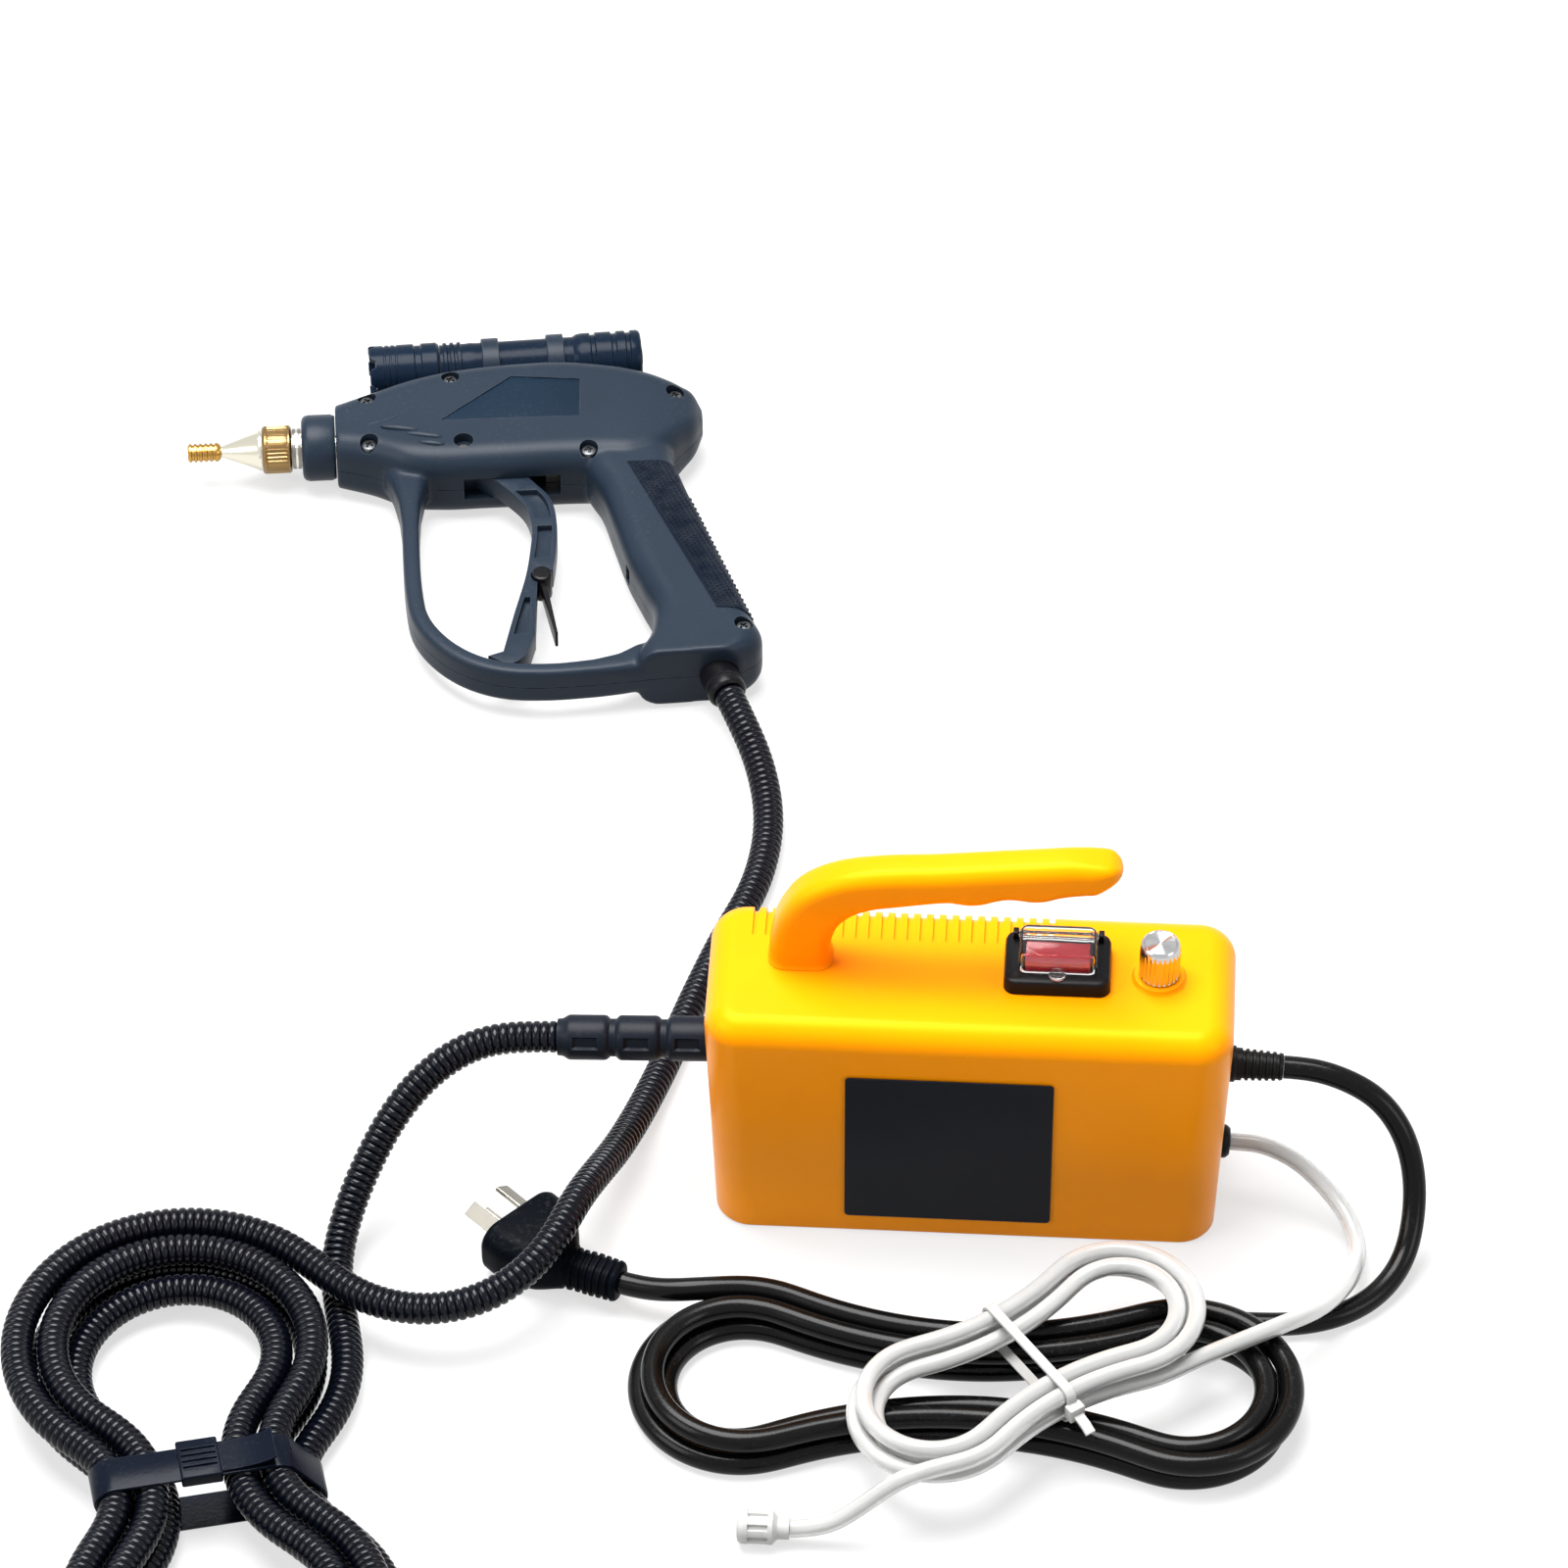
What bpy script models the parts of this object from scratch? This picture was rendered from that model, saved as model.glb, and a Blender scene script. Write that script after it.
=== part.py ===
"""Wallpaper steamer: steam box, steam gun, steam hose, power cord and water tube. Metres, +Z up."""

import math

import bmesh
import bpy
import numpy as np
from mathutils import Matrix, Vector

# Clearances
GAP = 0.0003
SLIDE = 0.0004

# Steam box
BOX_WIDTH = 0.200
BOX_DEPTH = 0.072
BOX_HEIGHT = 0.112
BOX_DRAFT = 0.004
BOX_CORNER = 0.014
BOX_FILLET = 0.010
BOX_WALL = 0.0025
FOOT_CHAMFER = 0.0015
VENT_COUNT = 24
VENT_PITCH = 0.0049
VENT_WIDTH = 0.0022
VENT_DEPTH = 0.0016
VENT_FIRST_X = -0.083
VENT_FRONT_Y = 0.015
VENT_DROP = 0.016

# Base plate and its screws
BASE_THICKNESS = 0.0025
BOSS_RADIUS = 0.0045
BOSS_INSET = 0.006
BOSS_TOP = 0.022
BASE_SCREW_LENGTH = 0.014
SCREW_HEAD_RADIUS = 0.0032
SCREW_HEAD_HEIGHT = 0.0020
SCREW_SHANK_RADIUS = 0.0014

# Handle
HANDLE_Y = 0.006
HANDLE_THICKNESS = 0.017
HANDLE_POST_X = -0.065
HANDLE_ROUNDING = 0.65
HANDLE_WAVE = 0.0011
HANDLE_WAVE_PITCH = 0.024
HANDLE_GRIP_START = -0.012
HANDLE_GRIP_END = 0.046
HANDLE_GRIP_STATIONS = 13
HANDLE_GRIP_RISE = 0.125
HANDLE_GRIP_DEPTH = 0.0165

# Label plate on the front
LABEL_SIZE = 0.079
LABEL_THICKNESS = 0.0006
LABEL_X = -0.0065
LABEL_Z = 0.0495

# Switch with its clear cover
SWITCH_INSET = 0.0675
SWITCH_X = BOX_WIDTH / 2.0 - SWITCH_INSET
SWITCH_Y = 0.003
BEZEL_WIDTH = 0.0405
BEZEL_DEPTH = 0.0286
BEZEL_HEIGHT = 0.0065
SWITCH_CASE_WIDTH = 0.033
SWITCH_CASE_DEPTH = 0.022
SWITCH_CASE_DROP = 0.020
WELL_WIDTH = 0.0254
WELL_DEPTH = 0.0162
WELL_DROP = 0.008
ROCKER_WIDTH = 0.0246
ROCKER_HALF = 0.0073
ROCKER_TILT = 8.0
ROCKER_DROP = 0.0015
COVER_WIDTH = 0.0296
COVER_DEPTH = 0.0186
COVER_HEIGHT = 0.0085
COVER_WALL = 0.0012
COVER_PIVOT_RADIUS = 0.0008
COVER_BARREL_RADIUS = 0.0015
EAR_WIDTH = 0.0022

# Control knob and potentiometer
KNOB_INSET = 0.029
KNOB_X = BOX_WIDTH / 2.0 - KNOB_INSET
KNOB_Y = 0.001
KNOB_RADIUS = 0.00775
KNOB_HEIGHT = 0.0165
KNOB_BORE_RADIUS = 0.0033
KNOB_BORE_DEPTH = 0.012
KNOB_FLUTES = 12
KNOB_RING_RADIUS = 0.0098
KNOB_RING_HEIGHT = 0.002
POT_RADIUS = 0.008
POT_DROP = 0.011
POT_BUSH_RADIUS = 0.0036
POT_SHAFT_RADIUS = 0.0029
POT_SHAFT_TOP = 0.011

# Inside the box
BOILER_RADIUS = 0.29 * BOX_DEPTH
BOILER_LENGTH = BOX_WIDTH / 2.0
BOILER_X = -0.1 * BOX_WIDTH
BOILER_Y = 0.003
BOILER_Z = 0.028
BOILER_FOOT = 0.010
BOILER_STUB_TOP = 0.066
PUMP_INSET = 0.037
PUMP_X = BOX_WIDTH / 2.0 - PUMP_INSET
PUMP_Y = -0.002
PUMP_WIDTH = 0.034
PUMP_DEPTH = 0.028
PUMP_HEIGHT = 0.030
BOARD_INSET = 0.0095
BOARD_Y = BOARD_INSET - BOX_DEPTH / 2.0
BOARD_THICKNESS = 0.0016
BOARD_WIDTH = 0.45 * BOX_WIDTH
BOARD_HEIGHT = 0.055
BOARD_PARTS_Z = 0.036
BOARD_PARTS_DEPTH = 0.0035
BOARD_RIB = 0.0015

# Fittings on the end walls
FITTING_Z = 0.070
FITTING_LENGTH = 0.059
FITTING_LOBE_RADIUS = 0.0087
FITTING_NECK_RADIUS = 0.0073
FITTING_STEM_RADIUS = 0.006
FITTING_BORE_RADIUS = 0.004
GLAND_Z = 0.068
GLAND_LENGTH = 0.021
GLAND_RADIUS = 0.0063
GLAND_RIBS = 3
GLAND_STEM_RADIUS = 0.0052
GLAND_BORE_RADIUS = 0.003
GROMMET_Z = 0.025
GROMMET_LENGTH = 0.004
GROMMET_RADIUS = 0.0065
GROMMET_STEM_RADIUS = 0.0046
GROMMET_BORE_RADIUS = 0.002
NUT_THICKNESS = 0.004

# Steam gun, drawn in its own flat frame with the trigger pivot at the origin
GUN_X = -0.227
GUN_Y = 0.379
GUN_TURN = 7.0
HEAD_HALF = 0.017
GRIP_HALF = 0.015
GUARD_HALF = 0.0085
GUARD_WIDTH = 0.0072
GUN_ROUNDING = 0.62
BARREL_Y = 0.0182
HEAD_X = (-0.0535, -0.038, -0.024, -0.010, 0.008, 0.026,
          0.042, 0.058, 0.072, 0.084, 0.093, 0.099, 0.1018)
HEAD_TOP = (0.0335, 0.0392, 0.0448, 0.0492, 0.0522, 0.0535,
            0.0536, 0.0512, 0.0475, 0.0427, 0.0376, 0.0334, 0.0270)
HEAD_BOTTOM = (0.0030, -0.0025, -0.0100, -0.0122, -0.0123, -0.0122,
               -0.0120, -0.0125, -0.0125, -0.0060, 0.0045, 0.0125, 0.0195)
HEAD_HALVES = (0.0145, 0.0160, 0.017, 0.017, 0.017, 0.017,
               0.017, 0.017, 0.0168, 0.0155, 0.013, 0.009, 0.005)
GRIP_PAIRS = (((0.048, -0.004), (0.090, 0.010)),
              ((0.052, -0.016), (0.0875, -0.006)),
              ((0.0561, -0.0258), (0.0910, -0.0250)),
              ((0.0605, -0.0470), (0.0970, -0.0470)),
              ((0.0652, -0.0701), (0.1035, -0.0705)),
              ((0.0700, -0.0860), (0.1090, -0.0900)),
              ((0.0742, -0.1010), (0.1145, -0.1090)),
              ((0.0720, -0.1160), (0.1180, -0.1205)),
              ((0.0660, -0.1280), (0.1160, -0.1270)),
              ((0.0660, -0.1340), (0.1085, -0.1325)))
GUARD_LINE = ((-0.0235, -0.006), (-0.0238, -0.030), (-0.0238, -0.080), (-0.0215, -0.098),
              (-0.0140, -0.1125), (-0.0030, -0.1235), (0.0100, -0.1300), (0.0270, -0.1325),
              (0.0640, -0.1310), (0.0800, -0.1290))
PANEL_DEPTH = 0.0008
PANEL_OUTLINE = ((0.0216, 0.0393), (0.0506, 0.0357), (0.0494, 0.0124), (-0.0091, 0.0133))
PAD_DEPTH = 0.0016
PAD_OUTLINE = ((0.0680, -0.0160), (0.1000, -0.0160), (0.1140, -0.0700), (0.1260, -0.1100),
               (0.1000, -0.1080))

# Gun screws: place and the half thickness of the shell there
GUN_SCREWS = ((-0.0397, 0.0311, 0.0155), (-0.0041, 0.0409, 0.017), (0.0905, 0.0285, 0.0138),
              (-0.0396, 0.0039, 0.0155), (0.0523, -0.0071, 0.017), (0.1104, -0.1176, 0.015))
GUN_SCREW_RECESS = 0.0042
GUN_SCREW_RECESS_RADIUS = 0.0039
GUN_SCREW_LENGTH = 0.020

# Trigger, pivot, valve and lock
TRIGGER_HALF = 0.005
TRIGGER_BOSS_RADIUS = 0.0065
PIVOT_RADIUS = 0.0023
PIVOT_HALF = 0.0125
TRIGGER_FRONT = ((0.0137, -0.0138), (0.0240, -0.0289), (0.0266, -0.0420), (0.0252, -0.0580),
                 (0.0227, -0.0731), (0.0169, -0.0960), (0.0116, -0.1181))
TRIGGER_REAR = ((0.0268, -0.0124), (0.0352, -0.0261), (0.0371, -0.0417), (0.0362, -0.0560),
                (0.0344, -0.0683), (0.0308, -0.0855), (0.0257, -0.1060))
TRIGGER_FOOT = ((0.0205, -0.1210), (0.0143, -0.1255), (0.0052, -0.1205))
TRIGGER_PAD_X = 0.022
TRIGGER_PAD_Y = (0.001, -0.0095)
TRIGGER_CROWN = ((-0.002, 0.0060), (0.010, 0.0055))
TRIGGER_THROAT = ((0.0045, -0.0065), (-0.003, -0.0052))
TRIGGER_WINDOWS = ((-0.0200, -0.0375), (-0.0425, -0.0620), (-0.0860, -0.1080))
WINDOW_RIM = 0.0022
WINDOW_DEPTH = 0.003
SLOT_OUTLINE = ((-0.009, -0.003), (-0.009, 0.009), (0.024, 0.009), (0.033, 0.006),
                (0.040, -0.004), (0.040, -0.020), (0.006, -0.020))
VALVE_LOW = (0.034, -0.004)
VALVE_HIGH = (0.074, 0.027)
VALVE_HALF = 0.008
BARREL_RADIUS = 0.005
VALVE_PIN_RADIUS = 0.0018
VALVE_PIN_Y = -0.002
VALVE_PIN_DEPTH = 0.008
VALVE_PIN_TRAVEL = 0.003
LOCK_X = 0.0294
LOCK_Y = -0.0729
LOCK_RADIUS = 0.0042
LOCK_HALF = 0.0065
LOCK_BLADE_LENGTH = 0.0344
LOCK_BLADE_HALF = 0.004
LOCK_BLADE_ANGLE = -82.5
LOCK_NOTCH = 0.0034
LOCK_SWEEP = ((0.0, 0.0022), (0.0127, 0.0042), (0.0156, -0.017), (0.0106, -0.040),
              (-0.0041, -0.040), (-0.0041, -0.033), (-0.0021, -0.005))
LOCK_RELIEF_Y = (-0.106, -0.078)
LOCK_RELIEF_X = (0.0250, 0.0268)
BARREL_SEAT = 0.0052

# Nozzle
COLLAR_RADIUS = 0.014
COLLAR_BACK = -0.0535
COLLAR_FRONT = -0.068
NECK_RADIUS = 0.0085
NUT_BACK = -0.072
NUT_FRONT = -0.0848
NUT_RADIUS = 0.0102
CONE_RADIUS = 0.0086
CONE_FRONT = -0.1024
CONE_TIP_RADIUS = 0.0023
TIP_RADIUS = 0.004
TIP_FRONT = -0.1161
STEAM_BORE_RADIUS = 0.0012

# Torch on the gun
TORCH_X = -0.0381
TORCH_Y = 0.0644
TORCH_TILT = 1.77
TORCH_RADIUS = 0.0115
TORCH_WAIST_RADIUS = 0.0102
TORCH_LENGTH = 0.1162
TORCH_HEAD_LENGTH = 0.030
TORCH_LENS_RADIUS = 0.0093
CROWN_NOTCH_WIDTH = 0.005
CROWN_NOTCH_DEPTH = 0.0025
BUTTON_RADIUS = 0.0056
BUTTON_POCKET = 0.007
BUTTON_TRAVEL = 0.0015
CLIP_X = (0.0137, 0.0414)
CLIP_WIDTH = 0.0072
CLIP_THICKNESS = 0.0013
CLIP_FOOT_HALF = 0.0055

# Hose gland on the grip end
HOSE_GLAND_X = 0.100
HOSE_GLAND_Y = -0.1355
HOSE_GLAND_ANGLE = -75.0
HOSE_GLAND_RADIUS = 0.008
HOSE_GLAND_STEM = 0.0052
HOSE_GLAND_LENGTH = 0.010

# Steam hose
HOSE_RADIUS = 0.0062
HOSE_VALLEY_RADIUS = 0.0056
HOSE_BORE_RADIUS = 0.0038
HOSE_RIB_PITCH = 0.0096
HOSE_PITCH = 0.0135
HOSE_FOLD_RADIUS = 0.037
HOSE_WAIST = 0.00675
HOSE_HALF_SPAN = 0.0655
HOSE_HANK_X = -0.276
HOSE_HANK_Y = -0.188
HOSE_HANK_Z = 0.0080
HOSE_HANK_TURN = 104.6
HOSE_LOOPS = 4
HOSE_END_ANGLE = 40.0
HOSE_TIE_WIDTH = 0.016
HOSE_BOX_ROUTE = ((-0.1866, -0.0014, 0.0650), (-0.2035, -0.0084, 0.0578), (-0.2180, -0.0195, 0.0452),
                  (-0.2291, -0.0340, 0.0290), (-0.2361, -0.0509, 0.0167), (-0.2385, -0.0690, 0.0098))
HOSE_GUN_ROUTE = ((-0.0935, 0.2145, 0.0125), (-0.0875, 0.185, 0.0080), (-0.0905, 0.150, 0.0066),
                  (-0.102, 0.115, 0.0066), (-0.112, 0.080, 0.0066), (-0.1205, 0.046, 0.0072),
                  (-0.1285, 0.015, 0.0110), (-0.1355, -0.012, 0.0185), (-0.1415, -0.033, 0.0270),
                  (-0.1475, -0.052, 0.0325), (-0.1535, -0.0705, 0.0328), (-0.1620, -0.0850, 0.0305),
                  (-0.1752, -0.0965, 0.0270), (-0.1915, -0.1023, 0.0242), (-0.2085, -0.1023, 0.0226),
                  (-0.2215, -0.0982, 0.0218))

# Power cord and plug
CORD_RADIUS = 0.0045
CORD_PITCH = 0.0098
CORD_FOLD_RADIUS = 0.027
CORD_WAIST = 0.009
CORD_HALF_SPAN = 0.084
CORD_HANK_X = 0.004
CORD_HANK_Y = -0.1195
CORD_HANK_Z = 0.0048
CORD_HANK_TURN = 0.0
CORD_LOOPS = 3
CORD_BOX_ROUTE = ((0.140, -0.002, 0.0655), (0.156, -0.006, 0.0585), (0.1665, -0.0125, 0.0465),
                  (0.1715, -0.0205, 0.0320), (0.1720, -0.0300, 0.0195), (0.1690, -0.0425, 0.0095),
                  (0.1599, -0.0575, 0.0055), (0.1461, -0.0690, 0.0048), (0.1291, -0.0750, 0.0048),
                  (0.1150, -0.0760, 0.0048))
CORD_LEAD_ROUTE = ((-0.1126, -0.0789, 0.0132),)
PLUG_LINE = ((-0.1290, -0.0745), (-0.1389, -0.0711), (-0.1488, -0.0677), (-0.1555, -0.0633),
             (-0.1635, -0.0557), (-0.1715, -0.0481))
PLUG_HALF_WIDTHS = (0.0072, 0.0076, 0.0080, 0.0140, 0.0185, 0.0190)
PLUG_HALF_HEIGHTS = (0.0072, 0.0076, 0.0080, 0.0105, 0.0115, 0.0115)
PLUG_Z = 0.0118
BLADE_LENGTH = 0.017
BLADE_WIDTH = 0.0063
BLADE_THICKNESS = 0.0016
BLADES = (("live", -0.0079, 0.0030, 30.0), ("neutral", 0.0079, 0.0030, -30.0),
          ("earth", 0.0, -0.0055, 90.0))

# Water tube and strainer
TUBE_RADIUS = 0.0034
TUBE_PITCH = 0.0075
TUBE_FOLD_RADIUS = 0.0205
TUBE_WAIST = 0.014
TUBE_HALF_SPAN = 0.042
TUBE_HANK_X = 0.0265
TUBE_HANK_Y = -0.120
TUBE_HANK_Z = 0.0246
TUBE_HANK_TURN = 37.0
TUBE_LOOPS = 3
TUBE_END_ANGLE = 62.0
TUBE_TIE_WIDTH = 0.004
TUBE_BOX_ROUTE = ((0.113, -0.001, 0.0250), (0.126, -0.005, 0.0215), (0.138, -0.014, 0.0165),
                  (0.147, -0.025, 0.0120), (0.151, -0.038, 0.0100), (0.150, -0.052, 0.0115),
                  (0.145, -0.066, 0.0150), (0.136, -0.080, 0.0190), (0.124, -0.0915, 0.0232),
                  (0.110, -0.101, 0.0243))
TUBE_TAIL_ROUTE = ((-0.0184, -0.1836, 0.0290), (-0.0304, -0.1870, 0.0197), (-0.0425, -0.1893, 0.0103))
STRAINER_X = -0.058
STRAINER_Y = -0.1900
STRAINER_Z = 0.0072
STRAINER_RADIUS = 0.0065
STRAINER_LENGTH = 0.020

# Bands round the hanks, and the shares of a loop's points in one fold and in one waist run
TIE_THICKNESS = 0.0012
FOLD_SHARE = 8.0 / 22.0
RUN_SHARE = 3.0 / 22.0

# Finishes: colour, roughness, metallic
YELLOW = ((0.85, 0.42, 0.02), 0.35, 0.0)
BLACK = ((0.012, 0.012, 0.013), 0.40, 0.0)
RUBBER = ((0.016, 0.016, 0.017), 0.70, 0.0)
NAVY = ((0.022, 0.030, 0.048), 0.45, 0.0)
RED = ((0.55, 0.015, 0.010), 0.35, 0.0)
CLEAR = ((0.85, 0.86, 0.86), 0.10, 0.0)
CHROME = ((0.70, 0.71, 0.72), 0.15, 1.0)
STEEL = ((0.50, 0.51, 0.53), 0.35, 1.0)
BRASS = ((0.62, 0.45, 0.20), 0.30, 1.0)
GREEN = ((0.02, 0.14, 0.05), 0.50, 0.0)
MILKY = ((0.78, 0.78, 0.74), 0.45, 0.0)
WHITE = ((0.82, 0.82, 0.80), 0.45, 0.0)


def clear_scene():
    """Remove whatever the scene holds."""
    for item in list(bpy.data.objects):
        bpy.data.objects.remove(item, do_unlink=True)


def material(name, finish):
    """Make a Principled material from a colour, a roughness and a metallic value."""
    color, roughness, metallic = finish
    made = bpy.data.materials.new(name)
    made.use_nodes = True
    shader = made.node_tree.nodes["Principled BSDF"]
    shader.inputs["Base Color"].default_value = (*color, 1.0)
    shader.inputs["Roughness"].default_value = roughness
    shader.inputs["Metallic"].default_value = metallic
    return made


def outward(mesh):
    """Turn every face of a closed mesh outward."""
    work = bmesh.new()
    work.from_mesh(mesh)
    bmesh.ops.recalc_face_normals(work, faces=work.faces)
    work.to_mesh(mesh)
    work.free()
    return mesh


def mesh_from(vertices, faces):
    """Make a mesh from points and faces."""
    mesh = bpy.data.meshes.new("shape")
    mesh.from_pydata([tuple(point) for point in vertices], [], faces)
    mesh.update()
    return outward(mesh)


def loft(rings, closed=False):
    """Skin rings of equal point count, with flat caps, or joined end to end when closed."""
    count = len(rings[0])
    vertices = [point for ring in rings for point in ring]
    faces = []
    pairs = len(rings) if closed else len(rings) - 1
    for level in range(pairs):
        low = level * count
        high = ((level + 1) % len(rings)) * count
        for step in range(count):
            after = (step + 1) % count
            faces.append((low + step, low + after, high + after, high + step))
    if not closed:
        faces.append(tuple(reversed(range(count))))
        faces.append(tuple(range(len(vertices) - count, len(vertices))))
    return mesh_from(vertices, faces)


def turned(profile, sides, closed=False):
    """Turn a profile of (radius, height) about Z. A radius of zero at either end is a pole."""
    vertices = []
    starts = []
    for radius, height in profile:
        starts.append(len(vertices))
        if radius == 0.0:
            vertices.append((0.0, 0.0, height))
            continue
        for step in range(sides):
            angle = 2.0 * math.pi * step / sides
            vertices.append((radius * math.cos(angle), radius * math.sin(angle), height))
    faces = []
    count = len(profile) if closed else len(profile) - 1
    for level in range(count):
        after_level = (level + 1) % len(profile)
        low = starts[level]
        high = starts[after_level]
        for step in range(sides):
            after = (step + 1) % sides
            if profile[level][0] == 0.0:
                faces.append((low, high + after, high + step))
            elif profile[after_level][0] == 0.0:
                faces.append((low + step, low + after, high))
            else:
                faces.append((low + step, low + after, high + after, high + step))
    return mesh_from(vertices, faces)


def aim(mesh, origin, direction):
    """Turn a mesh's Z axis along a direction and move it to an origin."""
    turn = Vector(direction).to_track_quat("Z", "Y").to_matrix().to_4x4()
    mesh.transform(Matrix.Translation(Vector(origin)) @ turn)
    return mesh


def rod(radius, start, end, sides):
    """Make a solid round bar between two points."""
    axis = Vector(end) - Vector(start)
    angles = [2.0 * math.pi * step / sides for step in range(sides)]
    outline = [(radius * math.cos(angle), radius * math.sin(angle)) for angle in angles]
    return aim(prism(outline, 0.0, axis.length), start, axis)


def prism(outline, low, high):
    """Extrude an outline in XY between two heights."""
    return loft([[(x, y, low) for x, y in outline], [(x, y, high) for x, y in outline]])


def box(low, high):
    """Make a block between two corners."""
    outline = ((low[0], low[1]), (high[0], low[1]), (high[0], high[1]), (low[0], high[1]))
    return prism(outline, low[2], high[2])


def rounded_rectangle(width, depth, radius, steps):
    """Return the corner-rounded outline of a rectangle about the origin."""
    points = []
    for quarter in range(4):
        sign_x = 1.0 if quarter in (0, 3) else -1.0
        sign_y = 1.0 if quarter in (0, 1) else -1.0
        centre_x = sign_x * (width / 2.0 - radius)
        centre_y = sign_y * (depth / 2.0 - radius)
        for step in range(steps + 1):
            angle = math.pi / 2.0 * (quarter + step / steps)
            points.append((centre_x + radius * math.cos(angle), centre_y + radius * math.sin(angle)))
    return points


def pair_loft(pairs, halves, rounding, steps):
    """Skin rounded sections that span pairs of edge points in XY, each with its half thickness."""
    rings = []
    for (first, second), half in zip(pairs, halves):
        start = Vector((*first, 0.0))
        end = Vector((*second, 0.0))
        middle = (start + end) / 2.0
        across = (end - start).normalized()
        width = (end - start).length
        radius = rounding * min(width / 2.0, half)
        ring = []
        for along, up in rounded_rectangle(width, 2.0 * half, radius, steps):
            ring.append(middle + across * along + Vector((0.0, 0.0, up)))
        rings.append(ring)
    return loft(rings)


def line_pairs(line, half_widths):
    """Return edge point pairs either side of a line in XY."""
    points = [Vector((x, y, 0.0)) for x, y in line]
    pairs = []
    for index, half_width in enumerate(half_widths):
        before = points[max(index - 1, 0)]
        after = points[min(index + 1, len(points) - 1)]
        way = (after - before).normalized()
        side = Vector((-way.y, way.x, 0.0)) * half_width
        first = points[index] + side
        second = points[index] - side
        pairs.append(((first.x, first.y), (second.x, second.y)))
    return pairs


def combine(mesh, tool, operation):
    """Join, cut or intersect two meshes exactly and return the result."""
    first = bpy.data.objects.new("shape", mesh)
    second = bpy.data.objects.new("tool", tool)
    for item in (first, second):
        bpy.context.scene.collection.objects.link(item)
    second.hide_render = True
    second.display_type = "WIRE"
    step = first.modifiers.new("combine", "BOOLEAN")
    step.operation = operation
    step.solver = "EXACT"
    step.object = second
    graph = bpy.context.evaluated_depsgraph_get()
    made = bpy.data.meshes.new_from_object(first.evaluated_get(graph))
    for item in (first, second):
        bpy.data.objects.remove(item, do_unlink=True)
    return made


def cut(mesh, *tools):
    """Cut several tools out of a mesh, one after the other."""
    for tool in tools:
        mesh = combine(mesh, tool, "DIFFERENCE")
    return mesh


def fuse(mesh, *others):
    """Join several meshes into one body."""
    for other in others:
        mesh = combine(mesh, other, "UNION")
    return mesh


def gather(meshes):
    """Put separate meshes into one mesh without joining them."""
    work = bmesh.new()
    for mesh in meshes:
        work.from_mesh(mesh)
    made = bpy.data.meshes.new("shape")
    work.to_mesh(made)
    work.free()
    return made


def add(name, mesh, finish, frame=None, origin=(0.0, 0.0, 0.0), sharp=35.0):
    """Place a mesh as a named object whose origin sits at a point of its frame."""
    mesh.name = name
    mesh.transform(Matrix.Translation(-Vector(origin)))
    mesh.materials.clear()
    mesh.materials.append(material(name, finish))
    mesh.shade_smooth()
    mesh.set_sharp_from_angle(angle=math.radians(sharp))
    item = bpy.data.objects.new(name, mesh)
    bpy.context.scene.collection.objects.link(item)
    place = Matrix.Translation(Vector(origin))
    item.matrix_world = place if frame is None else frame @ place
    return item


def screw(origin, direction, length):
    """Make a pan-head screw whose head underside sits at an origin, pointing along a direction."""
    profile = ((0.0, -SCREW_HEAD_HEIGHT), (SCREW_HEAD_RADIUS, -SCREW_HEAD_HEIGHT * 0.7),
               (SCREW_HEAD_RADIUS, 0.0), (SCREW_SHANK_RADIUS, 0.0), (SCREW_SHANK_RADIUS, length),
               (0.0, length))
    return aim(turned(profile, 8), origin, direction)


def half_width(z):
    """Return the casing's half width at a height below its top fillet."""
    return BOX_WIDTH / 2.0 - BOX_DRAFT * (1.0 - z / (BOX_HEIGHT - BOX_FILLET))


def half_depth(z):
    """Return the casing's half depth at a height below its top fillet."""
    return BOX_DEPTH / 2.0 - BOX_DRAFT * (1.0 - z / (BOX_HEIGHT - BOX_FILLET))


def wall_tilt():
    """Return the lean of the casing's walls."""
    return math.atan2(BOX_DRAFT, BOX_HEIGHT - BOX_FILLET)


def end_wall(side, z):
    """Return the point and the outward direction of an end wall at a height."""
    tilt = wall_tilt()
    point = Vector((side * half_width(z), 0.0, z))
    return point, Vector((side * math.cos(tilt), 0.0, -math.sin(tilt)))


def casing_ring(z, inset, steps=4):
    """Return the casing's section at a height, drawn in by an inset."""
    level = min(z, BOX_HEIGHT - BOX_FILLET)
    width = 2.0 * (half_width(level) - inset)
    depth = 2.0 * (half_depth(level) - inset)
    outline = rounded_rectangle(width, depth, BOX_CORNER - inset, steps)
    return [(x, y, z) for x, y in outline]


def casing_rings(inset, steps=3):
    """Return the casing's sections over its walls and top fillet, drawn in by an inset."""
    fillet = BOX_FILLET - inset
    rings = [casing_ring(BOX_HEIGHT - BOX_FILLET, inset)]
    for step in range(1, steps + 1):
        angle = math.pi / 2.0 * step / steps
        z = BOX_HEIGHT - BOX_FILLET + fillet * math.sin(angle)
        rings.append(casing_ring(z, inset + fillet * (1.0 - math.cos(angle))))
    return rings


def boss_points():
    """Return the places of the base screw bosses."""
    x = half_width(0.0) - BOX_WALL - BOSS_INSET
    y = half_depth(0.0) - BOX_WALL - BOSS_INSET
    return [(x, y), (-x, y), (-x, -y), (x, -y)]


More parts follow.
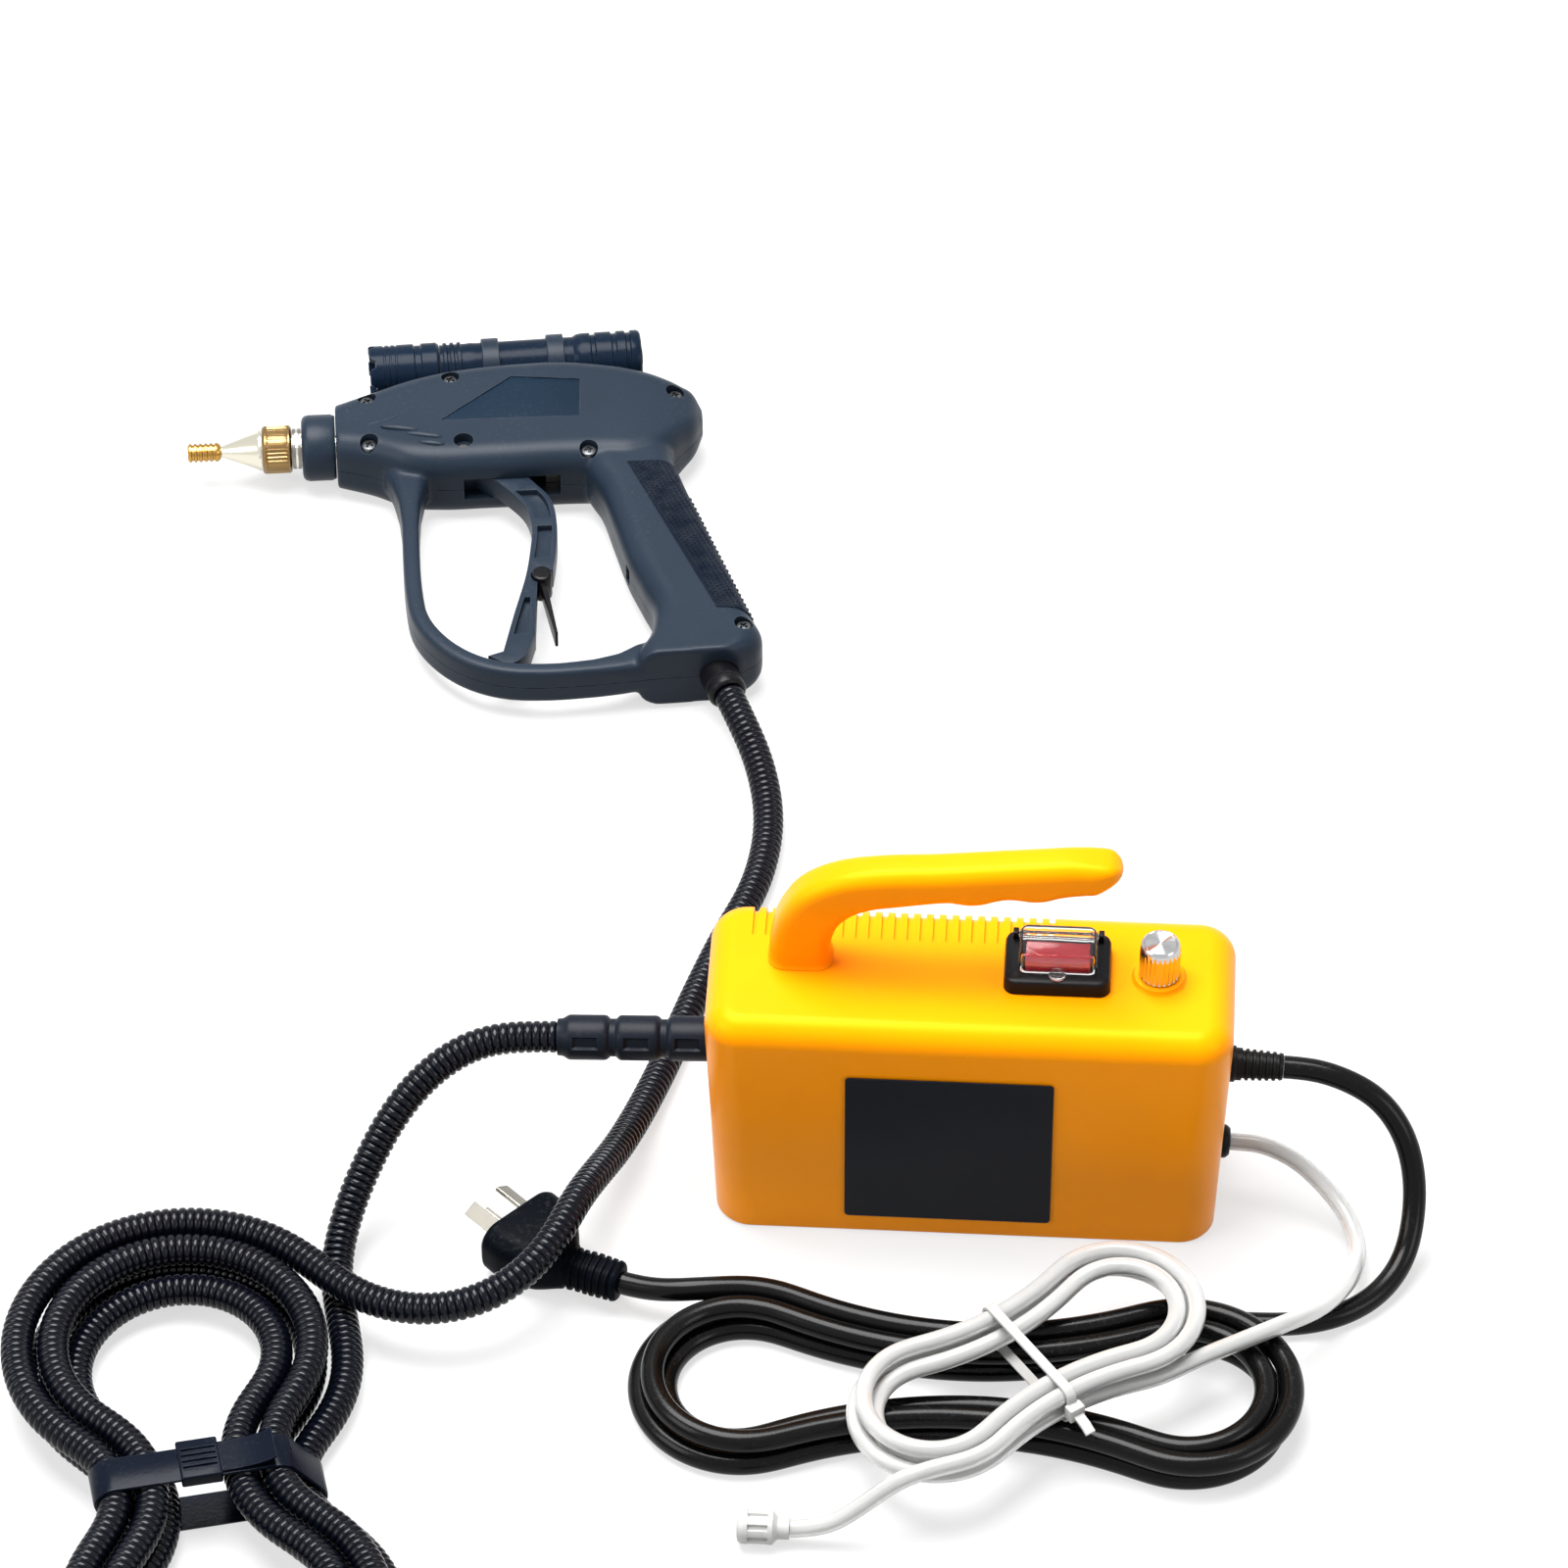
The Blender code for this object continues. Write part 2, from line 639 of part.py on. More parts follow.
def vent_cutter():
    """Make the row of vent grooves that run over the back edge of the top."""
    back = BOX_DEPTH / 2.0
    corner = back - BOX_FILLET
    arc = BOX_FILLET - VENT_DEPTH
    low = BOX_HEIGHT - VENT_DROP
    outer = back + 0.003
    floor = BOX_HEIGHT - VENT_DEPTH
    outline = [(VENT_FRONT_Y, BOX_HEIGHT + 0.003), (VENT_FRONT_Y, floor), (corner, floor)]
    outline.append((corner + arc * 0.5, BOX_HEIGHT - BOX_FILLET + arc * math.sqrt(0.75)))
    outline.append((corner + arc * math.sqrt(0.75), BOX_HEIGHT - BOX_FILLET + arc * 0.5))
    outline.append((back - VENT_DEPTH, BOX_HEIGHT - BOX_FILLET))
    outline.append((half_depth(low) - VENT_DEPTH, low))
    outline.append((outer, low))
    outline.append((outer, BOX_HEIGHT + 0.003))
    bars = []
    for index in range(VENT_COUNT):
        x = VENT_FIRST_X + index * VENT_PITCH
        first = [(x - VENT_WIDTH / 2.0, y, z) for y, z in outline]
        second = [(x + VENT_WIDTH / 2.0, y, z) for y, z in outline]
        bars.append(loft([first, second]))
    return gather(bars)


def wall_hole(side, z, radius):
    """Make the cutter for a round hole through an end wall."""
    point, way = end_wall(side, z)
    return rod(radius, point - way * 0.008, point + way * 0.008, 12)


def make_casing():
    """Make the moulded casing with its bosses, vents, knob ring and holes."""
    inner = [casing_ring(0.0, BOX_WALL)] + casing_rings(BOX_WALL)
    outer = [casing_ring(0.0, FOOT_CHAMFER), casing_ring(FOOT_CHAMFER, 0.0)] + casing_rings(0.0)
    mesh = loft(list(reversed(inner)) + outer)
    ring = rod(KNOB_RING_RADIUS, (KNOB_X, KNOB_Y, BOX_HEIGHT - BOX_WALL / 2.0),
               (KNOB_X, KNOB_Y, BOX_HEIGHT + KNOB_RING_HEIGHT), 24)
    mesh = fuse(mesh, ring)
    for x, y in boss_points():
        mesh = fuse(mesh, rod(BOSS_RADIUS, (x, y, BASE_THICKNESS + GAP), (x, y, BOSS_TOP), 12))
        pilot = rod(SCREW_SHANK_RADIUS + GAP, (x, y, 0.0), (x, y, BASE_SCREW_LENGTH + 0.003), 8)
        mesh = cut(mesh, pilot)
    mesh = cut(mesh, vent_cutter())
    low = BOX_HEIGHT - BOX_FILLET
    high = BOX_HEIGHT + BOX_FILLET
    wide = SWITCH_CASE_WIDTH / 2.0 + GAP
    deep = SWITCH_CASE_DEPTH / 2.0 + GAP
    well = box((SWITCH_X - wide, SWITCH_Y - deep, low), (SWITCH_X + wide, SWITCH_Y + deep, high))
    bush = rod(POT_BUSH_RADIUS + GAP, (KNOB_X, KNOB_Y, low), (KNOB_X, KNOB_Y, high), 12)
    mesh = cut(mesh, well, bush)
    mesh = cut(mesh, wall_hole(-1.0, FITTING_Z, FITTING_STEM_RADIUS + GAP))
    mesh = cut(mesh, wall_hole(1.0, GLAND_Z, GLAND_STEM_RADIUS + GAP))
    mesh = cut(mesh, wall_hole(1.0, GROMMET_Z, GROMMET_STEM_RADIUS + GAP))
    add("casing", mesh, YELLOW)


def make_base():
    """Make the base plate with its board ribs, and the four screws that hold it."""
    low = casing_ring(0.0, BOX_WALL + GAP)
    high = [(x, y, BASE_THICKNESS) for x, y, z in low]
    mesh = loft([low, high])
    for side in (-1.0, 1.0):
        face = BOARD_Y + side * (BOARD_THICKNESS / 2.0 + GAP)
        edges = sorted((face, face + side * BOARD_RIB))
        rib = box((-BOARD_WIDTH / 2.0, edges[0], BASE_THICKNESS / 2.0),
                  (BOARD_WIDTH / 2.0, edges[1], BASE_THICKNESS + 0.003))
        mesh = fuse(mesh, rib)
    seat = SCREW_HEAD_HEIGHT - SCREW_HEAD_HEIGHT * 0.3
    for x, y in boss_points():
        hole = rod(SCREW_SHANK_RADIUS + GAP, (x, y, -0.001), (x, y, BASE_THICKNESS + 0.001), 8)
        recess = rod(SCREW_HEAD_RADIUS + 2.0 * GAP, (x, y, -0.001), (x, y, seat), 8)
        mesh = cut(mesh, hole, recess)
    add("base_plate", mesh, BLACK)
    head = seat - GAP
    for index, (x, y) in enumerate(boss_points()):
        profile = ((0.0, 0.0002), (SCREW_HEAD_RADIUS, 0.0002), (SCREW_HEAD_RADIUS, head * 0.6),
                   (SCREW_SHANK_RADIUS, head), (SCREW_SHANK_RADIUS, BASE_SCREW_LENGTH),
                   (0.0, BASE_SCREW_LENGTH))
        add(f"base_screw_{index + 1}", aim(turned(profile, 8), (x, y, 0.0), (0.0, 0.0, 1.0)), STEEL)


def handle_pairs():
    """Return the outer and inner edge points of the handle in X and Z, from the foot to the tip."""
    foot = BOX_HEIGHT + GAP
    x = HANDLE_POST_X
    pairs = [((x - 0.0118, foot), (x + 0.0118, foot)),
             ((x - 0.0115, foot + 0.010), (x + 0.0115, foot + 0.0095)),
             ((x - 0.0085, foot + 0.0235), (x + 0.0140, foot + 0.0185)),
             ((x - 0.0010, foot + 0.0362), (x + 0.0195, foot + 0.0255)),
             ((x + 0.0120, foot + 0.0447), (x + 0.0275, foot + 0.0295)),
             ((x + 0.0290, foot + 0.0489), (x + 0.0375, foot + 0.0315))]
    base = foot + 0.0345
    length = HANDLE_GRIP_END - HANDLE_GRIP_START
    for index in range(HANDLE_GRIP_STATIONS):
        along = length * index / (HANDLE_GRIP_STATIONS - 1)
        station = HANDLE_GRIP_START + along
        low = base + along * HANDLE_GRIP_RISE
        wave = HANDLE_WAVE * (math.cos(2.0 * math.pi * along / HANDLE_WAVE_PITCH) - 1.0)
        taper = max(0.0, along / length - 0.86) * 0.022
        top = low + HANDLE_GRIP_DEPTH - taper * 0.4
        pairs.append(((station - 0.0018, top), (station + 0.0010, low + wave + taper)))
    end = HANDLE_GRIP_END
    tip = base + length * HANDLE_GRIP_RISE
    pairs.append(((end + 0.0050, tip + 0.0146), (end + 0.0068, tip + 0.0062)))
    pairs.append(((end + 0.0095, tip + 0.0122), (end + 0.0100, tip + 0.0088)))
    return pairs


def make_handle():
    """Make the cantilever handle that rises from one post over the casing."""
    pairs = handle_pairs()
    halves = [HANDLE_THICKNESS / 2.0] * (len(pairs) - 2)
    halves += [HANDLE_THICKNESS * 0.42, HANDLE_THICKNESS * 0.27]
    mesh = pair_loft(pairs, halves, HANDLE_ROUNDING, 3)
    mesh.transform(Matrix.Translation((0.0, HANDLE_Y, 0.0)) @ Matrix.Rotation(math.pi / 2.0, 4, "X"))
    add("handle", outward(mesh), YELLOW)


def make_label():
    """Make the bare plate on the front wall."""
    outline = rounded_rectangle(LABEL_SIZE, LABEL_SIZE, 0.0015, 2)
    mesh = prism(outline, GAP, GAP + LABEL_THICKNESS)
    place = Matrix.Translation((LABEL_X, -half_depth(LABEL_Z), LABEL_Z))
    mesh.transform(place @ Matrix.Rotation(math.pi / 2.0 + wall_tilt(), 4, "X"))
    add("label_plate", mesh, BLACK)


def bezel_top():
    """Return the height of the switch bezel's top."""
    return BOX_HEIGHT + GAP + BEZEL_HEIGHT


def cover_axis():
    """Return a point on the cover's hinge axis."""
    y = SWITCH_Y + COVER_DEPTH / 2.0 + 0.0008
    return Vector((SWITCH_X, y, bezel_top() + GAP + COVER_BARREL_RADIUS))


def flat_ring(width, depth, radius, z, steps=2):
    """Return a rounded rectangle round the switch centre at a height."""
    outline = rounded_rectangle(width, depth, radius, steps)
    return [(SWITCH_X + x, SWITCH_Y + y, z) for x, y in outline]


def make_switch():
    """Make the switch body, its rocker and its clear cover."""
    seat = BOX_HEIGHT + GAP
    top = bezel_top()
    rings = [flat_ring(SWITCH_CASE_WIDTH, SWITCH_CASE_DEPTH, 0.001, BOX_HEIGHT - SWITCH_CASE_DROP),
             flat_ring(SWITCH_CASE_WIDTH, SWITCH_CASE_DEPTH, 0.001, seat),
             flat_ring(BEZEL_WIDTH, BEZEL_DEPTH, 0.0045, seat),
             flat_ring(BEZEL_WIDTH - 0.0006, BEZEL_DEPTH - 0.0006, 0.0045, top - 0.0012),
             flat_ring(BEZEL_WIDTH - 0.0030, BEZEL_DEPTH - 0.0030, 0.0038, top),
             flat_ring(WELL_WIDTH, WELL_DEPTH, 0.0010, top),
             flat_ring(WELL_WIDTH, WELL_DEPTH, 0.0010, top - WELL_DROP)]
    mesh = loft(rings)
    axis = cover_axis()
    half = COVER_WIDTH / 2.0
    pivot = half + GAP + EAR_WIDTH * 0.7
    for side in (-1.0, 1.0):
        edges = sorted((axis.x + side * (half + GAP), axis.x + side * (half + GAP + EAR_WIDTH)))
        ear = box((edges[0], axis.y - 0.0016, top - 0.001), (edges[1], axis.y + 0.0016, axis.z + 0.0016))
        mesh = fuse(mesh, ear)
    bore = rod(COVER_PIVOT_RADIUS + GAP, axis - Vector((pivot + GAP, 0.0, 0.0)),
               axis + Vector((pivot + GAP, 0.0, 0.0)), 12)
    mesh = cut(mesh, bore)
    add("switch_body", mesh, BLACK)

    centre = Vector((SWITCH_X, SWITCH_Y, top - ROCKER_DROP))
    profile = ((-ROCKER_HALF, 0.0026), (-0.0035, 0.0014), (0.0, 0.0010), (0.0035, 0.0014),
               (ROCKER_HALF, 0.0026), (ROCKER_HALF - 0.0006, -0.0035), (0.0, -0.0052),
               (-ROCKER_HALF + 0.0006, -0.0035))
    rings = []
    for x in (-ROCKER_WIDTH / 2.0, ROCKER_WIDTH / 2.0):
        rings.append([(x, y, z) for y, z in profile])
    mesh = loft(rings)
    mesh.transform(Matrix.Translation(centre) @ Matrix.Rotation(math.radians(-ROCKER_TILT), 4, "X"))
    add("switch_rocker", mesh, RED, origin=centre)

    low = top + GAP
    wall = 2.0 * COVER_WALL
    rings = [flat_ring(COVER_WIDTH - wall, COVER_DEPTH - wall, 0.0018, low + COVER_HEIGHT - COVER_WALL),
             flat_ring(COVER_WIDTH - wall, COVER_DEPTH - wall, 0.0018, low),
             flat_ring(COVER_WIDTH, COVER_DEPTH, 0.0030, low),
             flat_ring(COVER_WIDTH - 0.0006, COVER_DEPTH - 0.0006, 0.0030, low + COVER_HEIGHT - 0.0018),
             flat_ring(COVER_WIDTH - 0.0016, COVER_DEPTH - 0.0016, 0.0026, low + COVER_HEIGHT - 0.0005),
             flat_ring(COVER_WIDTH - 0.0040, COVER_DEPTH - 0.0040, 0.0020, low + COVER_HEIGHT)]
    mesh = loft(rings)
    reach = Vector((half, 0.0, 0.0))
    mesh = fuse(mesh, rod(COVER_BARREL_RADIUS, axis - reach, axis + reach, 12))
    tip = Vector((pivot, 0.0, 0.0))
    mesh = fuse(mesh, rod(COVER_PIVOT_RADIUS, axis - tip, axis + tip, 10))
    front = SWITCH_Y - COVER_DEPTH / 2.0
    tab_y = front - 0.0012
    mesh = fuse(mesh, rod(0.0032, (SWITCH_X, tab_y, low + 0.0002), (SWITCH_X, tab_y, low + 0.0016), 14))
    add("switch_cover", mesh, CLEAR, origin=axis)


def make_knob():
    """Make the fluted knob and the potentiometer it turns."""
    seat = BOX_HEIGHT + KNOB_RING_HEIGHT + GAP
    count = 2 * KNOB_FLUTES

    def ring(radius, z, flute=0.0):
        """Return a ring of the knob, fluted by a share of its radius."""
        points = []
        for step in range(count):
            angle = 2.0 * math.pi * step / count
            size = radius * (1.0 - flute * (step % 2))
            points.append((KNOB_X + size * math.cos(angle), KNOB_Y + size * math.sin(angle), z))
        return points

    rings = [ring(KNOB_BORE_RADIUS, seat + KNOB_BORE_DEPTH), ring(KNOB_BORE_RADIUS, seat),
             ring(KNOB_RADIUS, seat, 0.07), ring(KNOB_RADIUS, seat + KNOB_HEIGHT - 0.0022, 0.07),
             ring(KNOB_RADIUS * 0.90, seat + KNOB_HEIGHT - 0.0006),
             ring(KNOB_RADIUS * 0.80, seat + KNOB_HEIGHT)]
    add("knob", loft(rings), CHROME, origin=(KNOB_X, KNOB_Y, seat), sharp=28.0)

    under = -BOX_WALL - GAP
    profile = ((0.0, under - POT_DROP), (POT_RADIUS, under - POT_DROP), (POT_RADIUS, under),
               (POT_BUSH_RADIUS, under), (POT_BUSH_RADIUS, KNOB_RING_HEIGHT - GAP),
               (POT_SHAFT_RADIUS, KNOB_RING_HEIGHT - GAP), (POT_SHAFT_RADIUS, POT_SHAFT_TOP),
               (0.0, POT_SHAFT_TOP))
    mesh = aim(turned(profile, 12), (KNOB_X, KNOB_Y, BOX_HEIGHT), (0.0, 0.0, 1.0))
    add("potentiometer", mesh, STEEL)


def make_inside():
    """Make the boiler, the pump and the control board inside the casing."""
    low = BASE_THICKNESS + GAP
    half = BOILER_LENGTH / 2.0
    profile = ((0.0, -half - 0.004), (BOILER_RADIUS * 0.6, -half - 0.003), (BOILER_RADIUS, -half),
               (BOILER_RADIUS, half), (BOILER_RADIUS * 0.6, half + 0.003), (0.0, half + 0.004))
    mesh = aim(turned(profile, 16), (BOILER_X, BOILER_Y, BOILER_Z), (1.0, 0.0, 0.0))
    for side in (-1.0, 1.0):
        x = BOILER_X + side * half * 0.6
        foot = box((x - BOILER_FOOT / 2.0, BOILER_Y - BOILER_RADIUS * 0.7, low),
                   (x + BOILER_FOOT / 2.0, BOILER_Y + BOILER_RADIUS * 0.7, BOILER_Z))
        mesh = fuse(mesh, foot)
    pipe_x = BOILER_X - half * 0.85
    stub = rod(0.004, (pipe_x, BOILER_Y, BOILER_Z), (pipe_x, BOILER_Y, BOILER_STUB_TOP), 12)
    cap_top = BOILER_Z + BOILER_RADIUS + 0.006
    cap = rod(0.009, (BOILER_X, BOILER_Y, BOILER_Z), (BOILER_X, BOILER_Y, cap_top), 14)
    mesh = fuse(mesh, stub, cap)
    add("boiler", mesh, STEEL)

    x = PUMP_X
    mesh = box((x - PUMP_WIDTH / 2.0, PUMP_Y - PUMP_DEPTH / 2.0, low),
               (x + PUMP_WIDTH / 2.0, PUMP_Y + PUMP_DEPTH / 2.0, low + PUMP_HEIGHT))
    reach = PUMP_WIDTH / 2.0 + 0.006
    mesh = fuse(mesh, rod(0.0035, (x, 0.0, GROMMET_Z), (x + reach, 0.0, GROMMET_Z), 12))
    mesh = fuse(mesh, rod(0.009, (x, PUMP_Y, low), (x, PUMP_Y, low + PUMP_HEIGHT + 0.008), 16))
    add("pump", mesh, STEEL)

    face = BOARD_Y - BOARD_THICKNESS / 2.0
    back = BOARD_Y + BOARD_THICKNESS / 2.0
    mesh = box((-BOARD_WIDTH / 2.0, face, low), (BOARD_WIDTH / 2.0, back, low + BOARD_HEIGHT))
    for place, width, height in ((-0.028, 0.016, 0.012), (-0.004, 0.010, 0.018), (0.026, 0.020, 0.015)):
        block = box((place - width / 2.0, BOARD_Y, low + BOARD_PARTS_Z - height / 2.0),
                    (place + width / 2.0, back + BOARD_PARTS_DEPTH, low + BOARD_PARTS_Z + height / 2.0))
        mesh = fuse(mesh, block)
    add("control_board", mesh, GREEN)


def wall_piece(side, z, stem, bore, outside, sides=12):
    """Make a bored piece through an end wall: nut inside, stem in the hole, profile outside."""
    inside = -BOX_WALL - GAP
    end = outside[-1][1]
    nut = stem * 1.4
    profile = [(bore, inside - NUT_THICKNESS), (nut, inside - NUT_THICKNESS), (nut, inside)]
    profile += [(stem, inside), (stem, GAP)] + list(outside)
    profile.append((bore, end))
    point, way = end_wall(side, z)
    return aim(turned(profile, sides, closed=True), point, way)


def make_wall_fittings():
    """Make the hose fitting, the cord's strain relief and the water inlet grommet."""
    lobe = FITTING_LOBE_RADIUS
    neck = FITTING_NECK_RADIUS
    third = FITTING_LENGTH / 3.0
    outside = []
    for index in range(3):
        start = GAP + index * third
        outside += [(lobe * 0.95, start), (lobe, start + 0.0012), (lobe, start + third - 0.0045)]
        if index < 2:
            outside += [(neck, start + third - 0.0030), (neck, start + third - 0.0010)]
    outside += [(neck, FITTING_LENGTH)]
    mesh = wall_piece(-1.0, FITTING_Z, FITTING_STEM_RADIUS, FITTING_BORE_RADIUS, outside)
    add("hose_fitting", mesh, BLACK)

    outside = [(GLAND_RADIUS * 1.12, GAP), (GLAND_RADIUS * 1.12, 0.0028), (GLAND_RADIUS, 0.0030)]
    pitch = (GLAND_LENGTH - 0.0055) / GLAND_RIBS
    for index in range(GLAND_RIBS):
        start = 0.0045 + index * pitch
        size = GLAND_RADIUS * (1.0 - 0.12 * index / GLAND_RIBS)
        outside += [(size, start), (size * 0.86, start + pitch * 0.1), (size * 0.86, start + pitch * 0.4),
                    (size * 0.98, start + pitch * 0.5)]
    outside += [(GLAND_RADIUS * 0.86, GLAND_LENGTH)]
    add("power_gland", wall_piece(1.0, GLAND_Z, GLAND_STEM_RADIUS, GLAND_BORE_RADIUS, outside), RUBBER)

    outside = [(GROMMET_RADIUS, GAP), (GROMMET_RADIUS, GROMMET_LENGTH * 0.6),
               (GROMMET_RADIUS * 0.8, GROMMET_LENGTH)]
    mesh = wall_piece(1.0, GROMMET_Z, GROMMET_STEM_RADIUS, GROMMET_BORE_RADIUS, outside)
    add("inlet_grommet", mesh, RUBBER)


def gun_frame():
    """Return the frame of the gun, which lies on its right side behind the box."""
    turn = Matrix.Rotation(math.radians(GUN_TURN), 4, "Z")
    return Matrix.Translation((GUN_X, GUN_Y, HEAD_HALF)) @ turn


def gland_axis():
    """Return the hose gland's place and direction in the gun's frame."""
    angle = math.radians(HOSE_GLAND_ANGLE)
    return Vector((HOSE_GLAND_X, HOSE_GLAND_Y, 0.0)), Vector((math.cos(angle), math.sin(angle), 0.0))


def grip_loft(trim):
    """Make the grip with its sides and its rear edge drawn in by a trim."""
    pairs = []
    for front, rear in GRIP_PAIRS:
        way = (Vector(rear) - Vector(front)).normalized()
        end = Vector(rear) - way * trim
        pairs.append((front, (end.x, end.y)))
    return pair_loft(pairs, [GRIP_HALF - trim] * len(pairs), GUN_ROUNDING, 3)


def head_top(x):
    """Return the top of the gun's head at a place along it."""
    return float(np.interp(x, HEAD_X, HEAD_TOP))


def gun_body():
    """Make the gun's outer form: head, grip and trigger guard in one."""
    pairs = [((x, bottom), (x, top)) for x, bottom, top in zip(HEAD_X, HEAD_BOTTOM, HEAD_TOP)]
    head = pair_loft(pairs, HEAD_HALVES, GUN_ROUNDING, 3)
    count = len(GUARD_LINE)
    flare = [1.5, 1.1] + [1.0] * (count - 4) + [1.0, 1.0]
    widths = [GUARD_WIDTH / 2.0 * share for share in flare]
    guard = pair_loft(line_pairs(GUARD_LINE, widths), [GUARD_HALF] * count, GUN_ROUNDING, 3)
    return fuse(head, grip_loft(0.0), guard)


def gun_cutters():
    """Return the cutters for the pockets, bores and holes inside the gun."""
    depth = TRIGGER_HALF + 2.0 * GAP
    cutters = [prism(SLOT_OUTLINE, -depth, depth)]
    room = VALVE_HALF + GAP
    cutters.append(box((VALVE_LOW[0] - GAP, VALVE_LOW[1] - GAP, -room),
                       (VALVE_HIGH[0] + GAP, VALVE_HIGH[1] + GAP, room)))
    cutters.append(rod(BARREL_RADIUS + GAP, (COLLAR_BACK - 0.004, BARREL_Y, 0.0),
                       (VALVE_LOW[0] + 0.002, BARREL_Y, 0.0), 16))
    place, way = gland_axis()
    stem = HOSE_GLAND_STEM + GAP
    wide = HOSE_GLAND_RADIUS + GAP
    profile = ((0.0, -0.014), (stem, -0.014), (stem, -0.004), (wide, -0.004), (wide, 0.020),
               (0.0, 0.020))
    cutters.append(aim(turned(profile, 12), place, way))
    cutters.append(rod(PIVOT_RADIUS + GAP, (0.0, 0.0, -PIVOT_HALF - GAP),
                       (0.0, 0.0, HEAD_HALF + 0.005), 12))
    cutters.append(rod(0.0042, (0.0, 0.0, PIVOT_HALF), (0.0, 0.0, HEAD_HALF + 0.005), 14))
    for x, y, half in GUN_SCREWS:
        seat = half - GUN_SCREW_RECESS
        low = seat - GUN_SCREW_LENGTH - 0.001
        cutters.append(rod(SCREW_SHANK_RADIUS + GAP, (x, y, low), (x, y, half + 0.005), 8))
        cutters.append(rod(GUN_SCREW_RECESS_RADIUS, (x, y, seat), (x, y, half + 0.005), 12))
    cutters.append(prism(PANEL_OUTLINE, HEAD_HALF - PANEL_DEPTH, HEAD_HALF + 0.005))
    deep = 0.0652 + LOCK_NOTCH
    notch = ((0.058, -0.0675), (deep, -0.0675), (deep, -0.0722), (0.058, -0.0722))
    cutters.append(prism(notch, -LOCK_BLADE_HALF - GAP, LOCK_BLADE_HALF + GAP))
    return cutters


def inset_outline(outline, inset):
    """Draw an outline in towards its middle by a distance at each corner."""
    middle = sum((Vector(point) for point in outline), Vector((0.0, 0.0))) / len(outline)
    points = []
    for point in outline:
        way = (middle - Vector(point)).normalized()
        moved = Vector(point) + way * inset
        points.append((moved.x, moved.y))
    return points


def make_gun_shells():
    """Make the two shells, the rubber pad on the grip and the six screws."""
    frame = gun_frame()
    reach = GRIP_HALF + 0.004
    body = gun_body()
    recess = cut(prism(PAD_OUTLINE, -reach, reach), grip_loft(PAD_DEPTH))
    body = cut(body, recess, *gun_cutters())
    far = 0.3
    for name, side in (("gun_left_shell", 1.0), ("gun_right_shell", -1.0)):
        edges = sorted((-side * 0.05, side * GAP / 2.0))
        half = cut(body.copy(), box((-far, -far, edges[0]), (far, far, edges[1])))
        add(name, half, NAVY, frame)
    outline = inset_outline(PAD_OUTLINE, 4.0 * GAP)
    pad = combine(prism(outline, -reach, reach), grip_loft(0.0), "INTERSECT")
    pad = cut(pad, grip_loft(PAD_DEPTH - GAP))
    add("grip_pad", pad, RUBBER, frame)
    for index, (x, y, half) in enumerate(GUN_SCREWS):
        seat = half - GUN_SCREW_RECESS + GAP
        mesh = screw((x, y, seat), (0.0, 0.0, -1.0), GUN_SCREW_LENGTH)
        add(f"gun_screw_{index + 1}", mesh, STEEL, frame)


def trigger_edges(y):
    """Return the front and rear edges of the trigger at a height."""
    front = np.interp(-y, [-p[1] for p in TRIGGER_FRONT], [p[0] for p in TRIGGER_FRONT])
    rear = np.interp(-y, [-p[1] for p in TRIGGER_REAR], [p[0] for p in TRIGGER_REAR])
    return float(front), float(rear)


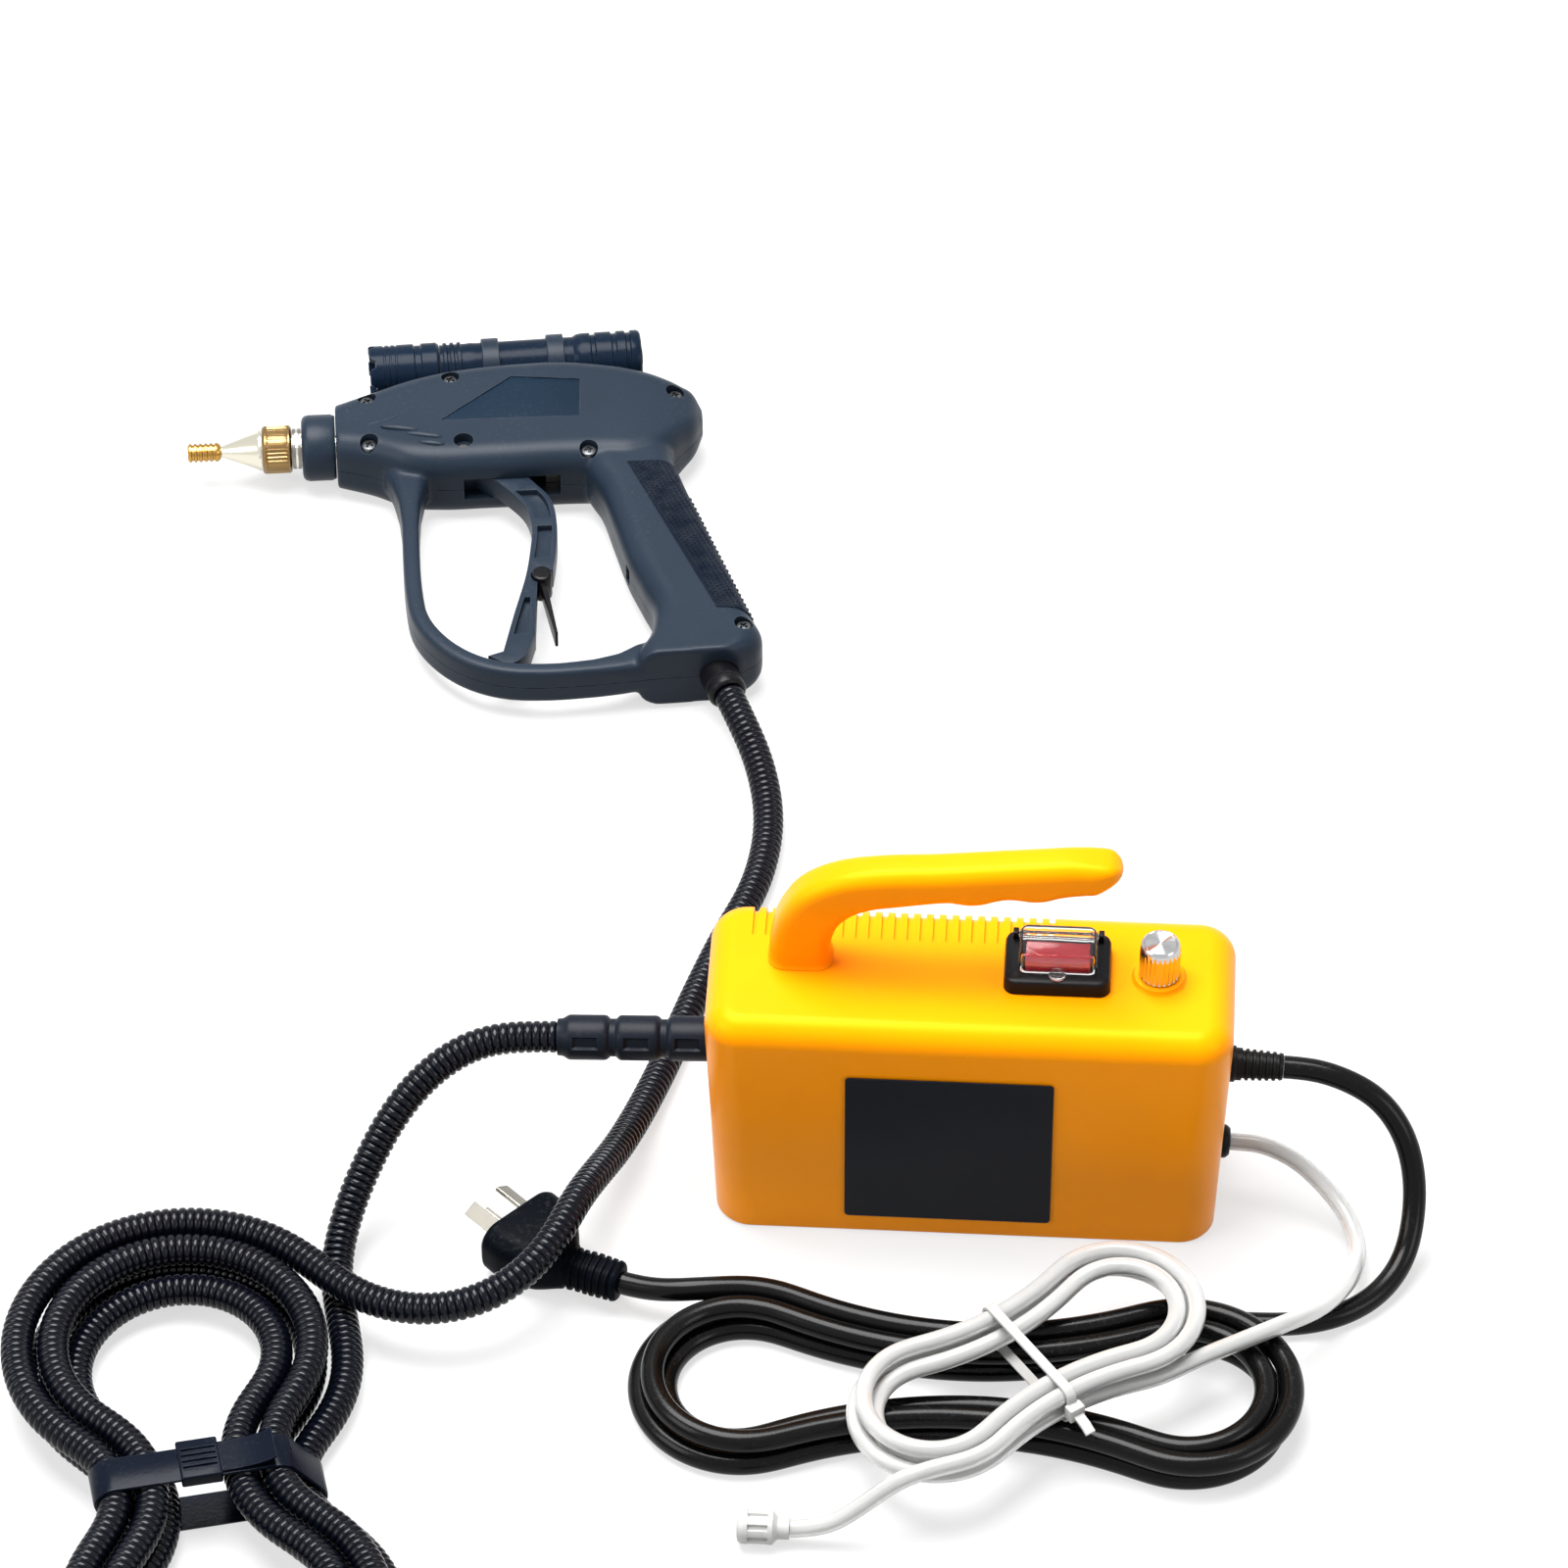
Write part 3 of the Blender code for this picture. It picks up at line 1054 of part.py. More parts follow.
def make_trigger():
    """Make the trigger, its pivot pin and its lock."""
    frame = gun_frame()
    front = [(p.x, p.y) for p in smooth([Vector((*p, 0.0)) for p in TRIGGER_FRONT], 9)]
    rear = [(p.x, p.y) for p in smooth([Vector((*p, 0.0)) for p in TRIGGER_REAR], 9)]
    outline = list(TRIGGER_CROWN) + [(TRIGGER_PAD_X, y) for y in TRIGGER_PAD_Y]
    outline += rear + list(TRIGGER_FOOT) + list(reversed(front)) + list(TRIGGER_THROAT)
    mesh = prism(outline, -TRIGGER_HALF, TRIGGER_HALF)
    mesh = fuse(mesh, rod(TRIGGER_BOSS_RADIUS, (0.0, 0.0, -TRIGGER_HALF), (0.0, 0.0, TRIGGER_HALF), 20))
    mesh = cut(mesh, rod(PIVOT_RADIUS + GAP, (0.0, 0.0, -0.01), (0.0, 0.0, 0.01), 14))
    for high, low in TRIGGER_WINDOWS:
        left = []
        right = []
        for share in (0.0, 0.5, 1.0):
            y = high + (low - high) * share
            edges = trigger_edges(y)
            limit = edges[1]
            if y < LOCK_RELIEF_Y[1]:
                limit = min(limit, float(np.interp(y, LOCK_RELIEF_Y, LOCK_RELIEF_X)))
            left.append((edges[0] + WINDOW_RIM, y))
            right.append((limit - WINDOW_RIM, y))
        window = left + list(reversed(right))
        for side in (-1.0, 1.0):
            levels = sorted((side * (TRIGGER_HALF - WINDOW_DEPTH), side * (TRIGGER_HALF + 0.002)))
            mesh = cut(mesh, prism(window, *levels))
    pin = Vector((LOCK_X, LOCK_Y, 0.0))
    reach = Vector((0.0, 0.0, 4.0 * TRIGGER_HALF))
    mesh = cut(mesh, rod(LOCK_RADIUS + SLIDE, pin - reach, pin + reach, 20))
    sweep = [(LOCK_X + x, LOCK_Y + y) for x, y in LOCK_SWEEP]
    mesh = cut(mesh, prism(sweep, -4.0 * TRIGGER_HALF, 4.0 * TRIGGER_HALF))
    add("trigger", mesh, NAVY, frame)

    add("pivot_pin", rod(PIVOT_RADIUS, (0.0, 0.0, -PIVOT_HALF), (0.0, 0.0, PIVOT_HALF), 14), STEEL, frame)

    angle = math.radians(LOCK_BLADE_ANGLE)
    way = Vector((math.cos(angle), math.sin(angle), 0.0))
    side = Vector((-way.y, way.x, 0.0))
    outline = []
    for along, half in ((0.0, 0.0014), (LOCK_BLADE_LENGTH * 0.3, 0.0012), (LOCK_BLADE_LENGTH, 0.0006)):
        outline.append(pin + way * along + side * half)
    for along, half in ((LOCK_BLADE_LENGTH, 0.0006), (LOCK_BLADE_LENGTH * 0.3, 0.0012), (0.0, 0.0014)):
        outline.append(pin + way * along - side * half)
    blade = prism([(p.x, p.y) for p in outline], -LOCK_BLADE_HALF, LOCK_BLADE_HALF)
    reach = Vector((0.0, 0.0, LOCK_HALF))
    drum = rod(LOCK_RADIUS, pin - reach, pin + reach, 20)
    add("trigger_lock", fuse(drum, blade), BLACK, frame, origin=pin)


def make_valve():
    """Make the valve with its barrel and neck, and the pin that the trigger pushes."""
    frame = gun_frame()
    mesh = box((VALVE_LOW[0], VALVE_LOW[1], -VALVE_HALF), (VALVE_HIGH[0], VALVE_HIGH[1], VALVE_HALF))
    shoulder = COLLAR_FRONT - NUT_FRONT - 0.001 - GAP
    reach = VALVE_LOW[0] - NUT_FRONT + BARREL_SEAT
    profile = ((0.0, 0.0), (NECK_RADIUS * 0.70, 0.0), (NECK_RADIUS * 0.70, NUT_BACK - NUT_FRONT - 0.001),
               (NECK_RADIUS, NUT_BACK - NUT_FRONT - 0.0007), (NECK_RADIUS, shoulder),
               (BARREL_RADIUS, shoulder), (BARREL_RADIUS, reach), (0.0, reach))
    barrel = aim(turned(profile, 16), (NUT_FRONT + 0.001, BARREL_Y, 0.0), (1.0, 0.0, 0.0))
    mesh = fuse(mesh, barrel)
    start = NUT_FRONT - 0.01
    end = VALVE_LOW[0] + 0.02
    mesh = cut(mesh, rod(BARREL_RADIUS * 0.5, (start, BARREL_Y, 0.0), (end, BARREL_Y, 0.0), 10))
    depth = VALVE_LOW[0] + VALVE_PIN_DEPTH + VALVE_PIN_TRAVEL + GAP
    mesh = cut(mesh, rod(VALVE_PIN_RADIUS + GAP, (0.0, VALVE_PIN_Y, 0.0), (depth, VALVE_PIN_Y, 0.0), 12))
    add("valve", mesh, BRASS, frame)
    first = TRIGGER_PAD_X + GAP
    last = VALVE_LOW[0] + VALVE_PIN_DEPTH
    pin = rod(VALVE_PIN_RADIUS, (first, VALVE_PIN_Y, 0.0), (last, VALVE_PIN_Y, 0.0), 12)
    add("valve_pin", pin, STEEL, frame, origin=(first, VALVE_PIN_Y, 0.0))


def make_nozzle():
    """Make the nose collar, the nozzle nut, the nozzle and the hose gland."""
    frame = gun_frame()
    length = COLLAR_BACK - COLLAR_FRONT - GAP
    bore = BARREL_RADIUS + GAP
    profile = ((bore, 0.0), (COLLAR_RADIUS - 0.002, 0.0), (COLLAR_RADIUS, 0.002),
               (COLLAR_RADIUS, length - 0.001), (COLLAR_RADIUS - 0.001, length), (bore, length))
    mesh = aim(turned(profile, 18, closed=True), (COLLAR_FRONT, BARREL_Y, 0.0), (1.0, 0.0, 0.0))
    add("nose_collar", mesh, NAVY, frame)

    length = NUT_BACK - NUT_FRONT - GAP
    hole = NECK_RADIUS * 0.70 + GAP
    rings = []
    for share, z in ((0.92, 0.0), (1.0, 0.001), (1.0, length - 0.001), (0.92, length)):
        ring = []
        for step in range(12):
            angle = 2.0 * math.pi * (step // 2) / 6.0 + (0.12 if step % 2 else -0.12)
            ring.append((NUT_RADIUS * share * math.cos(angle), NUT_RADIUS * share * math.sin(angle), z))
        rings.append(ring)
    mesh = cut(loft(rings), rod(hole, (0.0, 0.0, -0.01), (0.0, 0.0, 0.05), 16))
    add("nozzle_nut", aim(mesh, (NUT_FRONT, BARREL_Y, 0.0), (1.0, 0.0, 0.0)), BRASS, frame)

    back = NUT_FRONT - GAP
    cone = back - CONE_FRONT
    tip = back - TIP_FRONT
    profile = ((STEAM_BORE_RADIUS, 0.0), (CONE_RADIUS, 0.0), (CONE_RADIUS, 0.001), (CONE_TIP_RADIUS, cone),
               (TIP_RADIUS, cone + 0.0005), (TIP_RADIUS, tip - 0.0008), (TIP_RADIUS - 0.0008, tip),
               (STEAM_BORE_RADIUS, tip))
    mesh = aim(turned(profile, 16, closed=True), (back, BARREL_Y, 0.0), (-1.0, 0.0, 0.0))
    add("nozzle", mesh, BRASS, frame)

    place, way = gland_axis()
    low = -0.004 + GAP
    bore = HOSE_VALLEY_RADIUS * 0.6
    profile = ((bore, -0.010), (HOSE_GLAND_STEM, -0.010), (HOSE_GLAND_STEM, low),
               (HOSE_GLAND_RADIUS, low), (HOSE_GLAND_RADIUS, HOSE_GLAND_LENGTH - 0.0015),
               (HOSE_GLAND_RADIUS - 0.0012, HOSE_GLAND_LENGTH), (bore, HOSE_GLAND_LENGTH))
    add("hose_gland", aim(turned(profile, 12, closed=True), place, way), BLACK, frame)


def torch_frame():
    """Return the torch's frame, with its axis along Z from the front bezel."""
    tilt = math.radians(TORCH_TILT)
    way = Vector((math.cos(tilt), math.sin(tilt), 0.0))
    turn = way.to_track_quat("Z", "Y").to_matrix().to_4x4()
    return gun_frame() @ Matrix.Translation((TORCH_X, TORCH_Y, 0.0)) @ turn


def make_torch():
    """Make the torch: head with crown bezel, lens, body, button, and the two clips that carry it."""
    frame = torch_frame()
    big = TORCH_RADIUS
    length = TORCH_HEAD_LENGTH
    profile = [(0.0, length), (big - 0.0010, length), (big, length - 0.001), (big, length - 0.007)]
    profile += [(big - 0.0008, length - 0.0075), (big - 0.0008, length - 0.0095)]
    profile += [(big, length - 0.010), (big, 0.0006)]
    profile += [(big - 0.0006, 0.0), (TORCH_LENS_RADIUS + GAP, 0.0), (TORCH_LENS_RADIUS + GAP, 0.0055)]
    profile += [(TORCH_LENS_RADIUS - 0.0010, 0.0055), (0.003, 0.015), (0.0, 0.015)]
    mesh = turned(profile, 16)
    for index in range(3):
        half = CROWN_NOTCH_WIDTH / 2.0
        notch = box((-0.02, -half, -0.002), (0.02, half, CROWN_NOTCH_DEPTH))
        notch.transform(Matrix.Rotation(math.pi * index / 3.0, 4, "Z"))
        mesh = cut(mesh, notch)
    add("torch_head", mesh, BLACK, frame)

    lens = rod(TORCH_LENS_RADIUS, (0.0, 0.0, 0.0032), (0.0, 0.0, 0.0052), 16)
    add("torch_lens", lens, CLEAR, frame)

    start = length + GAP
    end = TORCH_LENGTH
    waist = TORCH_WAIST_RADIUS
    pocket = end - BUTTON_POCKET
    profile = [(0.0, start), (waist, start)]
    for place in (start + 0.0015, start + 0.006):
        profile += [(waist, place), (big - 0.0004, place + 0.0006), (big - 0.0004, place + 0.0028)]
        profile += [(waist, place + 0.0034)]
    profile += [(waist, end - 0.028), (big, end - 0.027), (big, end - 0.021), (big - 0.0009, end - 0.0205)]
    profile += [(big - 0.0009, end - 0.0185), (big, end - 0.018), (big, end - 0.0015), (big - 0.0015, end)]
    profile += [(BUTTON_RADIUS + SLIDE, end), (BUTTON_RADIUS + SLIDE, pocket), (0.0, pocket)]
    add("torch_body", turned(profile, 14), BLACK, frame)

    low = pocket + BUTTON_TRAVEL + GAP
    profile = ((0.0, low), (BUTTON_RADIUS, low), (BUTTON_RADIUS, end - 0.0005),
               (BUTTON_RADIUS - 0.001, end + 0.0004), (0.0, end + 0.0008))
    add("torch_button", turned(profile, 14), RUBBER, frame, origin=(0.0, 0.0, low))

    tilt = math.tan(math.radians(TORCH_TILT))
    inner = TORCH_WAIST_RADIUS + GAP
    outer = inner + CLIP_THICKNESS
    for name, x in zip(("torch_clip_front", "torch_clip_rear"), CLIP_X):
        axis_y = TORCH_Y + (x - TORCH_X) * tilt
        half = CLIP_WIDTH / 2.0
        low = max(head_top(x - half), head_top(x), head_top(x + half)) + GAP
        high = axis_y - TORCH_WAIST_RADIUS * 0.75
        foot = box((x - half, low, -CLIP_FOOT_HALF), (x + half, high, CLIP_FOOT_HALF))
        way = Vector((1.0, tilt, 0.0)).normalized()
        centre = Vector((x, axis_y, 0.0))
        mesh = fuse(rod(outer, centre - way * half, centre + way * half, 14), foot)
        mesh = cut(mesh, rod(inner, centre - way * 0.02, centre + way * 0.02, 14))
        add(name, mesh, NAVY, gun_frame())


def smooth(points, count, guided=False):
    """Return evenly spaced points on a smooth curve. A guided curve's end points only steer it."""
    path = list(points)
    if not guided:
        path = [points[0] * 2.0 - points[1]] + path + [points[-1] * 2.0 - points[-2]]
    fine = []
    for index in range(1, len(path) - 2):
        before, start, end, after = path[index - 1:index + 3]
        knots = [0.0]
        for first, second in ((before, start), (start, end), (end, after)):
            knots.append(knots[-1] + max((second - first).length, 1e-9) ** 0.5)
        for step in range(24):
            t = knots[1] + (knots[2] - knots[1]) * step / 24.0
            a1 = before.lerp(start, (t - knots[0]) / (knots[1] - knots[0]))
            a2 = start.lerp(end, (t - knots[1]) / (knots[2] - knots[1]))
            a3 = end.lerp(after, (t - knots[2]) / (knots[3] - knots[2]))
            b1 = a1.lerp(a2, (t - knots[0]) / (knots[2] - knots[0]))
            b2 = a2.lerp(a3, (t - knots[1]) / (knots[3] - knots[1]))
            fine.append(b1.lerp(b2, (t - knots[1]) / (knots[2] - knots[1])))
    fine.append(path[-2].copy())
    lengths = [0.0]
    for first, second in zip(fine, fine[1:]):
        lengths.append(lengths[-1] + (second - first).length)
    even = np.linspace(0.0, lengths[-1], count)
    columns = [np.interp(even, lengths, [point[axis] for point in fine]) for axis in range(3)]
    return [Vector(values) for values in zip(*columns)]


def path_length(points):
    """Return the length of a line of points."""
    return sum((second - first).length for first, second in zip(points, points[1:]))


def route_path(start, start_way, route, end, end_way, run, spacing):
    """Return an even path along a route that leaves and arrives straight over a run at each end."""
    first = start + start_way * run
    last = end - end_way * run
    middle = [first] + [Vector(point) for point in route] + [last]
    count = max(4, round(path_length(middle) / spacing))
    return [start] + smooth([start] + middle + [end], count, guided=True) + [end]


def tube(points, radii, sides_level):
    """Sweep a round tube with flat ends along points, with a radius at each."""
    curve = bpy.data.curves.new("route", "CURVE")
    curve.dimensions = "3D"
    curve.bevel_depth = 1.0
    curve.bevel_resolution = sides_level
    curve.use_fill_caps = True
    spline = curve.splines.new("POLY")
    spline.points.add(len(points) - 1)
    for place, point, radius in zip(spline.points, points, radii):
        place.co = (*point, 1.0)
        place.radius = radius
    item = bpy.data.objects.new("route", curve)
    bpy.context.scene.collection.objects.link(item)
    graph = bpy.context.evaluated_depsgraph_get()
    mesh = bpy.data.meshes.new_from_object(item.evaluated_get(graph))
    bpy.data.objects.remove(item, do_unlink=True)
    work = bmesh.new()
    work.from_mesh(mesh)
    bmesh.ops.remove_doubles(work, verts=work.verts, dist=0.00001)
    bmesh.ops.recalc_face_normals(work, faces=work.faces)
    work.to_mesh(mesh)
    work.free()
    return mesh


def plain_tube(points, radius, sides_level=2):
    """Sweep a tube of one radius."""
    return tube(points, [radius] * len(points), sides_level)


class Hank:
    """A tube folded into loops drawn in at the waist, spiralling in on one layer and out on the next."""

    def __init__(self, centre, turn, mirror, span, fold, waist, pitch, radius):
        self.centre = Vector(centre)
        angle = math.radians(turn)
        self.along = Vector((math.cos(angle), math.sin(angle), 0.0))
        self.across = Vector((math.sin(angle), -math.cos(angle), 0.0)) * mirror
        self.span = span
        self.fold = fold
        self.waist = waist
        self.pitch = pitch
        self.radius = radius
        self.bow = (span * span / (fold - waist) - fold - waist) / 2.0
        self.lean = math.atan2(self.bow + waist, span)
        self.first = 0.0
        self.total = 0.0

    def share(self, far, angle):
        """Return how far round a loop an angle on the near or far fold lies."""
        limit = math.pi - self.lean
        if far:
            return FOLD_SHARE / 2.0 + RUN_SHARE + (limit - angle) / (2.0 * limit) * FOLD_SHARE
        return angle / (2.0 * limit) * FOLD_SHARE

    def loop_point(self, share, offset):
        """Return the along and across values at a share of a loop, offset outward."""
        fold = FOLD_SHARE
        run = RUN_SHARE
        place = share % 1.0
        limit = math.pi - self.lean
        sweep = math.pi / 2.0 - self.lean
        size = self.fold + offset
        bow = self.bow - offset
        middle = self.bow + self.waist
        if place < fold / 2.0:
            angle = place / (fold / 2.0) * limit
            return self.span + size * math.cos(angle), size * math.sin(angle)
        place -= fold / 2.0
        if place < run:
            angle = sweep * (1.0 - 2.0 * place / run)
            return bow * math.sin(angle), middle - bow * math.cos(angle)
        place -= run
        if place < fold:
            angle = limit * (1.0 - 2.0 * place / fold)
            return -self.span - size * math.cos(angle), size * math.sin(angle)
        place -= fold
        if place < run:
            angle = -sweep * (1.0 - 2.0 * place / run)
            return bow * math.sin(angle), bow * math.cos(angle) - middle
        place -= run
        angle = -limit * (1.0 - place / (fold / 2.0))
        return self.span + size * math.cos(angle), size * math.sin(angle)

    def point(self, travelled):
        """Return the point after a number of loops from the start."""
        half = self.total / 2.0
        offset = self.pitch * abs(travelled - half)
        u, v = self.loop_point(self.first + travelled, offset)
        climb = min(max((travelled - half + 0.25) / 0.5, 0.0), 1.0)
        climb = climb * climb * (3.0 - 2.0 * climb)
        lift = Vector((0.0, 0.0, climb * self.pitch))
        return self.centre + self.along * u + self.across * v + lift

    def wind(self, first, total, per_loop=22):
        """Return the points of the hank with a straight run at each end, and the ways of its ends."""
        count = round(total * per_loop)
        self.first = first
        self.total = count / per_loop
        points = [self.point(index / per_loop) for index in range(count + 1)]
        start_way = (self.point(0.002) - points[0]).normalized()
        end_way = (points[-1] - self.point(self.total - 0.002)).normalized()
        start_way.z = 0.0
        end_way.z = 0.0
        run = 2.0 * self.radius
        points = [points[0] - start_way * run] + points + [points[-1] + end_way * run]
        return points, start_way, end_way

    def band(self, width, name, finish):
        """Add the closed band round the waist."""
        most = self.pitch * self.total / 2.0
        bow = self.bow - most
        flare = bow - math.sqrt(bow * bow - width * width / 4.0)
        wide = 2.0 * (self.waist + most + self.radius + flare + SLIDE)
        high = self.pitch + 2.0 * (self.radius + SLIDE)
        middle = self.centre + Vector((0.0, 0.0, self.pitch / 2.0))
        rings = []
        for grow, place in ((TIE_THICKNESS, -0.5), (TIE_THICKNESS, 0.5), (0.0, 0.5), (0.0, -0.5)):
            outline = rounded_rectangle(wide + 2.0 * grow, high + 2.0 * grow, self.radius * 0.6 + grow, 3)
            ring = []
            shift = middle + self.along * (place * width)
            for across, up in outline:
                ring.append(shift + self.across * across + Vector((0.0, 0.0, up)))
            rings.append(ring)
        add(name, loft(rings, closed=True), finish)


def least_gap(points, radius):
    """Return the least gap between far-apart stretches of a wound tube."""
    fine = []
    for first, second in zip(points, points[1:]):
        for step in range(4):
            fine.append(first.lerp(second, step / 4.0))
    places = np.array([tuple(point) for point in fine])
    least = 1.0
    apart = 40
    for index in range(len(places) - apart):
        distance = np.linalg.norm(places[index + apart:] - places[index], axis=1)
        least = min(least, float(distance.min()))
    return least - 2.0 * radius


def ribbed_hose(points_route):
    """Make a stretch of corrugated hose with its bore along a path."""
    length = path_length(points_route)
    ribs = round(length / HOSE_RIB_PITCH)
    points = smooth(points_route, 2 * ribs + 1)
    radii = [HOSE_RADIUS if index % 2 else HOSE_VALLEY_RADIUS for index in range(len(points))]
    mesh = tube(points, radii, 2)
    inner = smooth(points_route, max(6, round(ribs * 0.6)))
    first = inner[0] - (inner[1] - inner[0]).normalized() * 0.002
    last = inner[-1] + (inner[-1] - inner[-2]).normalized() * 0.002
    return cut(mesh, plain_tube([first] + inner[1:-1] + [last], HOSE_BORE_RADIUS, 1))


def make_hose():
    """Make the steam hose: stretch at the box, hank with its strap, stretch at the gun."""
    hank = Hank((HOSE_HANK_X, HOSE_HANK_Y, HOSE_HANK_Z), HOSE_HANK_TURN, 1.0, HOSE_HALF_SPAN,
                HOSE_FOLD_RADIUS, HOSE_WAIST, HOSE_PITCH, HOSE_RADIUS)
    begin = hank.share(False, math.pi / 2.0)
    finish = hank.share(False, math.radians(HOSE_END_ANGLE))
    points, start_way, end_way = hank.wind(begin, HOSE_LOOPS + finish - begin)
    add("hose_hank", plain_tube(points, HOSE_RADIUS, 1), BLACK)
    hank.band(HOSE_TIE_WIDTH, "hose_tie", RUBBER)
    run = 2.0 * HOSE_RADIUS
    wall, way = end_wall(-1.0, FITTING_Z)
    start = wall + way * (FITTING_LENGTH + GAP)
    near = route_path(start, way, HOSE_BOX_ROUTE, points[0] - start_way * GAP, start_way, run, run * 0.5)
    add("hose_at_box", ribbed_hose(near), BLACK)
    place, axis = gland_axis()
    frame = gun_frame()
    way = (frame.to_3x3() @ axis).normalized()
    start = frame @ (place + axis * (HOSE_GLAND_LENGTH + GAP))
    route = list(HOSE_GUN_ROUTE)
    far = route_path(start, way, route, points[-1] + end_way * GAP, -end_way, run, run * 0.5)
    add("hose_at_gun", ribbed_hose(far), BLACK)
    print("steam hose: least gap", round(least_gap(points, HOSE_RADIUS) * 1000.0, 2), "mm, length",
          round(path_length(near) + path_length(points) + path_length(far), 3), "m")


def make_cord():
    """Make the power cord: stretch at the box, hank, lead, and the moulded plug with its blades."""
    hank = Hank((CORD_HANK_X, CORD_HANK_Y, CORD_HANK_Z), CORD_HANK_TURN, -1.0, CORD_HALF_SPAN,
                CORD_FOLD_RADIUS, CORD_WAIST, CORD_PITCH, CORD_RADIUS)
    begin = hank.share(False, math.pi / 2.0)
    finish = hank.share(True, math.pi / 2.0)
    points, start_way, end_way = hank.wind(begin, CORD_LOOPS + finish - begin)
    add("cord_hank", plain_tube(points, CORD_RADIUS, 1), BLACK)
    run = 2.0 * CORD_RADIUS
    wall, way = end_wall(1.0, GLAND_Z)
    start = wall + way * (GLAND_LENGTH + GAP)
    near = route_path(start, way, CORD_BOX_ROUTE, points[0] - start_way * GAP, start_way, run, run * 1.4)
    add("cord_at_box", plain_tube(near, CORD_RADIUS), BLACK)

    pairs = line_pairs(PLUG_LINE, PLUG_HALF_WIDTHS)
    mesh = pair_loft(pairs, PLUG_HALF_HEIGHTS, 0.7, 3)
    mesh.transform(Matrix.Translation((0.0, 0.0, PLUG_Z)))
    add("plug_body", mesh, BLACK)
    ends = [Vector((*point, PLUG_Z)) for point in PLUG_LINE]
    out = (ends[-1] - ends[-2]).normalized()
    side = Vector((out.y, -out.x, 0.0))
    for name, across, up, angle in BLADES:
        mesh = box((-BLADE_WIDTH / 2.0, -BLADE_THICKNESS / 2.0, GAP),
                   (BLADE_WIDTH / 2.0, BLADE_THICKNESS / 2.0, BLADE_LENGTH))
        mesh.transform(Matrix.Rotation(math.radians(angle), 4, "Z"))
        place = ends[-1] + side * across + Vector((0.0, 0.0, up))
        axes = Matrix((side, Vector((0.0, 0.0, 1.0)), out)).transposed().to_4x4()
        mesh.transform(Matrix.Translation(place) @ axes)
        add(f"plug_blade_{name}", outward(mesh), STEEL)
    way = (ends[0] - ends[1]).normalized()
    start = ends[0] + way * GAP
    lead = route_path(start, way, CORD_LEAD_ROUTE, points[-1] + end_way * GAP, -end_way, run * 0.6, run)
    add("cord_lead", plain_tube(lead, CORD_RADIUS), BLACK)
    print("power cord: least gap", round(least_gap(points, CORD_RADIUS) * 1000.0, 2), "mm, length",
          round(path_length(near) + path_length(points) + path_length(lead), 3), "m")


def make_water_tube():
    """Make the water tube: stretch at the box, hank with its tie, tail, and the strainer."""
    hank = Hank((TUBE_HANK_X, TUBE_HANK_Y, TUBE_HANK_Z), TUBE_HANK_TURN, 1.0, TUBE_HALF_SPAN,
                TUBE_FOLD_RADIUS, TUBE_WAIST, TUBE_PITCH, TUBE_RADIUS)
    begin = hank.share(False, math.pi / 2.0)
    finish = hank.share(True, math.radians(TUBE_END_ANGLE))
    points, start_way, end_way = hank.wind(begin, TUBE_LOOPS + finish - begin)
    add("tube_hank", plain_tube(points, TUBE_RADIUS, 1), MILKY)
    hank.band(TUBE_TIE_WIDTH, "tube_tie", WHITE)
    run = 2.0 * TUBE_RADIUS
    wall, way = end_wall(1.0, GROMMET_Z)
    start = wall + way * (GROMMET_LENGTH + GAP)
    near = route_path(start, way, TUBE_BOX_ROUTE, points[0] - start_way * GAP, start_way, run, run * 1.5)
    add("tube_at_box", plain_tube(near, TUBE_RADIUS), MILKY)
    stop = Vector((STRAINER_X, STRAINER_Y, STRAINER_Z))
    way = Vector((-1.0, 0.0, 0.0))
    tail = route_path(points[-1] + end_way * GAP, end_way, TUBE_TAIL_ROUTE, stop, way, run * 0.5, run)
    add("tube_tail", plain_tube(tail, TUBE_RADIUS), MILKY)
    size = STRAINER_RADIUS
    profile = ((0.0, GAP), (TUBE_RADIUS * 1.25, GAP), (TUBE_RADIUS * 1.25, 0.005), (size, 0.007),
               (size, STRAINER_LENGTH - 0.001), (size - 0.001, STRAINER_LENGTH), (0.0, STRAINER_LENGTH))
    add("strainer", aim(turned(profile, 12), stop, way), WHITE)
    print("water tube: least gap", round(least_gap(points, TUBE_RADIUS) * 1000.0, 2), "mm, length",
          round(path_length(near) + path_length(points) + path_length(tail), 3), "m")


def main():
    """Build every piece of the steamer."""
    clear_scene()
    make_casing()
    make_base()
    make_handle()
    make_label()
    make_switch()
    make_knob()
    make_inside()
    make_wall_fittings()
    make_gun_shells()
    make_trigger()
    make_valve()
    make_nozzle()
    make_torch()
    make_hose()
    make_cord()
    make_water_tube()


main()
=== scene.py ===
"""Looks of the wallpaper steamer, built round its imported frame. Metres, +Z up."""

import logging
import math
from dataclasses import dataclass, field
from enum import Enum
from functools import cache
from typing import Any, Callable, Iterable, Sequence

import bmesh
import bpy
import numpy as np
from mathutils import Matrix, Vector


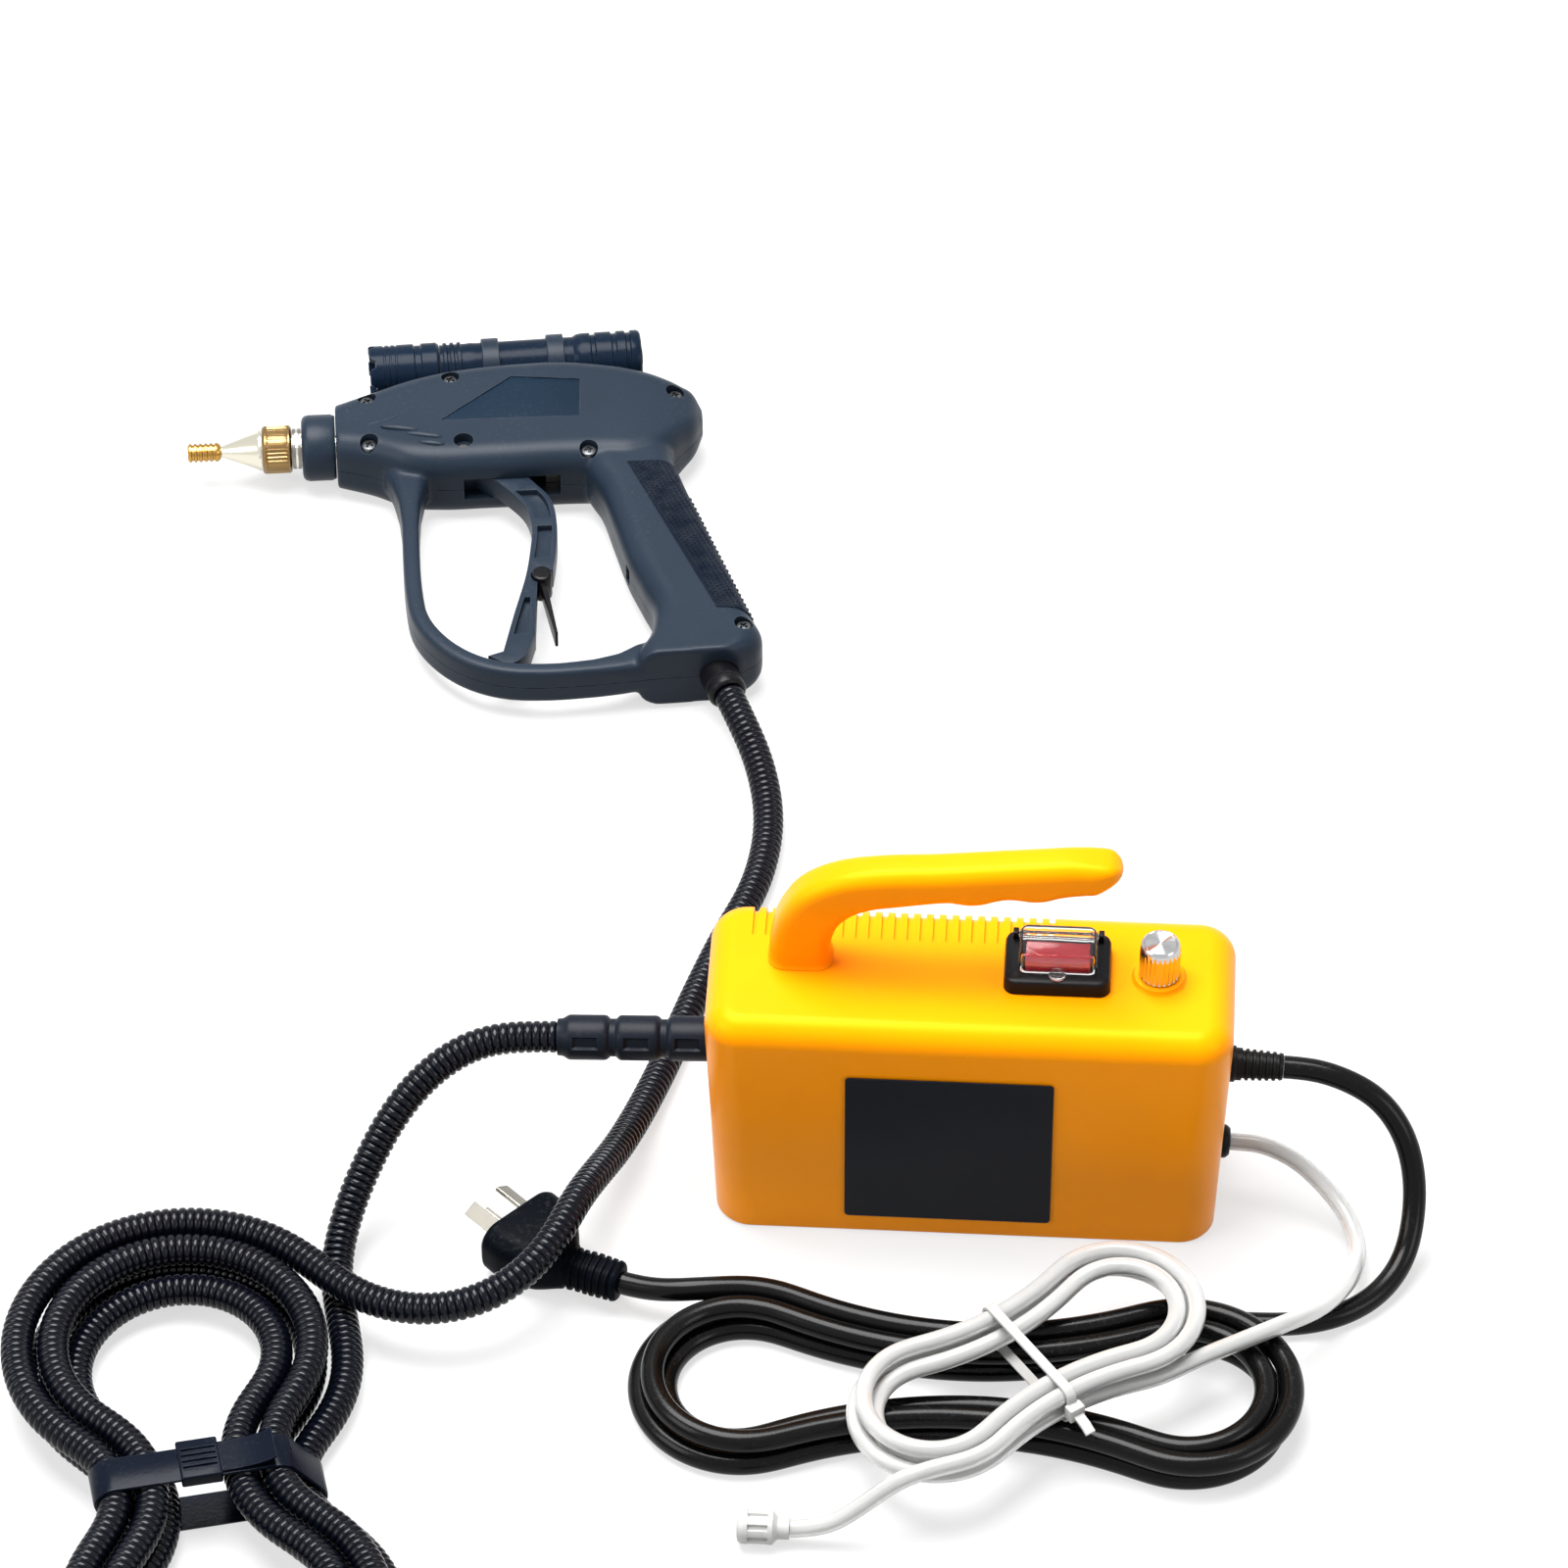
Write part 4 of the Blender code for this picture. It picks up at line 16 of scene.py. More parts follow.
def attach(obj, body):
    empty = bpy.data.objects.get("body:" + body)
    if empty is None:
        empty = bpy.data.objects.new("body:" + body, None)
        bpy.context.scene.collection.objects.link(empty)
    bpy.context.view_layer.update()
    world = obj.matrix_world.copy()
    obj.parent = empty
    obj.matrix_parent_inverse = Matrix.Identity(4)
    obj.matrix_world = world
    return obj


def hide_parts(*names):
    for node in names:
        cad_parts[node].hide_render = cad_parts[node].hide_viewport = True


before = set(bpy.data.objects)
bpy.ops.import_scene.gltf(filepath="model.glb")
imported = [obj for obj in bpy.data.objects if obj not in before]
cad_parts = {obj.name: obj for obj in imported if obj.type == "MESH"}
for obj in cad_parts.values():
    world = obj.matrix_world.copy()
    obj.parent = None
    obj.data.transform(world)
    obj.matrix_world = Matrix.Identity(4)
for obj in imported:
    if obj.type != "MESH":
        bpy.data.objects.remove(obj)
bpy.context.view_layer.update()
LOG = logging.getLogger("steamer")

Color = tuple[float, float, float]
Point = tuple[float, float, float]
Pair = tuple[float, float]

ROOT_BODY = "steamer"
GAP = 0.0003


class Graph:
    """Adds the nodes of one tree and wires them."""

    def __init__(self, tree: bpy.types.NodeTree) -> None:
        """Keep the tree that nodes are added to."""
        self.tree = tree

    def fill(self, node: bpy.types.Node, inputs: dict[Any, Any]) -> None:
        """Set or wire the inputs of a node.

        Args:
            node: the node.
            inputs: values or sockets by the input's name or index.
        """
        for key, value in inputs.items():
            if isinstance(value, bpy.types.NodeSocket):
                self.tree.links.new(value, node.inputs[key])
            else:
                node.inputs[key].default_value = value

    def add(self, kind: str, inputs: dict[Any, Any] | None = None, **settings: Any) -> bpy.types.Node:
        """Add a node.

        Args:
            kind: the node's type name.
            inputs: values or sockets for its inputs, by name or index.
            settings: values for its own properties.

        Returns:
            The node.
        """
        node = self.tree.nodes.new(kind)
        for name, value in settings.items():
            setattr(node, name, value)
        self.fill(node, inputs or {})
        return node

    def math(self, operation: str, first: Any, second: Any = 0.0) -> bpy.types.NodeSocket:
        """Add a Math node and return its value."""
        return self.add("ShaderNodeMath", {0: first, 1: second}, operation=operation).outputs[0]

    def span(self, value: Any, low: float, high: float) -> bpy.types.NodeSocket:
        """Map a value from low and high to 0 and 1, held within them."""
        settings = {"Value": value, "From Min": low, "From Max": high, "To Min": 0.0, "To Max": 1.0}
        return self.add("ShaderNodeMapRange", settings).outputs["Result"]

    def mix(self, share: Any, first: Any, second: Any) -> bpy.types.NodeSocket:
        """Mix two colours by a share."""
        node = self.add("ShaderNodeMix", {"Factor": share, "A": first, "B": second}, data_type="RGBA")
        return node.outputs["Result"]

    def noise(self, place: Any, scale: Any, detail: float = 2.0) -> bpy.types.NodeSocket:
        """Add a noise texture and return its value."""
        settings = {"Vector": place, "Scale": scale, "Detail": detail}
        return self.add("ShaderNodeTexNoise", settings).outputs[0]


class Effect:
    """Shared shader node groups, each built once."""

    @staticmethod
    def group(name: str, inputs: dict[str, Any], outputs: dict[str, str]) -> tuple[Graph, Any]:
        """Make an empty group with named sockets.

        Args:
            name: the group's name.
            inputs: default values by socket name; a tuple makes a colour.
            outputs: socket types by name.

        Returns:
            The group's graph, and the sockets that hold its inputs.
        """
        tree = bpy.data.node_groups.new(name, "ShaderNodeTree")
        for key, value in inputs.items():
            kind = "NodeSocketColor" if isinstance(value, tuple) else "NodeSocketFloat"
            socket = tree.interface.new_socket(key, in_out="INPUT", socket_type=kind)
            socket.default_value = (*value, 1.0) if isinstance(value, tuple) else value
        for key, kind in outputs.items():
            tree.interface.new_socket(key, in_out="OUTPUT", socket_type=kind)
        graph = Graph(tree)
        return graph, graph.add("NodeGroupInput").outputs

    @staticmethod
    @cache
    def skin() -> bpy.types.NodeTree:
        """Build the group for a moulded skin: flow marks in its colour, smudged gloss and fine grain.

        Returns:
            The node group.
        """
        inputs = {"Color": (0.5, 0.5, 0.5), "Shade": (0.4, 0.4, 0.4), "Flow Scale": 14.0,
                  "Grain Scale": 1800.0, "Roughness": 0.4, "Spread": 0.1}
        outputs = {"Color": "NodeSocketColor", "Roughness": "NodeSocketFloat", "Height": "NodeSocketFloat"}
        graph, given = Effect.group("moulded_skin", inputs, outputs)
        place = graph.add("ShaderNodeTexCoord").outputs["Object"]
        flow = graph.span(graph.noise(place, given["Flow Scale"]), 0.35, 0.70)
        smudge = graph.noise(place, graph.math("MULTIPLY", given["Flow Scale"], 4.0), 4.0)
        change = graph.math("MULTIPLY", graph.math("SUBTRACT", smudge, 0.5), given["Spread"])
        graph.add("NodeGroupOutput", {"Color": graph.mix(flow, given["Color"], given["Shade"]),
                                      "Roughness": graph.math("ADD", given["Roughness"], change),
                                      "Height": graph.noise(place, given["Grain Scale"], 1.0)})
        return graph.tree

    @staticmethod
    @cache
    def sheen_and_wear() -> bpy.types.NodeTree:
        """Build the group that lightens edges in broken patches: partly painted edge highlight, partly
        rubbed wear.

        Returns:
            The node group.
        """
        # The second colour is the lighter edge colour: partly painted edge highlight, partly rubbed wear.
        inputs = {"Color": (0.5, 0.5, 0.5), "Sheen And Worn": (0.7, 0.7, 0.7), "Amount": 0.5, "Size": 0.0008}
        outputs = {"Color": "NodeSocketColor", "Mask": "NodeSocketFloat"}
        graph, given = Effect.group("edge_sheen_and_wear", inputs, outputs)
        rounded = graph.add("ShaderNodeBevel", {"Radius": given["Size"]}, samples=4).outputs[0]
        normal = graph.add("ShaderNodeNewGeometry").outputs["Normal"]
        facing = graph.add("ShaderNodeVectorMath", {0: rounded, 1: normal}, operation="DOT_PRODUCT")
        edge = graph.span(graph.math("SUBTRACT", 1.0, facing.outputs["Value"]), 0.008, 0.14)
        place = graph.add("ShaderNodeTexCoord").outputs["Object"]
        patch = graph.span(graph.noise(place, 160.0, 4.0), 0.34, 0.66)
        mask = graph.math("MULTIPLY", graph.math("MULTIPLY", edge, patch), given["Amount"])
        # Painted edge highlight, partly rubbed wear: the lighter edge colour mixed in by the edge mask.
        color = graph.mix(mask, given["Color"], given["Sheen And Worn"])
        graph.add("NodeGroupOutput", {"Color": color, "Mask": mask})
        return graph.tree

    @staticmethod
    @cache
    def dust() -> bpy.types.NodeTree:
        """Build the group that lets a little pale dust settle on faces that look up.

        Returns:
            The node group.
        """
        inputs = {"Color": (0.5, 0.5, 0.5), "Dust": (0.6, 0.58, 0.54), "Amount": 0.1}
        outputs = {"Color": "NodeSocketColor", "Mask": "NodeSocketFloat"}
        graph, given = Effect.group("settled_dust", inputs, outputs)
        normal = graph.add("ShaderNodeNewGeometry").outputs["Normal"]
        up = graph.add("ShaderNodeSeparateXYZ", {0: normal}).outputs["Z"]
        place = graph.add("ShaderNodeTexCoord").outputs["Object"]
        speck = graph.span(graph.noise(place, 620.0, 3.0), 0.56, 0.70)
        patch = graph.span(graph.noise(place, 26.0, 3.0), 0.38, 0.72)
        mask = graph.math("MULTIPLY", graph.span(up, 0.25, 0.95), graph.math("MULTIPLY", speck, patch))
        mask = graph.math("MULTIPLY", mask, given["Amount"])
        color = graph.mix(mask, given["Color"], given["Dust"])
        graph.add("NodeGroupOutput", {"Color": color, "Mask": mask})
        return graph.tree


class Kind(Enum):
    """What a finish is made of, with the inputs that this sets on its shader."""

    PLASTIC = "plastic"
    METAL = "metal"
    CLEAR = "clear"
    MILKY = "milky"

    def inputs(self) -> dict[str, Any]:
        """Look up what this kind sets on its shader.

        Returns:
            The shader's inputs by name.
        """
        return {Kind.METAL: {"Metallic": 1.0},
                Kind.CLEAR: {"Transmission Weight": 1.0, "IOR": 1.30},
                Kind.MILKY: {"Transmission Weight": 0.32, "IOR": 1.41, "Subsurface Weight": 0.55,
                             "Subsurface Radius": (0.004, 0.004, 0.0045)}}.get(self, {})


@dataclass(frozen=True)
class Finish:
    """One surface finish, with its record slot, colours, gloss and fine texture."""

    name: str
    slot: str
    kind: Kind
    color: Color
    shade: Color
    roughness: float
    spread: float = 0.10
    flow_scale: float = 14.0
    grain_scale: float = 1800.0
    grain_depth: float = 0.00004
    # The lighter edge colour, its amount and its width: partly painted edge highlight, partly rubbed wear.
    sheen_and_worn: Color = (0.8, 0.8, 0.8)
    sheen_and_wear: float = 0.25
    sheen_and_wear_size: float = 0.0008
    dust: float = 0.02
    specular: float = 0.5
    tint: Color = (1.0, 1.0, 1.0)

    def material(self) -> bpy.types.Material:
        """Make the material of this finish on first use.

        Returns:
            The material.
        """
        known = bpy.data.materials.get(self.name)
        if known is not None:
            return known
        made = bpy.data.materials.new(self.name)
        made.use_nodes = True
        graph = Graph(made.node_tree)
        values = {"Color": (*self.color, 1.0), "Shade": (*self.shade, 1.0), "Flow Scale": self.flow_scale,
                  "Grain Scale": self.grain_scale, "Roughness": self.roughness, "Spread": self.spread}
        skin = graph.add("ShaderNodeGroup", values, node_tree=Effect.skin()).outputs
        color = skin["Color"]
        # Edges lightened in broken patches: partly painted edge highlight, partly rubbed wear.
        if self.sheen_and_wear > 0.0:
            values = {"Color": color, "Sheen And Worn": (*self.sheen_and_worn, 1.0), "Amount": self.sheen_and_wear,
                      "Size": self.sheen_and_wear_size}
            color = graph.add("ShaderNodeGroup", values, node_tree=Effect.sheen_and_wear()).outputs["Color"]
        if self.dust > 0.0:
            values = {"Color": color, "Amount": self.dust}
            color = graph.add("ShaderNodeGroup", values, node_tree=Effect.dust()).outputs["Color"]
        bump = graph.add("ShaderNodeBump", {"Height": skin["Height"], "Strength": 1.0,
                                            "Distance": self.grain_depth})
        graph.fill(made.node_tree.nodes["Principled BSDF"], {
            "Base Color": color, "Roughness": skin["Roughness"], "Normal": bump.outputs["Normal"],
            "Specular IOR Level": self.specular, "Specular Tint": (*self.tint, 1.0), **self.kind.inputs()})
        return made


# Each finish's lighter edge colour and amount paint an edge highlight, partly standing for rubbed wear.
YELLOW = Finish("moulded_yellow", "yellow_plastic", Kind.PLASTIC, (1.0, 0.31, 0.001), (0.96, 0.29, 0.001),
                0.34, grain_scale=2600.0, grain_depth=0.00002, sheen_and_worn=(1.0, 0.42, 0.02), sheen_and_wear=0.35, dust=0.01,
                specular=0.35, tint=(1.0, 0.70, 0.03))
NAVY = Finish("moulded_slate", "slate_plastic", Kind.PLASTIC, (0.0115, 0.0195, 0.032),
              (0.0085, 0.015, 0.026), 0.38, grain_scale=2200.0, grain_depth=0.00005,
              sheen_and_worn=(0.08, 0.10, 0.13), sheen_and_wear=0.35, specular=0.14)
PANEL = Finish("panel_slate", "slate_plastic", Kind.PLASTIC, (0.005, 0.014, 0.028), (0.004, 0.011, 0.022),
               0.50, grain_scale=3000.0, grain_depth=0.00006, sheen_and_worn=(0.05, 0.07, 0.10), sheen_and_wear=0.3,
               specular=0.07)
BLACK = Finish("moulded_black", "black_plastic", Kind.PLASTIC, (0.004, 0.004, 0.005), (0.003, 0.003, 0.004),
               0.32, grain_depth=0.00003, sheen_and_worn=(0.04, 0.04, 0.05), sheen_and_wear=0.35, specular=0.11)
BOOT = Finish("boot_black", "black_plastic", Kind.PLASTIC, (0.004, 0.006, 0.012), (0.003, 0.005, 0.009),
              0.42, grain_depth=0.00004, sheen_and_worn=(0.04, 0.05, 0.07), sheen_and_wear=0.35, specular=0.11)
LABEL = Finish("label_black", "black_plastic", Kind.PLASTIC, (0.006, 0.007, 0.011), (0.004, 0.005, 0.008),
               0.40, grain_scale=900.0, grain_depth=0.00002, sheen_and_worn=(0.10, 0.10, 0.11), sheen_and_wear=0.25, dust=0.03,
               specular=0.09)
TORCH = Finish("anodised_torch", "torch_metal", Kind.PLASTIC, (0.005, 0.012, 0.025), (0.004, 0.009, 0.019),
               0.22, grain_depth=0.00002, sheen_and_worn=(0.06, 0.08, 0.11), sheen_and_wear=0.45, sheen_and_wear_size=0.0004,
               specular=0.06)
RUBBER = Finish("soft_black", "soft_rubber", Kind.PLASTIC, (0.0028, 0.0062, 0.0135), (0.0024, 0.005, 0.011),
                0.48, grain_scale=1300.0, grain_depth=0.00006, sheen_and_worn=(0.07, 0.08, 0.09), sheen_and_wear=0.35,
                sheen_and_wear_size=0.0004, dust=0.02, specular=0.05)
RELIEF = Finish("relief_black", "soft_rubber", Kind.PLASTIC, (0.005, 0.005, 0.005), (0.004, 0.004, 0.004),
                0.40, sheen_and_worn=(0.04, 0.04, 0.04), sheen_and_wear=0.35, sheen_and_wear_size=0.0004, specular=0.10)
HOSE = Finish("hose_black", "black_hose", Kind.PLASTIC, (0.002, 0.003, 0.006), (0.002, 0.002, 0.005), 0.14,
              spread=0.06, grain_depth=0.00001, sheen_and_wear=0.0, dust=0.01, specular=0.17)
CORD = Finish("cord_black", "black_cord", Kind.PLASTIC, (0.003, 0.003, 0.003), (0.002, 0.002, 0.002), 0.20,
              grain_scale=1500.0, grain_depth=0.00002, sheen_and_wear=0.0, dust=0.02, specular=0.13)
PLUG = Finish("plug_black", "black_cord", Kind.PLASTIC, (0.002, 0.003, 0.005), (0.0015, 0.0025, 0.004),
              0.36, grain_scale=1500.0, grain_depth=0.00003, sheen_and_worn=(0.02, 0.02, 0.03), sheen_and_wear=0.3,
              specular=0.02)
STRAP = Finish("strap_dark", "black_plastic", Kind.PLASTIC, (0.003, 0.005, 0.011), (0.002, 0.004, 0.009),
               0.22, grain_scale=700.0, grain_depth=0.00004, sheen_and_worn=(0.04, 0.05, 0.07), sheen_and_wear=0.4,
               specular=0.06)
RED = Finish("rocker_red", "red_plastic", Kind.PLASTIC, (0.30, 0.004, 0.014), (0.25, 0.003, 0.009), 0.18,
             grain_depth=0.00001, sheen_and_worn=(0.85, 0.20, 0.18), sheen_and_wear=0.3, specular=0.30)
CLEAR = Finish("clear_cover", "clear_plastic", Kind.CLEAR, (1.0, 1.0, 1.0), (0.97, 0.98, 0.98), 0.03,
               spread=0.03, grain_scale=500.0, grain_depth=0.000002, sheen_and_wear=0.0, dust=0.0)
CHROME = Finish("bright_chrome", "chrome", Kind.METAL, (0.52, 0.52, 0.52), (0.45, 0.45, 0.45), 0.14,
                spread=0.08, grain_depth=0.00001, sheen_and_worn=(0.70, 0.70, 0.70), sheen_and_wear=0.3, sheen_and_wear_size=0.0003,
                dust=0.0)
STEEL = Finish("plain_steel", "steel", Kind.METAL, (0.26, 0.25, 0.24), (0.20, 0.19, 0.185), 0.33,
               spread=0.16, grain_depth=0.00002, sheen_and_worn=(0.45, 0.44, 0.43), sheen_and_wear=0.5, sheen_and_wear_size=0.0004)
DARK_STEEL = Finish("dark_steel", "steel", Kind.METAL, (0.11, 0.115, 0.125), (0.08, 0.085, 0.09), 0.36,
                    spread=0.16, grain_depth=0.00002, sheen_and_worn=(0.32, 0.33, 0.34), sheen_and_wear=0.5, sheen_and_wear_size=0.0003)
BLADE = Finish("blade_metal", "steel", Kind.METAL, (0.46, 0.44, 0.38), (0.41, 0.39, 0.34), 0.24,
               spread=0.10, grain_depth=0.00001, sheen_and_worn=(0.60, 0.59, 0.56), sheen_and_wear=0.4, sheen_and_wear_size=0.00025,
               dust=0.0)
BRASS = Finish("knurled_brass", "brass", Kind.METAL, (0.26, 0.165, 0.068), (0.21, 0.13, 0.05), 0.30,
               spread=0.16, grain_depth=0.00002, sheen_and_worn=(0.50, 0.37, 0.18), sheen_and_wear=0.6, sheen_and_wear_size=0.0003,
               dust=0.0)
BRIGHT_BRASS = Finish("bright_brass", "brass", Kind.METAL, (0.48, 0.28, 0.065), (0.41, 0.23, 0.05), 0.20,
                      spread=0.12, grain_depth=0.00001, sheen_and_worn=(0.70, 0.58, 0.32), sheen_and_wear=0.5, sheen_and_wear_size=0.0003,
                      dust=0.0)
POLISHED = Finish("polished_cone", "brass", Kind.METAL, (0.72, 0.69, 0.58), (0.66, 0.63, 0.52), 0.18,
                  spread=0.06, grain_depth=0.00001, sheen_and_worn=(0.92, 0.88, 0.76), sheen_and_wear=0.2, sheen_and_wear_size=0.0004,
                  dust=0.0)
BOARD = Finish("circuit_board", "board", Kind.PLASTIC, (0.02, 0.14, 0.05), (0.015, 0.10, 0.04), 0.50)
MILKY = Finish("milky_silicone", "milky_tube", Kind.MILKY, (0.54, 0.54, 0.53), (0.50, 0.505, 0.50), 0.24,
               spread=0.10, grain_scale=700.0, grain_depth=0.00002, sheen_and_wear=0.0, dust=0.0, specular=0.4)
WHITE = Finish("moulded_white", "white_plastic", Kind.PLASTIC, (0.44, 0.44, 0.43), (0.40, 0.40, 0.39), 0.38,
               grain_depth=0.00003, sheen_and_worn=(0.60, 0.60, 0.59), sheen_and_wear=0.2, dust=0.03)

NODE_FINISHES: dict[str, Finish] = {
    "casing": YELLOW, "handle": YELLOW, "label_plate": LABEL, "base_plate": BLACK, "base_screw": STEEL,
    "switch_body": BLACK, "switch_rocker": RED, "switch_cover": CLEAR, "knob": CHROME,
    "potentiometer": STEEL, "boiler": STEEL, "pump": STEEL, "control_board": BOARD,
    "hose_fitting": BOOT, "power_gland": RELIEF, "inlet_grommet": RELIEF, "hose_gland": BLACK,
    "gun_left_shell": NAVY, "gun_right_shell": NAVY, "gun_screw": STEEL, "grip_pad": RUBBER,
    "trigger_lock": BLACK, "trigger": NAVY, "pivot_pin": STEEL, "valve_pin": STEEL, "valve": POLISHED,
    "nose_collar": NAVY, "nozzle_nut": BRASS, "nozzle": BRIGHT_BRASS, "torch_head": TORCH,
    "torch_body": TORCH, "torch_lens": CLEAR, "torch_button": RUBBER, "torch_clip": NAVY,
    "plug_body": CORD, "plug_blade": BLADE, "strainer": WHITE, "hose_tie": BLACK, "tube_tie": WHITE,
    "hose": HOSE, "cord": CORD, "tube": MILKY,
}


@dataclass
class Shape:
    """Points and faces of one form."""

    points: np.ndarray
    faces: list[tuple[int, ...]]

    def moved(self, matrix: Matrix) -> "Shape":
        """Move the shape.

        Args:
            matrix: how it is moved.

        Returns:
            The moved shape.
        """
        turn = np.array(matrix.to_3x3())
        shift = np.array(matrix.to_translation())
        return Shape(self.points @ turn.T + shift, self.faces)

    def joined(self, *others: "Shape") -> "Shape":
        """Put this shape and others into one list of points and faces.

        Args:
            others: the other shapes.

        Returns:
            The joined shape.
        """
        points = [self.points]
        faces = list(self.faces)
        count = len(self.points)
        for other in others:
            points.append(other.points)
            faces += [tuple(index + count for index in face) for face in other.faces]
            count += len(other.points)
        return Shape(np.vstack(points), faces)


def loft(rings: Sequence[np.ndarray], closed: bool = False, capped: bool = True) -> Shape:
    """Skin rings of equal point count.

    Args:
        rings: the rings, each an array of points.
        closed: join the last ring to the first.
        capped: close both ends with flat faces.

    Returns:
        The skinned shape.
    """
    count = len(rings[0])
    levels = len(rings) if closed else len(rings) - 1
    low = np.arange(levels)[:, None] * count + np.arange(count)
    after = np.arange(levels)[:, None] * count + (np.arange(count) + 1) % count
    step = count
    total = count * len(rings)
    quads = np.stack([low, after, (after + step) % total, (low + step) % total], axis=2).reshape(-1, 4)
    faces = [tuple(quad) for quad in quads.tolist()]
    if capped and not closed:
        faces.append(tuple(reversed(range(count))))
        faces.append(tuple(range(total - count, total)))
    return Shape(np.vstack(rings), faces)


def turned(profile: Sequence[Pair], sides: int, closed: bool = False,
           shape: Callable[[float, np.ndarray], np.ndarray] | None = None) -> Shape:
    """Turn a profile of radius and height about Z.

    Args:
        profile: radius and height pairs.
        sides: points round each ring.
        closed: join the last ring to the first, for a bored piece.
        shape: optional radius factor from a height and the ring's angles.

    Returns:
        The turned shape.
    """
    angles = np.linspace(0.0, 2.0 * math.pi, sides, endpoint=False)
    rings = []
    for radius, height in profile:
        sizes = np.full(sides, radius)
        if shape is not None:
            sizes = sizes * shape(height, angles)
        rings.append(np.column_stack([sizes * np.cos(angles), sizes * np.sin(angles),
                                      np.full(sides, height)]))
    return loft(rings, closed)


def prism(outline: Sequence[Pair], low: float, high: float) -> Shape:
    """Extrude an outline in XY between two heights.

    Args:
        outline: points in X and Y.
        low: the lower height.
        high: the upper height.

    Returns:
        The prism.
    """
    flat = np.array(outline)
    rings = [np.column_stack([flat, np.full(len(flat), height)]) for height in (low, high)]
    return loft(rings)


def rounded(width: float, depth: float, radius: float, steps: int) -> np.ndarray:
    """Round the corners of a rectangle about the origin.

    Args:
        width: its size in X.
        depth: its size in Y.
        radius: the corner radius.
        steps: lines in each corner.

    Returns:
        The outline's points.
    """
    points = []
    for quarter, (sign_x, sign_y) in enumerate(((1.0, 1.0), (-1.0, 1.0), (-1.0, -1.0), (1.0, -1.0))):
        middle = (sign_x * (width / 2.0 - radius), sign_y * (depth / 2.0 - radius))
        for step in range(steps + 1):
            angle = math.pi / 2.0 * (quarter + step / steps)
            points.append((middle[0] + radius * math.cos(angle), middle[1] + radius * math.sin(angle)))
    return np.array(points)


def aimed(origin: Iterable[float], direction: Iterable[float]) -> Matrix:
    """Return the matrix that turns Z along a direction and moves to an origin."""
    turn = Vector(direction).to_track_quat("Z", "Y").to_matrix().to_4x4()
    return Matrix.Translation(Vector(origin)) @ turn


def solid(name: str, shape: Shape) -> bpy.types.Mesh:
    """Make a mesh of a shape.

    Args:
        name: the mesh's name.
        shape: the shape.

    Returns:
        The mesh.
    """
    mesh = bpy.data.meshes.new(name)
    mesh.from_pydata(shape.points.tolist(), [], shape.faces)
    mesh.validate()
    return mesh


def linked(name: str, data: Any) -> bpy.types.Object:
    """Make an object of some data in the scene.

    Args:
        name: the object's name.
        data: its mesh, lamp or camera.

    Returns:
        The object.
    """
    made = bpy.data.objects.new(name, data)
    bpy.context.scene.collection.objects.link(made)
    return made


def place(shape: Shape, name: str, finish: Finish, body: str = ROOT_BODY, replaces: Sequence[str] = (),
          sharp: float = 35.0) -> bpy.types.Object:
    """Make a shape into a dressed piece that rides on a body.

    Args:
        shape: the form, in the row frame.
        name: the piece's name.
        finish: its finish.
        body: the body it rides on.
        replaces: the nodes it stands for.
        sharp: the angle in degrees past which an edge stays sharp.

    Returns:
        The piece.
    """
    mesh = solid(name, shape)
    mesh.shade_smooth()
    mesh.set_sharp_from_angle(angle=math.radians(sharp))
    mesh.materials.append(finish.material())
    piece = linked(name, mesh)
    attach(piece, body)
    if replaces:
        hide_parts(*replaces)
    LOG.info("%s: %d faces, on %s", name, len(mesh.polygons), body)
    return piece


def level(piece: bpy.types.Object) -> None:
    """Shade a piece by the size of its faces, so that broad flat faces stay flat.

    Args:
        piece: the piece to shade.
    """
    normals = piece.modifiers.new("normals", "WEIGHTED_NORMAL")
    normals.keep_sharp = True
    normals.weight = 100


def soften(node: bpy.types.Object, width: float, segments: int = 2) -> None:
    """Round a node's sharp edges by a width with modifiers.

    Args:
        node: the node to round.
        width: the width of the rounding.
        segments: faces across the rounding.
    """
    weld = node.modifiers.new("weld", "WELD")
    weld.merge_threshold = 0.000002
    bevel = node.modifiers.new("round", "BEVEL")
    bevel.width = width
    bevel.segments = segments
    bevel.limit_method = "ANGLE"
    bevel.angle_limit = math.radians(32.0)
    bevel.use_clamp_overlap = True
    bevel.miter_outer = "MITER_ARC"
    level(node)


def dress_nodes(rounding: dict[str, float]) -> None:
    """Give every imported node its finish, and round the edges of those that have a width.

    Args:
        rounding: rounding widths by the start of a node's name.
    """
    for name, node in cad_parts.items():
        key = max((key for key in NODE_FINISHES if name.startswith(key)), key=len)
        node.data.materials.clear()
        node.data.materials.append(NODE_FINISHES[key].material())
        for start, width in rounding.items():
            if name.startswith(start):
                soften(node, width)


